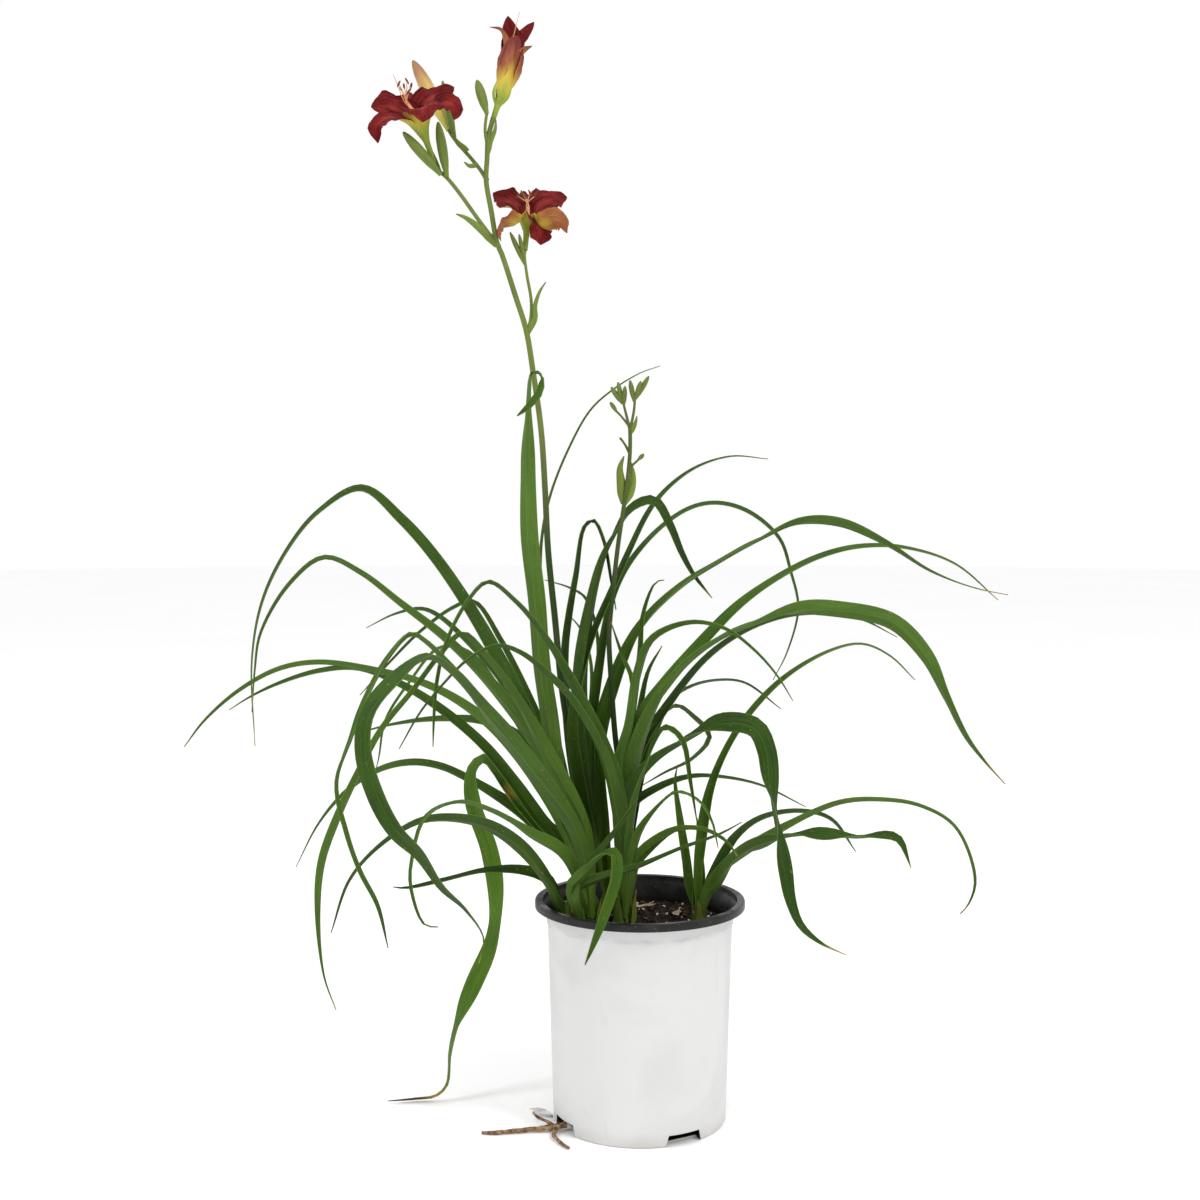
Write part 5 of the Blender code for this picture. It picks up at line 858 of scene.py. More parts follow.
# Dry scraps on the soil: place, length and width in mm, turn in plan in radians, curl in mm.
SCRAPS: tuple[Spot, ...] = (
    (-9.0, -44.0, 19.0, 7.5, 0.5, 1.6), (3.0, -37.0, 26.0, 6.0, 0.9, 1.0),
    (16.0, -40.0, 15.0, 4.5, 2.4, 1.8), (-24.0, -46.0, 12.0, 5.0, 2.9, 1.2),
    (22.0, -24.0, 17.0, 5.0, 0.2, 1.1), (30.0, 20.0, 22.0, 6.0, 1.3, 1.2),
    (5.0, 44.0, 18.0, 6.5, 0.1, 1.4), (-20.0, 56.0, 16.0, 5.0, 2.2, 1.3),
)

# Grains on the soil: how many, least and greatest radius in mm, the finish, how
# far they stand out as a share of their radius, and how flat they are.
LITTER: dict[str, tuple] = {
    "soil_crumbs": (900, 0.4, 1.6, "soil_crumb", 0.2, 0.8),
    "perlite_grains": (110, 0.4, 1.5, "perlite", 0.35, 0.85),
    "bark_crumbs": (190, 0.6, 2.4, "bark", 0.3, 0.35),
}

# Finishes of the soil: name, how fine its noise is, depth of its relief in metres, colours.
SOIL_FINISHES: tuple[tuple, ...] = (
    ("soil_crumb", 190.0, 0.0012,
     (0.36, (0.007, 0.005, 0.004)), (0.5, (0.020, 0.014, 0.010)), (0.66, (0.055, 0.038, 0.026))),
    ("perlite", 500.0, 0.0005, (0.3, (0.42, 0.40, 0.37)), (0.6, (0.80, 0.79, 0.77))),
    ("bark", 400.0, 0.0005, (0.35, (0.026, 0.015, 0.010)), (0.65, (0.15, 0.085, 0.048))),
    ("dry_leaf", 150.0, 0.0006,
     (0.32, (0.26, 0.17, 0.11)), (0.5, (0.52, 0.39, 0.28)), (0.7, (0.66, 0.55, 0.44))),
)


class Ageing(Enum):
    """What a leaf's tip looks like."""

    FRESH = 0.0
    YELLOW = 0.45
    REDDISH = 0.7
    DEAD = 1.0


@dataclass(frozen=True)
class Leaf:
    """One strap leaf: its foot, heading in plan, width in mm, faces and route.

    A face of 0 or 180 lies flat to the eye, 90 is edge-on, and a face above 90
    shows the upper side. The route is on the sketch, from the foot to the tip.
    """

    fan: str
    heading: float
    width: float
    turns: tuple[float, ...]
    sketch: tuple[Spot, ...]

    @property
    def key(self) -> tuple[str, float]:
        """What tells this leaf from the others."""
        return self.fan, self.heading


# Leaves whose tips have aged: what they have become, and from which share on.
AGED: dict[tuple[str, float], tuple[Ageing, float]] = {
    ("fan_left", 170): (Ageing.DEAD, 0.77),
    ("fan_left", 226): (Ageing.DEAD, 0.95),
    ("fan_left", 217): (Ageing.YELLOW, 0.985),
    ("fan_left", 190): (Ageing.REDDISH, 0.95),
    ("fan_left", 162): (Ageing.REDDISH, 0.96),
    ("fan_right", -8): (Ageing.REDDISH, 0.9),
    ("fan_right", -24): (Ageing.YELLOW, 0.9),
    ("fan_right", 25): (Ageing.YELLOW, 0.96),
    ("fan_centre", 10): (Ageing.REDDISH, 0.9),
    ("fan_centre", 16): (Ageing.YELLOW, 0.93),
    ("offset_right", -10): (Ageing.REDDISH, 0.95),
    ("offset_right", -25): (Ageing.YELLOW, 0.95),
    ("fan_right", 40): (Ageing.YELLOW, 0.93),
}


@dataclass(frozen=True)
class LeafFinish:
    """Green of a strap leaf: fine ribs, paler foot, aged tip."""

    light: Colour = (0.082, 0.172, 0.012)
    middle: Colour = (0.035, 0.086, 0.006)
    dark: Colour = (0.010, 0.030, 0.003)
    pale: Colour = (0.150, 0.265, 0.030)
    dull: Colour = (0.10, 0.16, 0.045)
    yellow: Colour = (0.330, 0.250, 0.040)
    brown: Colour = (0.085, 0.040, 0.014)
    burnt: Colour = (0.07, 0.035, 0.014)
    under_lift: float = 0.06
    ribs_across: float = 4.6
    rib_share: float = 0.035
    foot_share: float = 0.17
    depth: float = 0.00022

    def material(self, name: str, under: bool) -> Finish:
        """The material of one side of the leaves.

        Args:
            name: the material's name.
            under: whether this is the paler, duller underside.

        Returns:
            The material.
        """
        shade = Shade(name, roughness=0.46, specular_ior_level=0.16)
        along, tone, aged = (shade.given(key) for key in ("along", "tone", "aged"))
        streaks = shade.grain(shade.surface_space((16.0, 0.5, 1.0)), 1.0)
        clouds = shade.grain(shade.object_space(), 24.0, 4.0)
        blend = shade.weigh((streaks, 0.45), (clouds, 0.35), (tone, 0.36))
        lift = self.under_lift if under else 0.0
        green = shade.ramp(blend, (0.38 - lift, self.dark), (0.6 - lift, self.middle),
                           (0.86 - lift, self.light))
        across = shade.surface_space((1.0, 0.0, 1.0))
        ribs = shade.add("TexWave", {"Vector": across, "Scale": self.ribs_across, "Distortion": 0.0},
                         bands_direction="X").outputs[1]
        green = shade.mix(shade.weigh((ribs, 0.26)), green, self.light)
        off_rib = shade.off_rib()
        rib = shade.fade(off_rib, 0.0, self.rib_share, 0.5)
        green = shade.mix(rib, green, self.pale if under else self.light)
        green = shade.mix(shade.spread(off_rib, 0.465, 0.5, 0.0, 0.35), green, self.pale)
        if under:
            green = shade.mix(0.2, green, self.dull)
        foot = shade.fade(shade.weigh((along, 1.0), (streaks, 0.05)), 0.02, self.foot_share, 0.62)
        green = shade.mix(foot, green, self.pale)
        patches = shade.strayed(aged, clouds, 0.5)
        dry = shade.ramp(patches, (0.0, self.yellow), (0.45, self.yellow), (0.75, self.brown),
                         (1.0, self.burnt))
        green = shade.mix(shade.spread(patches, 0.18, 0.42), green, dry)
        flecks = shade.spread(shade.grain(shade.object_space(), 420.0, 1.0), 0.72, 0.76, 0.0, 0.5)
        shade.feed("Base Color", shade.mix(flecks, green, self.yellow))
        gloss = shade.spread(shade.sum("ADD", streaks, aged), 0.3, 1.2, 0.52 if under else 0.4, 0.72)
        shade.feed("Roughness", gloss)
        shade.relief(shade.weigh((ribs, 1.0), (streaks, 0.7)), self.depth)
        return shade.material


@dataclass
class LeafFan:
    """A fan of leaves that stand stacked like cards in one foot."""

    name: str
    leaves: list[Leaf]
    foot: Spot
    upper: Finish
    under: Finish
    leaf_start: float = 7.0 * MM
    card_pitch: float = 2.4 * MM
    foot_inset: float = 2.0
    flat_share: float = 0.42
    sway: float = 4.0
    taper: float = 3.2
    yellow_start: float = 0.985
    tip_half: float = 0.35 * MM
    thickness: float = 0.55 * MM
    columns: int = 8
    step: float = 5.0 * MM

    def half_width(self, share: float, width: float, late: float) -> float:
        """Half the width of a leaf: clasping foot, long even run, long taper."""
        foot = 0.42 + 0.58 * min(share / 0.25, 1.0)
        taper = max(1.0 - share ** late, 0.0) ** 0.8
        return max(0.5 * width * MM * foot * taper, self.tip_half)

    def sections(self, leaf: Leaf, card: float, rows: int, draw: random.Random) -> list[tuple]:
        """The cross-sections of one leaf.

        Args:
            leaf: the leaf.
            card: how far its foot stands behind the fan's middle, in metres.
            rows: how many sections, less one.
            draw: the leaf's own source of chance.

        Returns:
            Point, sideways and upward directions, half width and keel depth.
        """
        foot = Vector((self.foot[0] * MM, self.foot[1] * MM + card, SOIL_LEVEL + self.leaf_start))
        heading = math.radians(leaf.heading)
        points = [foot]
        for across, up, *away in leaf.sketch:
            points.append(SKETCH.at_depth(across, up, away[0]) if away
                          else SKETCH.in_plane(across, up, foot, heading))
        route = Route(points)
        leftward = math.cos(heading) < 0.0
        phase = draw.uniform(0.0, FULL_TURN)
        sections = []
        for row in range(rows + 1):
            share = row / rows
            point, along = route.at(share)
            sight = (point - SKETCH.eye).normalized()
            flat = along.cross(sight).normalized() * (1.0 if leftward else -1.0)
            deep = (sight - along * sight.dot(along)).normalized()
            flat_face = 0.0 if leaf.turns[0] < 90.0 else 180.0
            turn = between(leaf.turns, share) - flat_face
            sway = self.sway * math.sin(share * 9.0 + phase) * smooth_step(share * 3.0)
            face = math.radians(flat_face + turn * smooth_step(share / self.flat_share) + sway)
            side = flat * math.cos(face) + deep * math.sin(face)
            inner = side.cross(along) if leftward else along.cross(side)
            half = self.half_width(share, leaf.width, TAPERS.get(leaf.key, self.taper))
            sections.append((point, side, inner, half, half * profile(LEAF_FOLD, share)))
        return sections

    def blade(self, leaf: Leaf, number: int, card: float) -> Piece:
        """One leaf as a thin closed blade.

        Args:
            leaf: the leaf.
            number: its place in the fan, which seeds its small differences.
            card: how far its foot stands behind the fan's middle, in metres.

        Returns:
            The blade.
        """
        draw = random.Random(f"{self.name} {number}")
        reach = sum((Vector(b[:2]) - Vector(a[:2])).length for a, b in zip(leaf.sketch, leaf.sketch[1:]))
        rows = max(10, round(reach * SKETCH.square / self.step))
        sections = self.sections(leaf, card, rows, draw)
        facing = 1.0 if math.cos(math.radians(leaf.heading)) < 0.0 else -1.0
        wave = draw.uniform(0.2, 0.5) * MM
        phase = draw.uniform(0.0, FULL_TURN)
        tone = draw.uniform(0.0, 1.0)
        kind, start = AGED.get(leaf.key, (Ageing.FRESH, 1.0))
        if kind is Ageing.FRESH and draw.random() < 0.5:
            kind, start = Ageing.YELLOW, self.yellow_start

        def place(across: float, along: float) -> Vector:
            point, side, inner, half, keel = sections[round(along * rows)]
            reach_out = (2.0 * across - 1.0) * facing
            lift = keel * (abs(reach_out) ** 1.15 - 0.5)
            ripple = wave * reach_out ** 3 * math.sin(along * rows * 0.21 + phase)
            ripple *= min(half / (4.0 * MM), 1.0)
            return point + side * half * reach_out + inner * (lift + ripple)

        def marks(across: float, along: float) -> dict[str, float]:
            past = along - start + 0.01 + 0.01 * abs(2.0 * across - 1.0)
            aged = kind.value * smooth_step(past / (1.02 - start) * 1.5 - 0.5)
            if leaf.key == PINCHED_LEAF:
                aged = max(aged, 0.45 * math.exp(-((along - PINCH_SHARE) / PINCH_SPREAD) ** 2))
            return {"along": along, "tone": tone, "aged": aged}

        slimness = reach * SKETCH.square / (leaf.width * MM)
        blade = Modeller.grid(f"{self.name}_blade", self.columns, rows, place, marks, stretch=slimness)
        return Modeller.paint(blade, self.upper, self.under)

    def build(self) -> Piece:
        """All the fan's leaves as one piece."""
        leaves = sorted(self.leaves, key=lambda leaf: math.sin(math.radians(leaf.heading)))
        limit = (self.foot[3] - self.foot_inset) * MM
        blades = []
        for rank, leaf in enumerate(leaves):
            card = (rank - 0.5 * (len(leaves) - 1)) * self.card_pitch
            # Each scape is painted in shade among the leaves up to its given share; the young scape's low
            # value paints all of it darker.
            blades.append(self.blade(leaf, rank, max(min(card, limit), -limit)))
        fan = Modeller.join(f"{self.name}_leaves", blades)
        Modeller.thicken(fan, self.thickness, 1)
        return hand_over(fan, Crease.LEAF, "leaf", self.name)


@dataclass
class Crown:
    """The foot of a fan: pale leaf bases wrapped round each other, and old sheaths."""

    name: str
    foot: Spot
    finish: Finish
    dry_finish: Finish
    sheaths: int
    depth: float = 6.0 * MM
    rise: float = 20.0 * MM
    lobe_width: float = 3.0 * MM
    sheath_depth: float = 3.0 * MM
    sheath_thickness: float = 0.4 * MM

    def wrap(self) -> Piece:
        """The oval foot, lobed where one leaf base clasps the next."""
        x, y, half_x, half_y = (value * MM for value in self.foot)
        heights = (-self.depth, self.depth, self.rise)
        route = Route([Vector((x, y, SOIL_LEVEL + height)) for height in heights])
        lobes = 3.0 + round(half_y / self.lobe_width)

        def radius(around: float, share: float) -> float:
            lobe = 1.0 - 0.16 * abs(math.sin(lobes * math.pi * around + share * 0.8))
            return lobe * profile(((0.0, 0.86), (0.25, 0.95), (0.6, 0.84), (0.85, 0.7), (1.0, 0.42)), share)

        def marks(around: float, ahead: float) -> dict[str, float]:
            return {"along": ahead * 0.12, "tone": 0.4 + 0.3 * math.sin(around * 40.0),
                    "aged": 0.5 * smooth_step(1.0 - ahead * 3.2)}

        piece = Modeller.tube(f"{self.name}_wrap", route, radius, sides=40, step=2.0 * MM, marks=marks,
                              stretch=1.0)
        for vertex in piece.data.vertices:
            offset = vertex.co - Vector((x, y, 0.0))
            vertex.co.x = x + offset.x * half_x
            vertex.co.y = y + offset.y * half_y
        return Modeller.paint(piece, self.finish, self.finish)

    def sheath(self, number: int, draw: random.Random) -> Piece:
        """A short old leaf base that clasps the foot and ends in a point."""
        x, y, half_x, half_y = (value * MM for value in self.foot)
        turn = FULL_TURN * (number + draw.uniform(0.0, 0.7)) / self.sheaths
        height = draw.uniform(16.0, 34.0) * MM
        lean = draw.uniform(0.02, 0.3)
        spread = draw.uniform(0.35, 0.6)
        tone = draw.random()

        def place(across: float, along: float) -> Vector:
            narrow = max(1.0 - along ** 1.8, 0.02)
            angle = turn + (across - 0.5) * 2.0 * spread * narrow
            grow = 1.02 + lean * along ** 2 + 0.05 * math.sin(across * 9.0 + along * 5.0)
            return Vector((x + math.cos(angle) * half_x * grow, y + math.sin(angle) * half_y * grow,
                           SOIL_LEVEL - self.sheath_depth + height * along))

        def marks(across: float, along: float) -> dict[str, float]:
            return {"along": 0.03 + along * 0.1, "tone": tone, "aged": 0.14 + 0.34 * along * tone}

        piece = Modeller.grid(f"{self.name}_sheath", 6, 10, place, marks, stretch=2.0)
        return Modeller.paint(piece, self.dry_finish, self.dry_finish)

    def build(self) -> Piece:
        """The foot as one piece."""
        draw = random.Random(f"{self.name} crown")
        sheaths = [self.sheath(number, draw) for number in range(self.sheaths)]
        skins = Modeller.join(f"{self.name}_sheaths", sheaths)
        Modeller.thicken(skins, self.sheath_thickness)
        crown = Modeller.join(f"{self.name}_crown", [self.wrap(), skins])
        return hand_over(crown, Crease.GROWN, "leaf")


@dataclass(frozen=True)
class StemFinish:
    """Green stem skin: a waxy bloom, faint ribs, purple-grey flushes near the joints, and painted shade in
    deep green where the young value is low.
    """

    light: Colour = (0.150, 0.190, 0.042)
    middle: Colour = (0.085, 0.125, 0.024)
    # deep is the dark green of the painted shade on stems among the leaves.
    deep: Colour = (0.026, 0.055, 0.009)
    fresh: Colour = (0.165, 0.240, 0.036)
    flush: Colour = (0.085, 0.070, 0.040)
    tip: Colour = (0.180, 0.120, 0.050)
    depth: float = 0.00015

    def material(self, name: str) -> Finish:
        """The material of stems, green buds and bracts."""
        shade = Shade(name, roughness=0.5, specular_ior_level=0.15)
        young = shade.given("young")
        clouds = shade.grain(shade.object_space((1.0, 1.0, 0.25)), 90.0)
        streaks = shade.grain(shade.surface_space((14.0, 0.6, 1.0)), 1.0, 2.0)
        blend = shade.weigh((streaks, 0.5), (clouds, 0.5))
        green = shade.ramp(blend, (0.35, self.middle), (0.65, self.light))
        green = shade.mix(shade.spread(young, 0.3, 0.9, 0.0, 0.8), green, self.fresh)
        # Painted shade: a young value under 0.3 darkens the green towards deep.
        green = shade.mix(shade.fade(young, 0.0, 0.3), green, self.deep)
        patches = shade.spread(shade.grain(shade.object_space(), 30.0, 2.0), 0.5, 0.7, 0.0, 0.55)
        patches = shade.sum("MULTIPLY", patches, shade.sum("SUBTRACT", 1.0, young))
        green = shade.mix(patches, green, self.flush)
        shade.feed("Base Color", shade.mix(shade.spread(shade.given("aged"), 0.1, 0.8), green, self.tip))
        shade.feed("Roughness", shade.spread(clouds, 0.3, 0.7, 0.42, 0.6))
        shade.relief(streaks, self.depth)
        return shade.material


@dataclass(frozen=True)
class Twig:
    """A stem: radius in mm at both ends, depth in mm at both ends, route, and what it bears."""

    radius_foot: float
    radius_end: float
    near: float
    far: float
    sketch: tuple[Spot, ...]
    bears: str | None


@dataclass(frozen=True)
class Seat:
    """Where a bloom or a large bud stands: its foot and the way that it points."""

    foot: Vector
    axis: Vector


@dataclass
class FlowerStem:
    """A scape with its twigs, bracts and green buds, grown as one."""

    name: str
    foot: Spot
    stem: Twig
    twigs: list[Twig]
    bracts: tuple[tuple, ...]
    buds: tuple[tuple, ...]
    seats: dict[str, Seat]
    finish: Finish
    # How fresh and light the green is, painted in shade below 0.3, and the share of the length below which
    # the stem is painted in shade among the leaves.
    young: float
    out_of_shade_share: float
    foot_depth: float = 8.0 * MM
    foot_rise: float = 6.0 * MM
    seat_run: float = 5.0 * MM
    ribs: int = 7
    bract_thickness: float = 0.5 * MM

    def rod(self, twig: Twig, start: list[Vector], young: float) -> Piece:
        """One stem, swollen a little where it forks and ends."""
        points = start + SKETCH.run(twig.sketch, twig.near, twig.far)
        if twig.bears:
            seat = self.seats[twig.bears]
            points += [seat.foot - seat.axis * self.seat_run, seat.foot - seat.axis * 0.1 * MM]
        route = Route(points)

        def radius(around: float, share: float) -> float:
            ribs = 1.0 + 0.035 * math.cos(around * FULL_TURN * self.ribs)
            swell = 1.0 + 0.2 * math.exp(-((1.0 - share) * route.length / (3.0 * MM)) ** 2)
            swell += 0.0 if start else 0.25 * math.exp(-(share * route.length / (4.0 * MM)) ** 2)
            return (twig.radius_foot + (twig.radius_end - twig.radius_foot) * share) * MM * ribs * swell

        def marks(around: float, ahead: float) -> dict[str, float]:
            # Painted shade: below its given share the stem stands among the leaves and is painted dark.
            out_of_shade = smooth_step((ahead - self.out_of_shade_share) * 4.0 + 0.5) if start else 1.0
            return {"young": young * out_of_shade, "aged": 0.0}

        return Modeller.tube(f"{self.name}_rod", route, radius, sides=14, step=4.0 * MM, marks=marks,
                             stretch=route.length / (10.0 * MM))

    def bract(self, width: float, near: float, far: float, sketch: tuple[Spot, ...]) -> Piece:
        """A small pointed leaf, cupped round the stem."""
        route = Route(SKETCH.run(sketch, near, far))

        def place(across: float, along: float) -> Vector:
            point, ahead = route.at(along)
            sight = (point - SKETCH.eye).normalized()
            side = ahead.cross(sight).normalized()
            reach = 2.0 * across - 1.0
            full = max(1.0 - along ** 1.6, 0.0) ** 0.7 * min(0.55 + along * 2.0, 1.0)
            half = max(0.5 * width * MM * full, 0.25 * MM)
            cup = 0.5 * half * reach * reach
            return point + side * half * reach + side.cross(ahead) * cup

        def marks(across: float, along: float) -> dict[str, float]:
            return {"young": 0.75, "aged": smooth_step((along - 0.82) * 5.0)}

        blade = Modeller.grid(f"{self.name}_bract", 6, 18, place, marks, stretch=3.0)
        Modeller.thicken(blade, self.bract_thickness)
        return blade

    def green_bud(self, thickness: float, near: float, far: float, low: Spot, high: Spot) -> Piece:
        """A closed green bud, ribbed by the edges of its three outer sepals."""
        def marks(around: float, ahead: float) -> dict[str, float]:
            return {"young": 0.72 - 0.45 * ahead, "aged": smooth_step(ahead * 6.0 - 5.4)}

        return bud_body(f"{self.name}_bud", SKETCH.at_depth(*low, near), SKETCH.at_depth(*high, far),
                        thickness, marks)

    def build(self) -> Piece:
        """The whole growth as one piece."""
        x, y = self.foot[0] * MM, self.foot[1] * MM
        ground = [Vector((x, y, SOIL_LEVEL + height)) for height in (-self.foot_depth, self.foot_rise)]
        parts = [self.rod(self.stem, ground, self.young)]
        parts += [self.rod(twig, [], self.young + 0.1) for twig in self.twigs]
        parts += [self.bract(*row) for row in self.bracts]
        parts += [self.green_bud(*row) for row in self.buds]
        growth = Modeller.join(f"{self.name}_growth", [Modeller.paint(part, self.finish) for part in parts])
        return hand_over(growth, Crease.GROWN, "stem", self.name)


def bud_body(name: str, foot: Vector, tip: Vector, thickness: float, marks: Marks) -> Piece:
    """The spindle of a closed bud, furrowed between its three outer sepals.

    Args:
        name: name of the piece.
        foot: where it stands on its stalk.
        tip: its other end.
        thickness: greatest thickness in mm.
        marks: attribute values for a share round and a share along.

    Returns:
        The new piece.
    """
    route = Route([foot, foot.lerp(tip, 0.5), tip])

    def radius(around: float, share: float) -> float:
        turn = FULL_TURN * around
        furrow = 1.0 - 0.10 * max(math.cos(3.0 * turn + share), 0.0) ** 6 - 0.03 * math.cos(9.0 * turn)
        return 0.5 * thickness * MM * profile(BUD_OUTLINE, share) * furrow

    step = max(route.length / BUD_ROWS, 0.8 * MM)
    return Modeller.tube(name, route, radius, BUD_SIDES, step, marks, stretch=3.0)


@dataclass
class ColouredBud:
    """The large bud that is about to open, yellow below and brown towards its tip."""

    name: str
    seat: Seat
    tip: Vector
    thickness: float
    colours: Stops = (
        (0.0, (0.40, 0.46, 0.10)), (0.25, (0.62, 0.52, 0.13)), (0.55, (0.56, 0.40, 0.13)),
        (0.8, (0.34, 0.16, 0.08)), (1.0, (0.22, 0.16, 0.06)))
    depth: float = 0.0002

    def finish(self) -> Finish:
        """Skin of the bud, streaked along its length."""
        shade = Shade("bud_skin", roughness=0.5, specular_ior_level=0.15)
        streaks = shade.grain(shade.surface_space((9.0, 0.5, 1.0)), 1.0)
        place = shade.strayed(shade.given("along"), streaks, 0.35)
        shade.feed("Base Color", shade.ramp(place, *self.colours))
        shade.feed("Roughness", shade.spread(streaks, 0.3, 0.7, 0.42, 0.58))
        shade.relief(streaks, self.depth)
        return shade.material

    def build(self) -> Piece:
        """The bud as one closed piece."""
        bud = bud_body(f"{self.name}_skin", self.seat.foot, self.tip, self.thickness,
                       lambda around, ahead: {"along": ahead})
        return hand_over(Modeller.paint(bud, self.finish()), Crease.SOFT, "bud", self.name)


class Kind(Enum):
    """The two rings of a daylily's bloom."""

    PETAL = "petal"
    SEPAL = "sepal"


@dataclass(frozen=True)
class Tepal:
    """A petal or sepal: width in mm, turn about its midline in degrees at its middle and tip, route."""

    kind: Kind
    width: float
    turn_middle: float
    turn_tip: float
    sketch: tuple[Spot, ...]


@dataclass(frozen=True)
class TepalForm:
    """What petals and sepals do differently.

    The foot's share of the full width, the share of the length where the width
    is greatest, faces across and along, how quickly the edge waves, the depth of
    the middle rib in mm, how far the foot stands back in mm, and the value of
    the attribute that tells the finish which of the two it is.
    """

    root: float
    widest: float
    columns: int
    rows: int
    waves: float
    rib: float
    set_back: float
    sepal: float


FORMS: dict[Kind, TepalForm] = {
    Kind.PETAL: TepalForm(0.16, 0.62, 14, 34, 17.0, 0.5, 0.0, 0.0),
    Kind.SEPAL: TepalForm(0.26, 0.56, 10, 30, 9.0, 0.3, 0.5, 1.0),
}


@dataclass(frozen=True)
class PetalFinish:
    """Maroon petals with a yellow throat; their backs are lighter, and orange-brown on the sepals."""

    maroon: Colour = (0.140, 0.010, 0.010)
    shadow: Colour = (0.040, 0.002, 0.003)
    bright: Colour = (0.290, 0.030, 0.030)
    rib: Colour = (0.36, 0.09, 0.06)
    sheen: Colour = (0.9, 0.45, 0.45)
    throat: Colour = (0.520, 0.390, 0.055)
    green: Colour = (0.270, 0.340, 0.050)
    back: Colour = (0.170, 0.030, 0.026)
    back_light: Colour = (0.30, 0.105, 0.075)
    rust: Colour = (0.28, 0.075, 0.038)
    orange: Colour = (0.290, 0.110, 0.034)
    amber: Colour = (0.52, 0.27, 0.09)
    tan: Colour = (0.34, 0.13, 0.035)
    tube_foot: Colour = (0.15, 0.22, 0.035)
    tube_green: Colour = (0.23, 0.30, 0.045)

    def inside(self) -> Finish:
        """The velvety upper side."""
        shade = Shade("petal_face", roughness=0.55, sheen_weight=0.04, sheen_roughness=0.5,
                      specular_ior_level=0.04)
        shade.shader.inputs["Sheen Tint"].default_value = (*self.sheen, 1.0)
        along = shade.given("along")
        veins = shade.grain(shade.surface_space((22.0, 0.8, 1.0)), 1.0, 2.0)
        clouds = shade.grain(shade.object_space(), 120.0)
        red = shade.ramp(shade.weigh((veins, 0.6), (clouds, 0.4)), (0.34, self.shadow), (0.52, self.maroon),
                         (0.72, self.bright))
        rib = shade.sum("MULTIPLY", shade.fade(shade.off_rib(), 0.01, 0.05),
                        shade.spread(along, 0.3, 0.85, 0.5, 0.1))
        red = shade.mix(rib, red, self.rib)
        reach = shade.strayed(along, veins, 0.16)
        red = shade.mix(shade.fade(reach, 0.28, 0.38), red, self.throat)
        shade.feed("Base Color", shade.mix(shade.fade(reach, 0.12, 0.28), red, self.green))
        shade.relief(veins, 0.0004)
        return shade.material

    def outside(self) -> Finish:
        """The back: yellow and green towards the tube, brown on the sepals."""
        shade = Shade("petal_back", roughness=0.5, specular_ior_level=0.1)
        veins = shade.grain(shade.surface_space((18.0, 0.7, 1.0)), 1.0)
        red = shade.ramp(veins, (0.3, self.shadow), (0.5, self.back), (0.75, self.back_light))
        brown = shade.ramp(veins, (0.3, self.rust), (0.6, self.orange), (0.8, self.amber))
        skin = shade.mix(shade.weigh((shade.given("sepal"), 0.85)), red, brown)
        reach = shade.strayed(shade.given("along"), veins, 0.22)
        reach = shade.sum("SUBTRACT", reach, shade.fade(shade.off_rib(), 0.05, 0.3, 0.12))
        skin = shade.mix(shade.fade(reach, 0.4, 0.8, 0.75), skin, self.tan)
        skin = shade.mix(shade.fade(reach, 0.32, 0.56), skin, self.throat)
        shade.feed("Base Color", shade.mix(shade.fade(reach, 0.1, 0.32), skin, self.green))
        shade.relief(veins, 0.0003)
        return shade.material

    def tube(self) -> Finish:
        """The tube under the throat."""
        shade = Shade("flower_tube", roughness=0.45, specular_ior_level=0.15)
        veins = shade.grain(shade.surface_space((12.0, 0.8, 1.0)), 1.0)
        reach = shade.weigh((shade.given("along"), 1.0), (veins, 0.12))
        shade.feed("Base Color", shade.ramp(reach, (0.0, self.tube_foot), (0.35, self.tube_green),
                                            (0.75, self.green), (1.0, self.throat)))
        shade.relief(veins, 0.0002)
        return shade.material


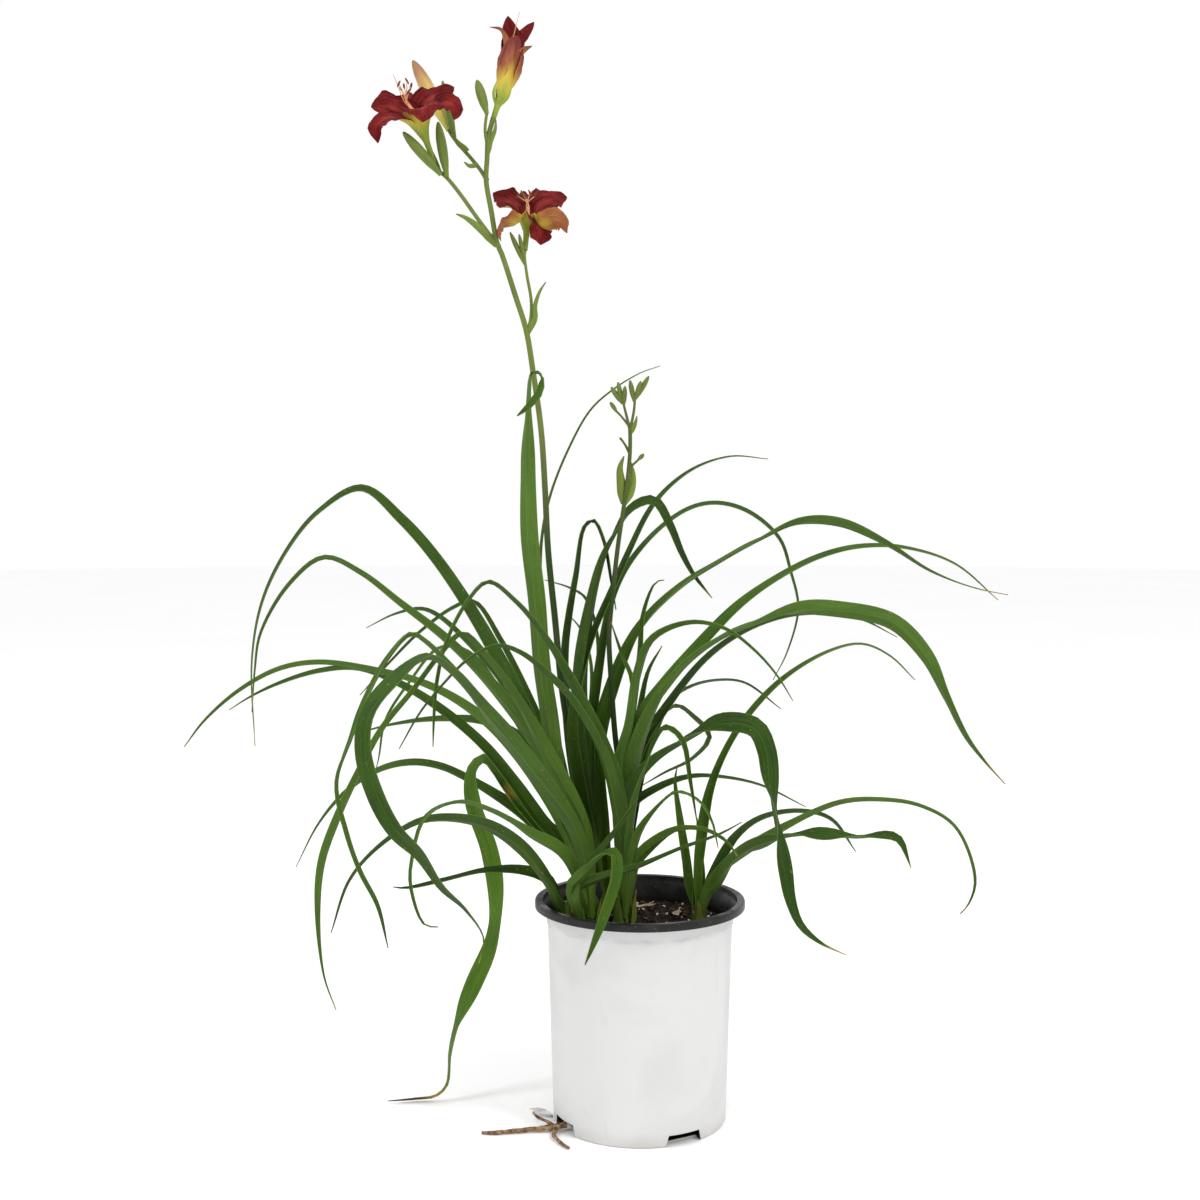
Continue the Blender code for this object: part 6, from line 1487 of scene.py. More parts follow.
@dataclass
class Bloom:
    """One flower: three broad petals and three narrow sepals on one tube."""

    name: str
    foot_spot: Spot
    throat_spot: Spot
    tepals: tuple[Tepal, ...]
    wave: float
    hug: float
    faces: tuple[Finish, Finish]
    tube_finish: Finish
    tube_radius: float = 2.1 * MM
    throat_radius: float = 6.6 * MM
    tube_share: float = 0.72
    thickness: float = 0.55 * MM

    @property
    def seat(self) -> Seat:
        """Foot and direction of the bloom."""
        foot = SKETCH.at_depth(*self.foot_spot)
        return Seat(foot, (self.throat - foot).normalized())

    @property
    def throat(self) -> Vector:
        """Middle of the throat, where the petals part."""
        return SKETCH.at_depth(*self.throat_spot)

    def fullness(self, form: TepalForm, share: float) -> float:
        """Share of the full width at a share of a tepal's length."""
        if share < form.widest:
            return form.root + (1.0 - form.root) * smooth_step(share / form.widest)
        return max(1.0 - ((share - form.widest) / (1.0 - form.widest)) ** 2.2, 0.0) ** 0.8

    def tepal(self, tepal: Tepal, number: int) -> Piece:
        """One petal or sepal as a thin closed blade.

        Args:
            tepal: its sizes and route.
            number: its place in the ring, which shifts its waves.

        Returns:
            The blade.
        """
        seat = self.seat
        form = FORMS[tepal.kind]
        tube = (self.throat - seat.foot).length
        points = [SKETCH.at_depth(*spot) for spot in tepal.sketch]
        offset = points[0] - seat.foot
        out = (offset - seat.axis * offset.dot(seat.axis)).normalized()
        start = [seat.foot + seat.axis * tube * 0.45 + out * 1.4 * MM,
                 seat.foot + seat.axis * tube * 0.86 + out * self.throat_radius]
        route = Route(start + points)
        across_ring = seat.axis.cross(out)
        turns = ((0.2, 0.0), (0.6, tepal.turn_middle), (1.0, tepal.turn_tip))
        cups = ((0.0, 0.9), (0.35, 0.34 + self.hug), (0.7, self.hug), (1.0, 0.2))

        def place(across: float, along: float) -> Vector:
            point, ahead = route.at(along)
            side = (across_ring - ahead * across_ring.dot(ahead)).normalized()
            inner = ahead.cross(side)
            turn = math.radians(profile(turns, along))
            side, inner = (side * math.cos(turn) + inner * math.sin(turn),
                           inner * math.cos(turn) - side * math.sin(turn))
            reach = 1.0 - 2.0 * across
            full = self.fullness(form, along)
            half = max(0.5 * tepal.width * MM * full, 0.3 * MM)
            phase = number * 1.9 + (1.3 if reach > 0.0 else 0.0)
            cup = profile(cups, along) * half * reach * reach
            ruffle = math.sin(along * form.waves + phase) + 0.45 * math.sin(along * 41.0 + phase * 2.0)
            ruffle *= self.wave * MM * full * smooth_step((along - 0.3) * 2.5) * abs(reach) ** 2.2
            rib = form.rib * MM * math.exp(-(reach / 0.16) ** 2) * full
            quilt = 0.12 * MM * math.sin(reach * 26.0 + along * 3.0) * full
            set_back = form.set_back * MM * (1.0 - along)
            fringe = math.sin(along * 33.0 + phase * 3.0) + 0.6 * math.sin(along * 71.0 + phase)
            frill = 1.0 + 0.03 * self.wave * fringe * smooth_step((along - 0.3) * 3.0)
            return point + side * half * reach * frill + inner * (cup + ruffle - rib + quilt - set_back)

        def marks(across: float, along: float) -> dict[str, float]:
            return {"along": along, "sepal": form.sepal}

        blade = Modeller.grid(f"{self.name}_{tepal.kind.value}", form.columns, form.rows, place, marks,
                              stretch=3.0)
        return Modeller.paint(blade, *self.faces, self.tube_finish)

    def core(self) -> Piece:
        """The green tube that carries the petals."""
        seat = self.seat
        end = seat.foot.lerp(self.throat, self.tube_share)
        route = Route([seat.foot, seat.foot.lerp(end, 0.5), end])

        def radius(around: float, share: float) -> float:
            flute = 1.0 + 0.05 * math.cos(around * FULL_TURN * 6.0) * share
            shape = profile(((0.0, 1.0), (0.5, 1.08), (0.8, 1.35), (1.0, 1.6)), share)
            return self.tube_radius * shape * flute

        def marks(around: float, ahead: float) -> dict[str, float]:
            return {"along": ahead * 0.8, "sepal": 0.0}

        core = Modeller.tube(f"{self.name}_tube", route, radius, sides=24, step=1.5 * MM, marks=marks,
                             stretch=2.0)
        return Modeller.paint(core, self.tube_finish, self.faces[1], self.tube_finish)

    def build(self) -> Piece:
        """The flower as one piece."""
        blades = [self.tepal(tepal, number) for number, tepal in enumerate(self.tepals)]
        petals = Modeller.join(f"{self.name}_tepals", blades)
        Modeller.thicken(petals, self.thickness, 1)
        bloom = Modeller.join(f"{self.name}_flower", [petals, self.core()])
        return hand_over(bloom, Crease.PETAL, "petal", self.name)


@dataclass(frozen=True)
class StamenFinish:
    """Salmon filaments and dark anthers."""

    filament: Colour = (0.560, 0.235, 0.120)
    filament_light: Colour = (0.86, 0.46, 0.20)
    anther: Colour = (0.090, 0.022, 0.014)
    anther_light: Colour = (0.20, 0.060, 0.028)

    def pair(self) -> tuple[Finish, Finish]:
        """The finishes of the filaments and of the anthers."""
        rows = (("filament", self.filament, self.filament_light),
                ("anther", self.anther, self.anther_light))
        filament, anther = (Shade.mottled(name, 900.0, 2.0, 0.0001, ((0.35, base), (0.7, light)),
                                          roughness=0.6, specular_ior_level=0.3)
                            for name, base, light in rows)
        return filament, anther


@dataclass
class Stamens:
    """The six stamens and the longer style of one bloom."""

    name: str
    node: str
    throat: Spot
    middle: Spot
    tips: tuple[Spot, ...]
    style: Spot
    seat: Seat
    finishes: tuple[Finish, Finish]
    sunk: float = 9.0 * MM
    bundle: float = 1.1 * MM
    anther_reach: float = 2.7 * MM
    anther_radius: float = 0.95 * MM

    def thread(self, tip: Spot, number: int, radius: float, taper: float) -> tuple[Piece, Route]:
        """A filament that leaves the throat and bends upwards."""
        throat = SKETCH.at_depth(*self.throat)
        middle = SKETCH.at_depth(*self.middle)
        end = SKETCH.at_depth(*tip)
        turn = FULL_TURN * number / len(self.tips)
        spread = (RIGHT * math.cos(turn) + UP.cross(RIGHT) * math.sin(turn)) * self.bundle
        start = throat - self.seat.axis * self.sunk
        route = Route([start + spread * 0.5, throat + spread * 0.8, middle.lerp(end, 0.12) + spread,
                       middle.lerp(end, 0.6) + spread * 0.5, end])
        rod = Modeller.tube(f"{self.name}_filament", route,
                            lambda around, share: radius * (1.0 - taper * share), sides=10, step=1.8 * MM)
        return Modeller.paint(rod, *self.finishes), route

    def anther(self, route: Route, number: int) -> Piece:
        """A long pollen sac, balanced on the end of its filament."""
        tip, along = route.at(1.0)
        lean = Vector((math.cos(number * 1.7), math.sin(number * 1.7), 0.9)).normalized()
        run = (lean + along * 0.5).normalized() * self.anther_reach
        body = Route([tip - run, tip + along * 0.3 * MM, tip + run])

        def radius(around: float, share: float) -> float:
            furrow = 1.0 - 0.3 * max(math.cos(FULL_TURN * around), 0.0) ** 4
            fullness = math.sqrt(max(math.sin(math.pi * (0.06 + 0.88 * share)), 0.0))
            return self.anther_radius * fullness * furrow

        sac = Modeller.tube(f"{self.name}_anther", body, radius, sides=12, step=0.5 * MM)
        return Modeller.paint(sac, self.finishes[1], self.finishes[1])

    def build(self) -> Piece:
        """All the threads as one piece."""
        parts = []
        for number, tip in enumerate(self.tips):
            rod, route = self.thread(tip, number, radius=0.6 * MM, taper=0.3)
            parts += [rod, self.anther(route, number)]
        parts.append(self.thread(self.style, 3, radius=0.5 * MM, taper=0.45)[0])
        threads = Modeller.join(f"{self.name}_threads", parts)
        return hand_over(threads, Crease.SOFT, "stamen", self.node)


@dataclass
class Roots:
    """Dry roots that creep out of a foot notch, with nodules."""

    name: str
    strands: tuple[tuple, ...]
    lowest: float = 0.3 * MM
    bark: Stops = (
        (0.3, (0.045, 0.026, 0.016)), (0.5, (0.20, 0.115, 0.060)), (0.72, (0.40, 0.27, 0.15)))

    def strand(self, radius_foot: float, radius_end: float, points: tuple[Spot, ...]) -> Piece:
        """One root with uneven swellings."""
        route = Route([Vector(point) * MM for point in points])

        def radius(around: float, share: float) -> float:
            spot, _ = route.at(share)
            lump = noise.noise(spot * 260.0 + Vector((around * 3.0, 0.0, 0.0)))
            return (radius_foot + (radius_end - radius_foot) * share) * MM * (1.0 + 0.5 * lump)

        return Modeller.tube(f"{self.name}_strand", route, radius, sides=12, step=1.1 * MM)

    def nodule(self, share: float, size: float, draw: random.Random) -> Piece:
        """A dark lump on the longest root."""
        route = Route([Vector(point) * MM for point in self.strands[0][2]])
        spot, _ = route.at(share)
        Modeller.deselect()
        bpy.ops.mesh.primitive_ico_sphere_add(subdivisions=3, radius=size * MM)
        lump = bpy.context.object
        for vertex in lump.data.vertices:
            rough = 1.0 + 0.35 * noise.noise(vertex.co * 420.0 + spot * 90.0)
            x, y, z = vertex.co
            vertex.co = spot + Vector((x * draw.uniform(0.9, 1.2), y, z * 0.7)) * rough
        return lump

    def build(self) -> Piece:
        """The roots as one piece that lies on the ground."""
        draw = random.Random("roots")
        parts = [self.strand(*row) for row in self.strands]
        parts += [self.nodule(share, size, draw) for share, size in NODULES]
        roots = Modeller.join(f"{self.name}_bark", parts)
        for vertex in roots.data.vertices:
            vertex.co.z = max(vertex.co.z, self.lowest)
        bark = Shade.mottled("root_bark", 260.0, 4.0, 0.0009, self.bark,
                             roughness=0.8, specular_ior_level=0.2)
        return hand_over(Modeller.paint(roots, bark), Crease.SOFT, "root", self.name)


@dataclass
class Film:
    """A torn scrap of thin white film that lies on the ground beside the pot's foot."""

    middle: float = math.radians(-172.0)
    spread: float = math.radians(19.0)
    low: float = 1.5 * MM
    rise: float = 3.0 * MM
    tall: float = 10.0 * MM
    reach: float = 17.0 * MM
    radius: float = 69.3 * MM
    thickness: float = 0.3 * MM
    milk: Stops = ((0.3, (0.42, 0.42, 0.41)), (0.45, (0.78, 0.78, 0.79)))

    def build(self) -> Piece:
        """The scrap as a thin closed sheet, creased and a little dirty."""
        def place(across: float, along: float) -> Vector:
            torn = 1.0 + 0.14 * math.sin(across * 11.0) + 0.07 * math.sin(across * 31.0)
            out = self.radius + self.reach * along * torn
            sway = 0.08 * math.sin(across * 9.0 + along * 5.0)
            angle = self.middle + self.spread * (0.25 * across + sway)
            rise = self.rise * along + self.tall * across * (0.55 + 0.45 * along)
            return Vector((math.cos(angle) * out, math.sin(angle) * out, self.low + rise))

        scrap = Modeller.grid("film_scrap", 14, 16, place)
        Modeller.thicken(scrap, self.thickness)
        film = Shade.mottled("film", 160.0, 3.0, 0.0006, self.milk, roughness=0.45)
        return hand_over(Modeller.paint(scrap, film), Crease.SOFT, "pot")


@dataclass
class Pot:
    """A thin pot, white outside and black inside, with a flared top, a rolled rim and foot notches."""

    height: float = 176.0 * MM
    rim_radius: float = 82.8 * MM
    wall_top: float = 73.2 * MM
    flare: float = 75.6 * MM
    opening: float = 76.6 * MM
    base: float = 68.3 * MM
    wall: float = 1.6 * MM
    floor: float = 2.2 * MM
    lip_height: float = 5.6 * MM
    ring_below_lip: float = 12.0 * MM
    levels: tuple[float, ...] = (14.0, 40.0, 80.0, 120.0)
    notches: int = 4
    notch_turn: float = math.radians(-61.0)
    notch_reach: tuple[float, float] = (-8.0 * MM, 6.0 * MM)
    notch_heights: tuple[float, float] = (-3.0 * MM, 9.0 * MM)
    notch_halves: tuple[float, float] = (16.5 * MM, 13.5 * MM)
    sides: int = 144
    # The darker grey band under the rim: its middle height and half height.
    under_rim_grey_height: float = 160.5 * MM
    under_rim_grey_half: float = 4.5 * MM
    mud_height: float = 12.0 * MM
    clean: Colour = (0.62, 0.62, 0.615)
    smudge: Colour = (0.52, 0.52, 0.515)
    scuff: Colour = (0.55, 0.55, 0.54)
    under_rim_grey: Colour = (0.40, 0.41, 0.42)
    mud: Colour = (0.46, 0.42, 0.36)
    jet: Colour = (0.006, 0.006, 0.006)
    dusty: Colour = (0.030, 0.027, 0.024)
    speck: Colour = (0.16, 0.13, 0.10)

    @property
    def lip(self) -> float:
        """Height of the underside of the rim."""
        return self.height - self.lip_height

    def wall_radius(self, z: float) -> float:
        """Outer radius of the wall at a height."""
        return self.base + (self.wall_top - self.base) * z / self.lip

    def outline(self) -> list[tuple[float, float]]:
        """The section of the wall, from the underside round the rim to the floor.

        Returns:
            Radius and height of each corner, in metres.
        """
        lip, top, floor = self.lip, self.height, self.floor
        base, flare, rim, opening = self.base, self.flare, self.rim_radius, self.opening
        ring = lip - self.ring_below_lip
        shoulder = self.wall_radius(ring)
        inner = base - self.wall
        low_wall = self.wall_radius(self.levels[0] * MM) - self.wall
        corners = (
            (0.0, 0.0, 0.0, 0.0), (base, -1.8, 0.0, 0.0), (base, -0.5, 0.0, 0.5), (base, 0.0, 0.0, 1.8),
            *((self.wall_radius(z * MM), 0.0, 0.0, z) for z in self.levels),
            (self.wall_radius(ring - 2.0 * MM), 0.0, ring, -2.0), (shoulder, 0.5, ring, -0.8),
            (shoulder, 0.7, ring, 0.0), (flare, -1.2, lip, -5.0), (flare, 0.0, lip, 0.2),
            (flare, 1.2, lip, 1.6), (flare, 2.8, lip, 2.4), (rim, -2.0, lip, 2.6), (rim, -1.2, lip, 0.0),
            (rim, 0.0, lip, 0.0), (rim, 0.0, top, -1.4), (rim, -0.4, top, -0.4), (rim, -1.4, top, 0.0),
            (opening, 1.0, top, 0.0), (opening, 0.2, top, -0.3), (opening, 0.0, top, -1.0),
            (opening, -0.3, lip, 2.0), (opening, -0.9, lip, 1.1), (flare - self.wall, 0.0, lip, -0.6),
            (shoulder - self.wall, 0.0, ring, 0.0), (low_wall, 0.0, 0.0, self.levels[0]),
            (inner, 0.0, floor, 1.6), (inner, -0.5, floor, 0.5), (inner, -1.6, floor, 0.0),
            (0.0, 0.0, floor, 0.0),
        )
        return [(radius + out * MM, height + up * MM) for radius, out, height, up in corners]

    def notch(self, number: int) -> Piece:
        """The cutter of one foot notch."""
        Modeller.deselect()
        bpy.ops.mesh.primitive_cube_add(size=2.0)
        cutter = bpy.context.object
        for vertex in cutter.data.vertices:
            x, y, z = vertex.co
            half = math.copysign(self.notch_halves[z > 0.0], y)
            vertex.co = Vector((self.base + self.notch_reach[x > 0.0], half, self.notch_heights[z > 0.0]))
        cutter.data.transform(Matrix.Rotation(self.notch_turn + FULL_TURN * number / self.notches, 4, "Z"))
        return cutter

    def white(self) -> Finish:
        """Matt white plastic with smudges, scuffs, a patchy darker grey band under the rim and a muddy
        foot.
        """
        shade = Shade("white_plastic", roughness=0.5, specular_ior_level=0.35)
        place = shade.object_space()
        broad = shade.grain(place, 14.0, 4.0, 0.6)
        fine = shade.grain(shade.object_space((1.0, 1.0, 0.25)), 130.0)
        base = shade.mix(shade.spread(broad, 0.5, 0.72, 0.0, 0.5), self.clean, self.smudge)
        base = shade.mix(shade.spread(fine, 0.64, 0.74, 0.0, 0.35), base, self.scuff)
        height = shade.add("SeparateXYZ", {0: place}).outputs[2]
        # A patchy darker grey band just under the rim.
        off_band = shade.sum("ABSOLUTE", shade.sum("SUBTRACT", height, self.under_rim_grey_height))
        band_noise = shade.grain(shade.object_space((1.0, 1.0, 3.0)), 46.0, 4.0)
        band_share = shade.spread(band_noise, 0.4, 0.66, 0.0, 0.7)
        band_share = shade.sum("MULTIPLY", shade.fade(off_band, 0.0, self.under_rim_grey_half), band_share)
        base = shade.mix(band_share, base, self.under_rim_grey)
        foot = shade.fade(height, 0.0, self.mud_height, 0.55)
        foot = shade.sum("MULTIPLY", foot, shade.spread(broad, 0.3, 0.6))
        shade.feed("Base Color", shade.mix(foot, base, self.mud))
        shade.feed("Roughness", shade.spread(broad, 0.3, 0.7, 0.42, 0.6))
        shade.relief(shade.weigh((broad, 1.0), (fine, 0.2)), 0.0003)
        return shade.material

    def black(self) -> Finish:
        """Black plastic of the rim and the inside, dusty with soil."""
        shade = Shade("black_plastic", roughness=0.42, specular_ior_level=0.3)
        place = shade.object_space()
        dust = shade.spread(shade.grain(place, 60.0, 5.0, 0.4), 0.46, 0.74, 0.0, 0.75)
        specks = shade.spread(shade.grain(place, 700.0, 1.0), 0.68, 0.74, 0.0, 0.5)
        shade.feed("Base Color", shade.mix(specks, shade.mix(dust, self.jet, self.dusty), self.speck))
        shade.feed("Roughness", shade.spread(dust, 0.0, 0.7, 0.36, 0.75))
        shade.relief(dust, 0.0002)
        return shade.material

    def is_black(self, face: bpy.types.MeshPolygon) -> bool:
        """Whether a face belongs to the rim or the inside."""
        middle = face.center
        around = math.hypot(middle.x, middle.y)
        if middle.z > 0.5 * self.height:
            inside = middle.x * face.normal.x + middle.y * face.normal.y < 0.0
        else:
            inside = around < self.wall_radius(middle.z) - 0.5 * self.wall and middle.z > 0.8 * self.floor
        rim = around > self.flare + 0.4 * MM and middle.z > self.lip - 0.1 * MM
        return inside or rim or middle.z > self.height - 0.9 * MM

    def build(self) -> Piece:
        """The pot as one piece with two finishes."""
        pot = Modeller.lathe("nursery_pot", self.outline(), self.sides)
        for number in range(self.notches):
            cutter = self.notch(number)
            modifier = pot.modifiers.new("notch", "BOOLEAN")
            modifier.operation = "DIFFERENCE"
            modifier.solver = "EXACT"
            modifier.object = cutter
            bpy.context.view_layer.objects.active = pot
            bpy.ops.object.modifier_apply(modifier=modifier.name)
            bpy.data.objects.remove(cutter)
        pot.data.materials.clear()
        Modeller.paint(pot, self.white(), self.black())
        for face in pot.data.polygons:
            face.material_index = int(self.is_black(face))
        return hand_over(pot, Crease.MOULDED, "pot", "pot")


@dataclass
class Soil:
    """Dark soil with perlite, bark crumbs and dry scraps."""

    reach: float = 69.9 * MM
    foot: float = 64.8 * MM
    floor: float = 2.7 * MM
    top_share: float = 0.86
    rings: int = 62
    sides: int = 150
    grain_rough: float = 0.3
    scrap_thickness: float = 0.3 * MM
    twig_ends: tuple[Spot, Spot] = ((18.0, -48.0, 153.5), (11.0, -50.0, 164.0))
    twig_radius: float = 1.5 * MM

    def height(self, x: float, y: float) -> float:
        """Height of the settled surface."""
        bump = 2.5 * MM * math.exp(-((x + 20.0 * MM) ** 2 + y * y) / (45.0 * MM) ** 2) - 1.5 * MM
        wave = math.sin(190.0 * x + 1.0) * math.cos(230.0 * y) + 0.6 * math.sin(410.0 * x - 330.0 * y)
        return SOIL_LEVEL + bump + 1.1 * MM * wave

    def rough(self, x: float, y: float) -> float:
        """Crumb and clod relief on top of the settled surface."""
        spot = Vector((x, y, 0.0))
        crumbs = 0.9 * noise.noise(spot * 420.0) + 0.7 * noise.noise(spot * 900.0)
        clods = 1.5 * max(noise.noise(spot * 150.0 + Vector((7.0, 3.0, 0.0))), 0.0)
        return (crumbs + clods) * MM

    def ground(self) -> Piece:
        """The soil body: a crumbly top and a plain side."""
        def place(around: float, along: float) -> Vector:
            turn = FULL_TURN * around
            top = min(along / self.top_share, 1.0)
            x, y = math.cos(turn) * self.reach * top, math.sin(turn) * self.reach * top
            if along <= self.top_share + 0.001:
                edge = smooth_step((1.0 - top) * 30.0)
                return Vector((x, y, self.height(x, y) + self.rough(x, y) * edge))
            down = (along - self.top_share) / (1.0 - self.top_share)
            if down > 0.95:
                return Vector((0.0, 0.0, self.floor))
            outer = self.reach + (self.foot - self.reach) * down
            z = self.height(x, y) * (1.0 - down) + self.floor * down
            return Vector((math.cos(turn) * outer, math.sin(turn) * outer, z))

        return Modeller.grid("soil_bed", self.sides, self.rings, place, closed=True)

    def litter(self, name: str, count: int, low: float, high: float, finish: Finish,
               lift: float, flat: float) -> Piece:
        """Grains scattered over the surface.

        Args:
            name: name of the piece, which also seeds its chance.
            count: how many grains.
            low: least radius in mm.
            high: greatest radius in mm.
            finish: their finish.
            lift: how far they stand out, as a share of their radius.
            flat: their height as a share of their radius.

        Returns:
            The grains as one piece.
        """
        draw = random.Random(name)
        Modeller.deselect()
        bpy.ops.mesh.primitive_ico_sphere_add(subdivisions=2 if high > 1.0 else 1, radius=1.0)
        grains = []
        for _ in range(count):
            radius = (self.reach - high * MM - 0.5 * MM) * math.sqrt(draw.random())
            turn = draw.uniform(0.0, FULL_TURN)
            x, y = radius * math.cos(turn), radius * math.sin(turn)
            size = draw.uniform(low, high) * MM
            grains.append(Matrix.Translation((x, y, self.height(x, y) + self.rough(x, y) + lift * size))
                          @ Matrix.Rotation(draw.uniform(0.0, 6.3), 4, "Z")
                          @ Matrix.Rotation(draw.uniform(-0.6, 0.6), 4, "X")
                          @ Matrix.Diagonal((size * draw.uniform(0.8, 1.5), size, size * flat, 1.0)))
        heap = Modeller.heap(name, bpy.context.object, grains, self.grain_rough, draw)
        return hand_over(Modeller.paint(heap, finish), Crease.GROWN, "soil")

    def scrap(self, x: float, y: float, length: float, width: float, turn: float,
              curl: float) -> Piece:
        """A dry curled scrap of an old leaf that lies on the soil."""
        ahead = Vector((math.cos(turn), math.sin(turn), 0.0))
        side = Vector((-math.sin(turn), math.cos(turn), 0.0))

        def place(across: float, along: float) -> Vector:
            reach = 2.0 * across - 1.0
            taper = max(1.0 - abs(2.0 * along - 0.9) ** 2.5, 0.06)
            half = 0.5 * width * MM * taper * (1.0 + 0.2 * math.sin(along * 13.0 + reach))
            spot = Vector((x * MM, y * MM, 0.0)) + ahead * (along - 0.5) * length * MM + side * half * reach
            lift = (1.6 + curl * reach * reach * taper + 1.4 * curl * (2.0 * along - 1.0) ** 2
                    + 0.4 * math.sin(along * 9.0 + reach * 3.0)) * MM
            return Vector((spot.x, spot.y, self.height(spot.x, spot.y) + lift))

        piece = Modeller.grid("dry_scrap", 6, 22, place, stretch=3.0)
        Modeller.thicken(piece, self.scrap_thickness)
        return piece

    def twig(self) -> Piece:
        """A short dark twig that sticks out of the soil."""
        start, end = (Vector(point) * MM for point in self.twig_ends)
        middle = start.lerp(end, 0.5) + Vector((1.0, 0.0, 0.6)) * MM
        return Modeller.tube("dark_twig", Route([start, middle, end]),
                             lambda around, share: self.twig_radius * (1.0 - 0.45 * share),
                             sides=10, step=1.5 * MM)

    def finish(self, name: str, scale: float, depth: float, *stops: tuple[float, Colour]) -> Finish:
        """A crumbly finish with its own colours."""
        shade = Shade(name, roughness=0.92, specular_ior_level=0.15)
        grain = shade.grain(shade.object_space(), scale, 5.0)
        fine = shade.grain(shade.object_space(), scale * 4.3, 2.0)
        blend = shade.weigh((grain, 0.6), (fine, 0.4))
        shade.feed("Base Color", shade.ramp(blend, *stops))
        shade.relief(blend, depth)
        return shade.material

    def build(self) -> None:
        """The soil and what lies on it."""
        finishes = {row[0]: self.finish(*row) for row in SOIL_FINISHES}
        bed = Modeller.paint(self.ground(), finishes["soil_crumb"])
        hand_over(bed, Crease.SOIL, "soil", "soil")
        for name, (count, low, high, finish, lift, flat) in LITTER.items():
            self.litter(name, count, low, high, finishes[finish], lift, flat)
        scraps = Modeller.join("dry_scraps", [self.scrap(*row) for row in SCRAPS])
        hand_over(Modeller.paint(scraps, finishes["dry_leaf"]), Crease.SOFT, "soil")
        hand_over(Modeller.paint(self.twig(), finishes["bark"]), Crease.SOFT, "soil")


@dataclass
class Studio:
    """A pale floor, a bright even surround and soft lights that the picture was taken with."""

    lens: float = 50.31
    sensor: float = 36.0
    sight_range: tuple[float, float] = (0.05, 60.0)
    floor_radius: float = 9.0
    floor_colours: Stops = ((0.3, (0.955, 0.955, 0.955)), (0.7, (0.97, 0.97, 0.97)))
    lamps: tuple[tuple[str, Spot, float], ...] = (
        ("key", (1.5, -1.3, 2.4), 28.0), ("fill", (-1.7, -1.1, 2.0), 18.0))
    lamp_size: float = 0.6
    lamp_goal: Spot = (0.0, 0.0, 0.4)

    def floor(self) -> None:
        """The floor that the pot stands on."""
        Modeller.deselect()
        bpy.ops.mesh.primitive_circle_add(vertices=96, radius=self.floor_radius, fill_type="NGON")
        floor = bpy.context.object
        floor.name = "studio_floor"
        shade = Shade("floor_paint", roughness=0.75, specular_ior_level=0.1)
        grain = shade.grain(shade.object_space(), 2.0, 2.0)
        shade.feed("Base Color", shade.ramp(grain, *self.floor_colours))
        Modeller.paint(floor, shade.material)

    def lamp(self, name: str, place: Spot, power: float) -> None:
        """A square soft light that looks at the plant."""
        Modeller.deselect()
        bpy.ops.object.light_add(type="AREA", location=place)
        lamp = bpy.context.object
        lamp.name = name
        lamp.data.shape = "SQUARE"
        lamp.data.size = self.lamp_size
        lamp.data.energy = power
        lamp.rotation_euler = (Vector(self.lamp_goal) - Vector(place)).to_track_quat("-Z", "Y").to_euler()

    def surround(self) -> None:
        """The bright even surround."""
        world = bpy.data.worlds.new("surround")
        world.use_nodes = True
        back = world.node_tree.nodes["Background"]
        back.inputs[0].default_value = (1.0, 1.0, 1.0, 1.0)
        back.inputs[1].default_value = 1.0
        bpy.context.scene.world = world
        bpy.context.scene.view_settings.view_transform = "Standard"

    def camera(self) -> None:
        """The camera at the eye of the sketch."""
        Modeller.deselect()
        tilt = 0.5 * math.pi - SKETCH.look_down
        bpy.ops.object.camera_add(location=SKETCH.eye, rotation=(tilt, 0.0, 0.0))
        camera = bpy.context.object
        camera.name = "eye"
        camera.data.lens = self.lens
        camera.data.sensor_width = self.sensor
        camera.data.clip_start, camera.data.clip_end = self.sight_range
        bpy.context.scene.camera = camera

    def build(self) -> None:
        """All that surrounds the plant."""
        self.floor()
        self.surround()
        for row in self.lamps:
            self.lamp(*row)
        self.camera()


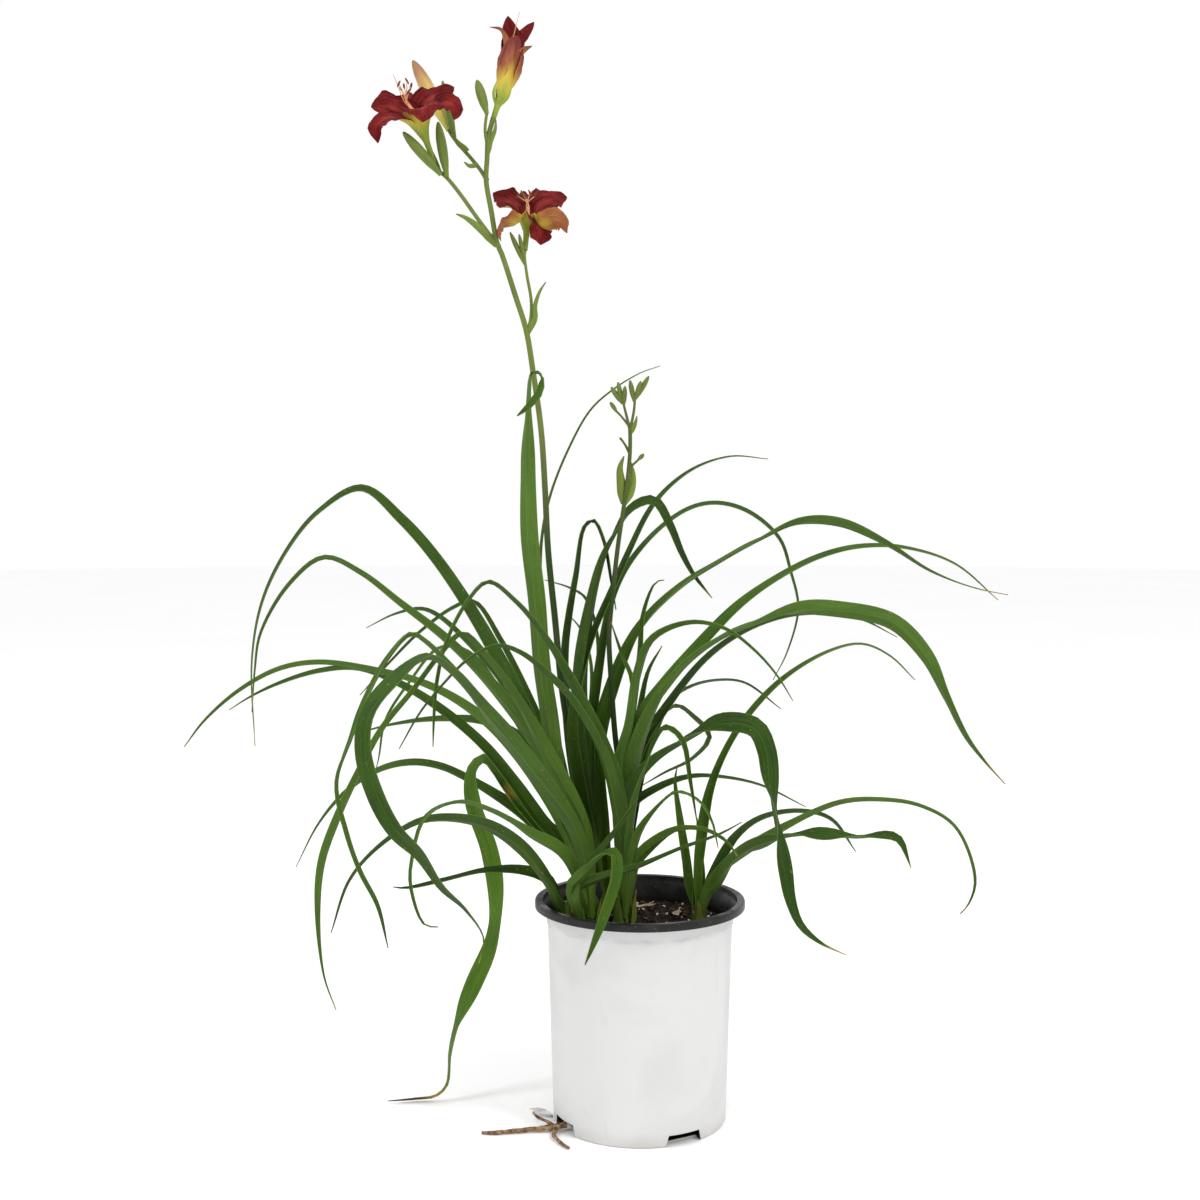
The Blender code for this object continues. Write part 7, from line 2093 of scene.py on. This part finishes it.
def grow_leaves() -> None:
    """Build every fan's leaves and its foot."""
    finish = LeafFinish()
    upper = finish.material("leaf_upper", False)
    under = finish.material("leaf_under", True)
    leaves = [Leaf(*row) for row in LEAVES]
    for name, sheaths in SHEATHS.items():
        LeafFan(name, [leaf for leaf in leaves if leaf.fan == name], FEET[name], upper, under).build()
        Crown(name, FEET[name], upper, under, sheaths).build()


def grow_flowers() -> None:
    """Build the flower stems and what they bear."""
    petals = PetalFinish()
    faces = (petals.inside(), petals.outside())
    tube = petals.tube()
    blooms = {}
    for name, (foot, throat, wave, hug, rows) in BLOOMS.items():
        tepals = tuple(Tepal(Kind(kind), *row) for kind, *row in rows)
        blooms[name] = Bloom(name, foot, throat, tepals, wave, hug, faces, tube)
    seats = {name: bloom.seat for name, bloom in blooms.items()}
    thickness, near, far, low, high = LARGE_BUD
    bud_foot = SKETCH.at_depth(*low, near)
    bud_tip = SKETCH.at_depth(*high, far)
    seats["bud_large"] = Seat(bud_foot, (bud_tip - bud_foot).normalized())
    skin = StemFinish().material("stem_skin")
    for name, stem, twigs, bracts, buds, young, out_of_shade_share in (
            ("scape_tall", TALL_STEM, TALL_TWIGS, TALL_BRACTS, TALL_BUDS, 0.4, 0.55),
            ("scape_young", YOUNG_STEM, YOUNG_TWIGS, YOUNG_BRACTS, YOUNG_BUDS, 0.14, 0.76)):
        FlowerStem(name, FEET[name], Twig(*stem), [Twig(*row) for row in twigs], bracts, buds, seats, skin,
                   young, out_of_shade_share).build()
    for bloom in blooms.values():
        bloom.build()
    threads = StamenFinish().pair()
    for name, row in STAMENS.items():
        Stamens(name, name.replace("bloom", "stamens"), *row, seats[name], threads).build()
    ColouredBud("bud_large", seats["bud_large"], bud_tip, thickness).build()


def main() -> None:
    """Build every piece round the frame."""
    logging.basicConfig(level=logging.INFO, format="%(name)s: %(message)s")
    grow_leaves()
    grow_flowers()
    Roots("roots", ROOTS).build()
    for piece in (Film(), Pot(), Soil(), Studio()):
        piece.build()


if __name__ == "__main__":
    main()
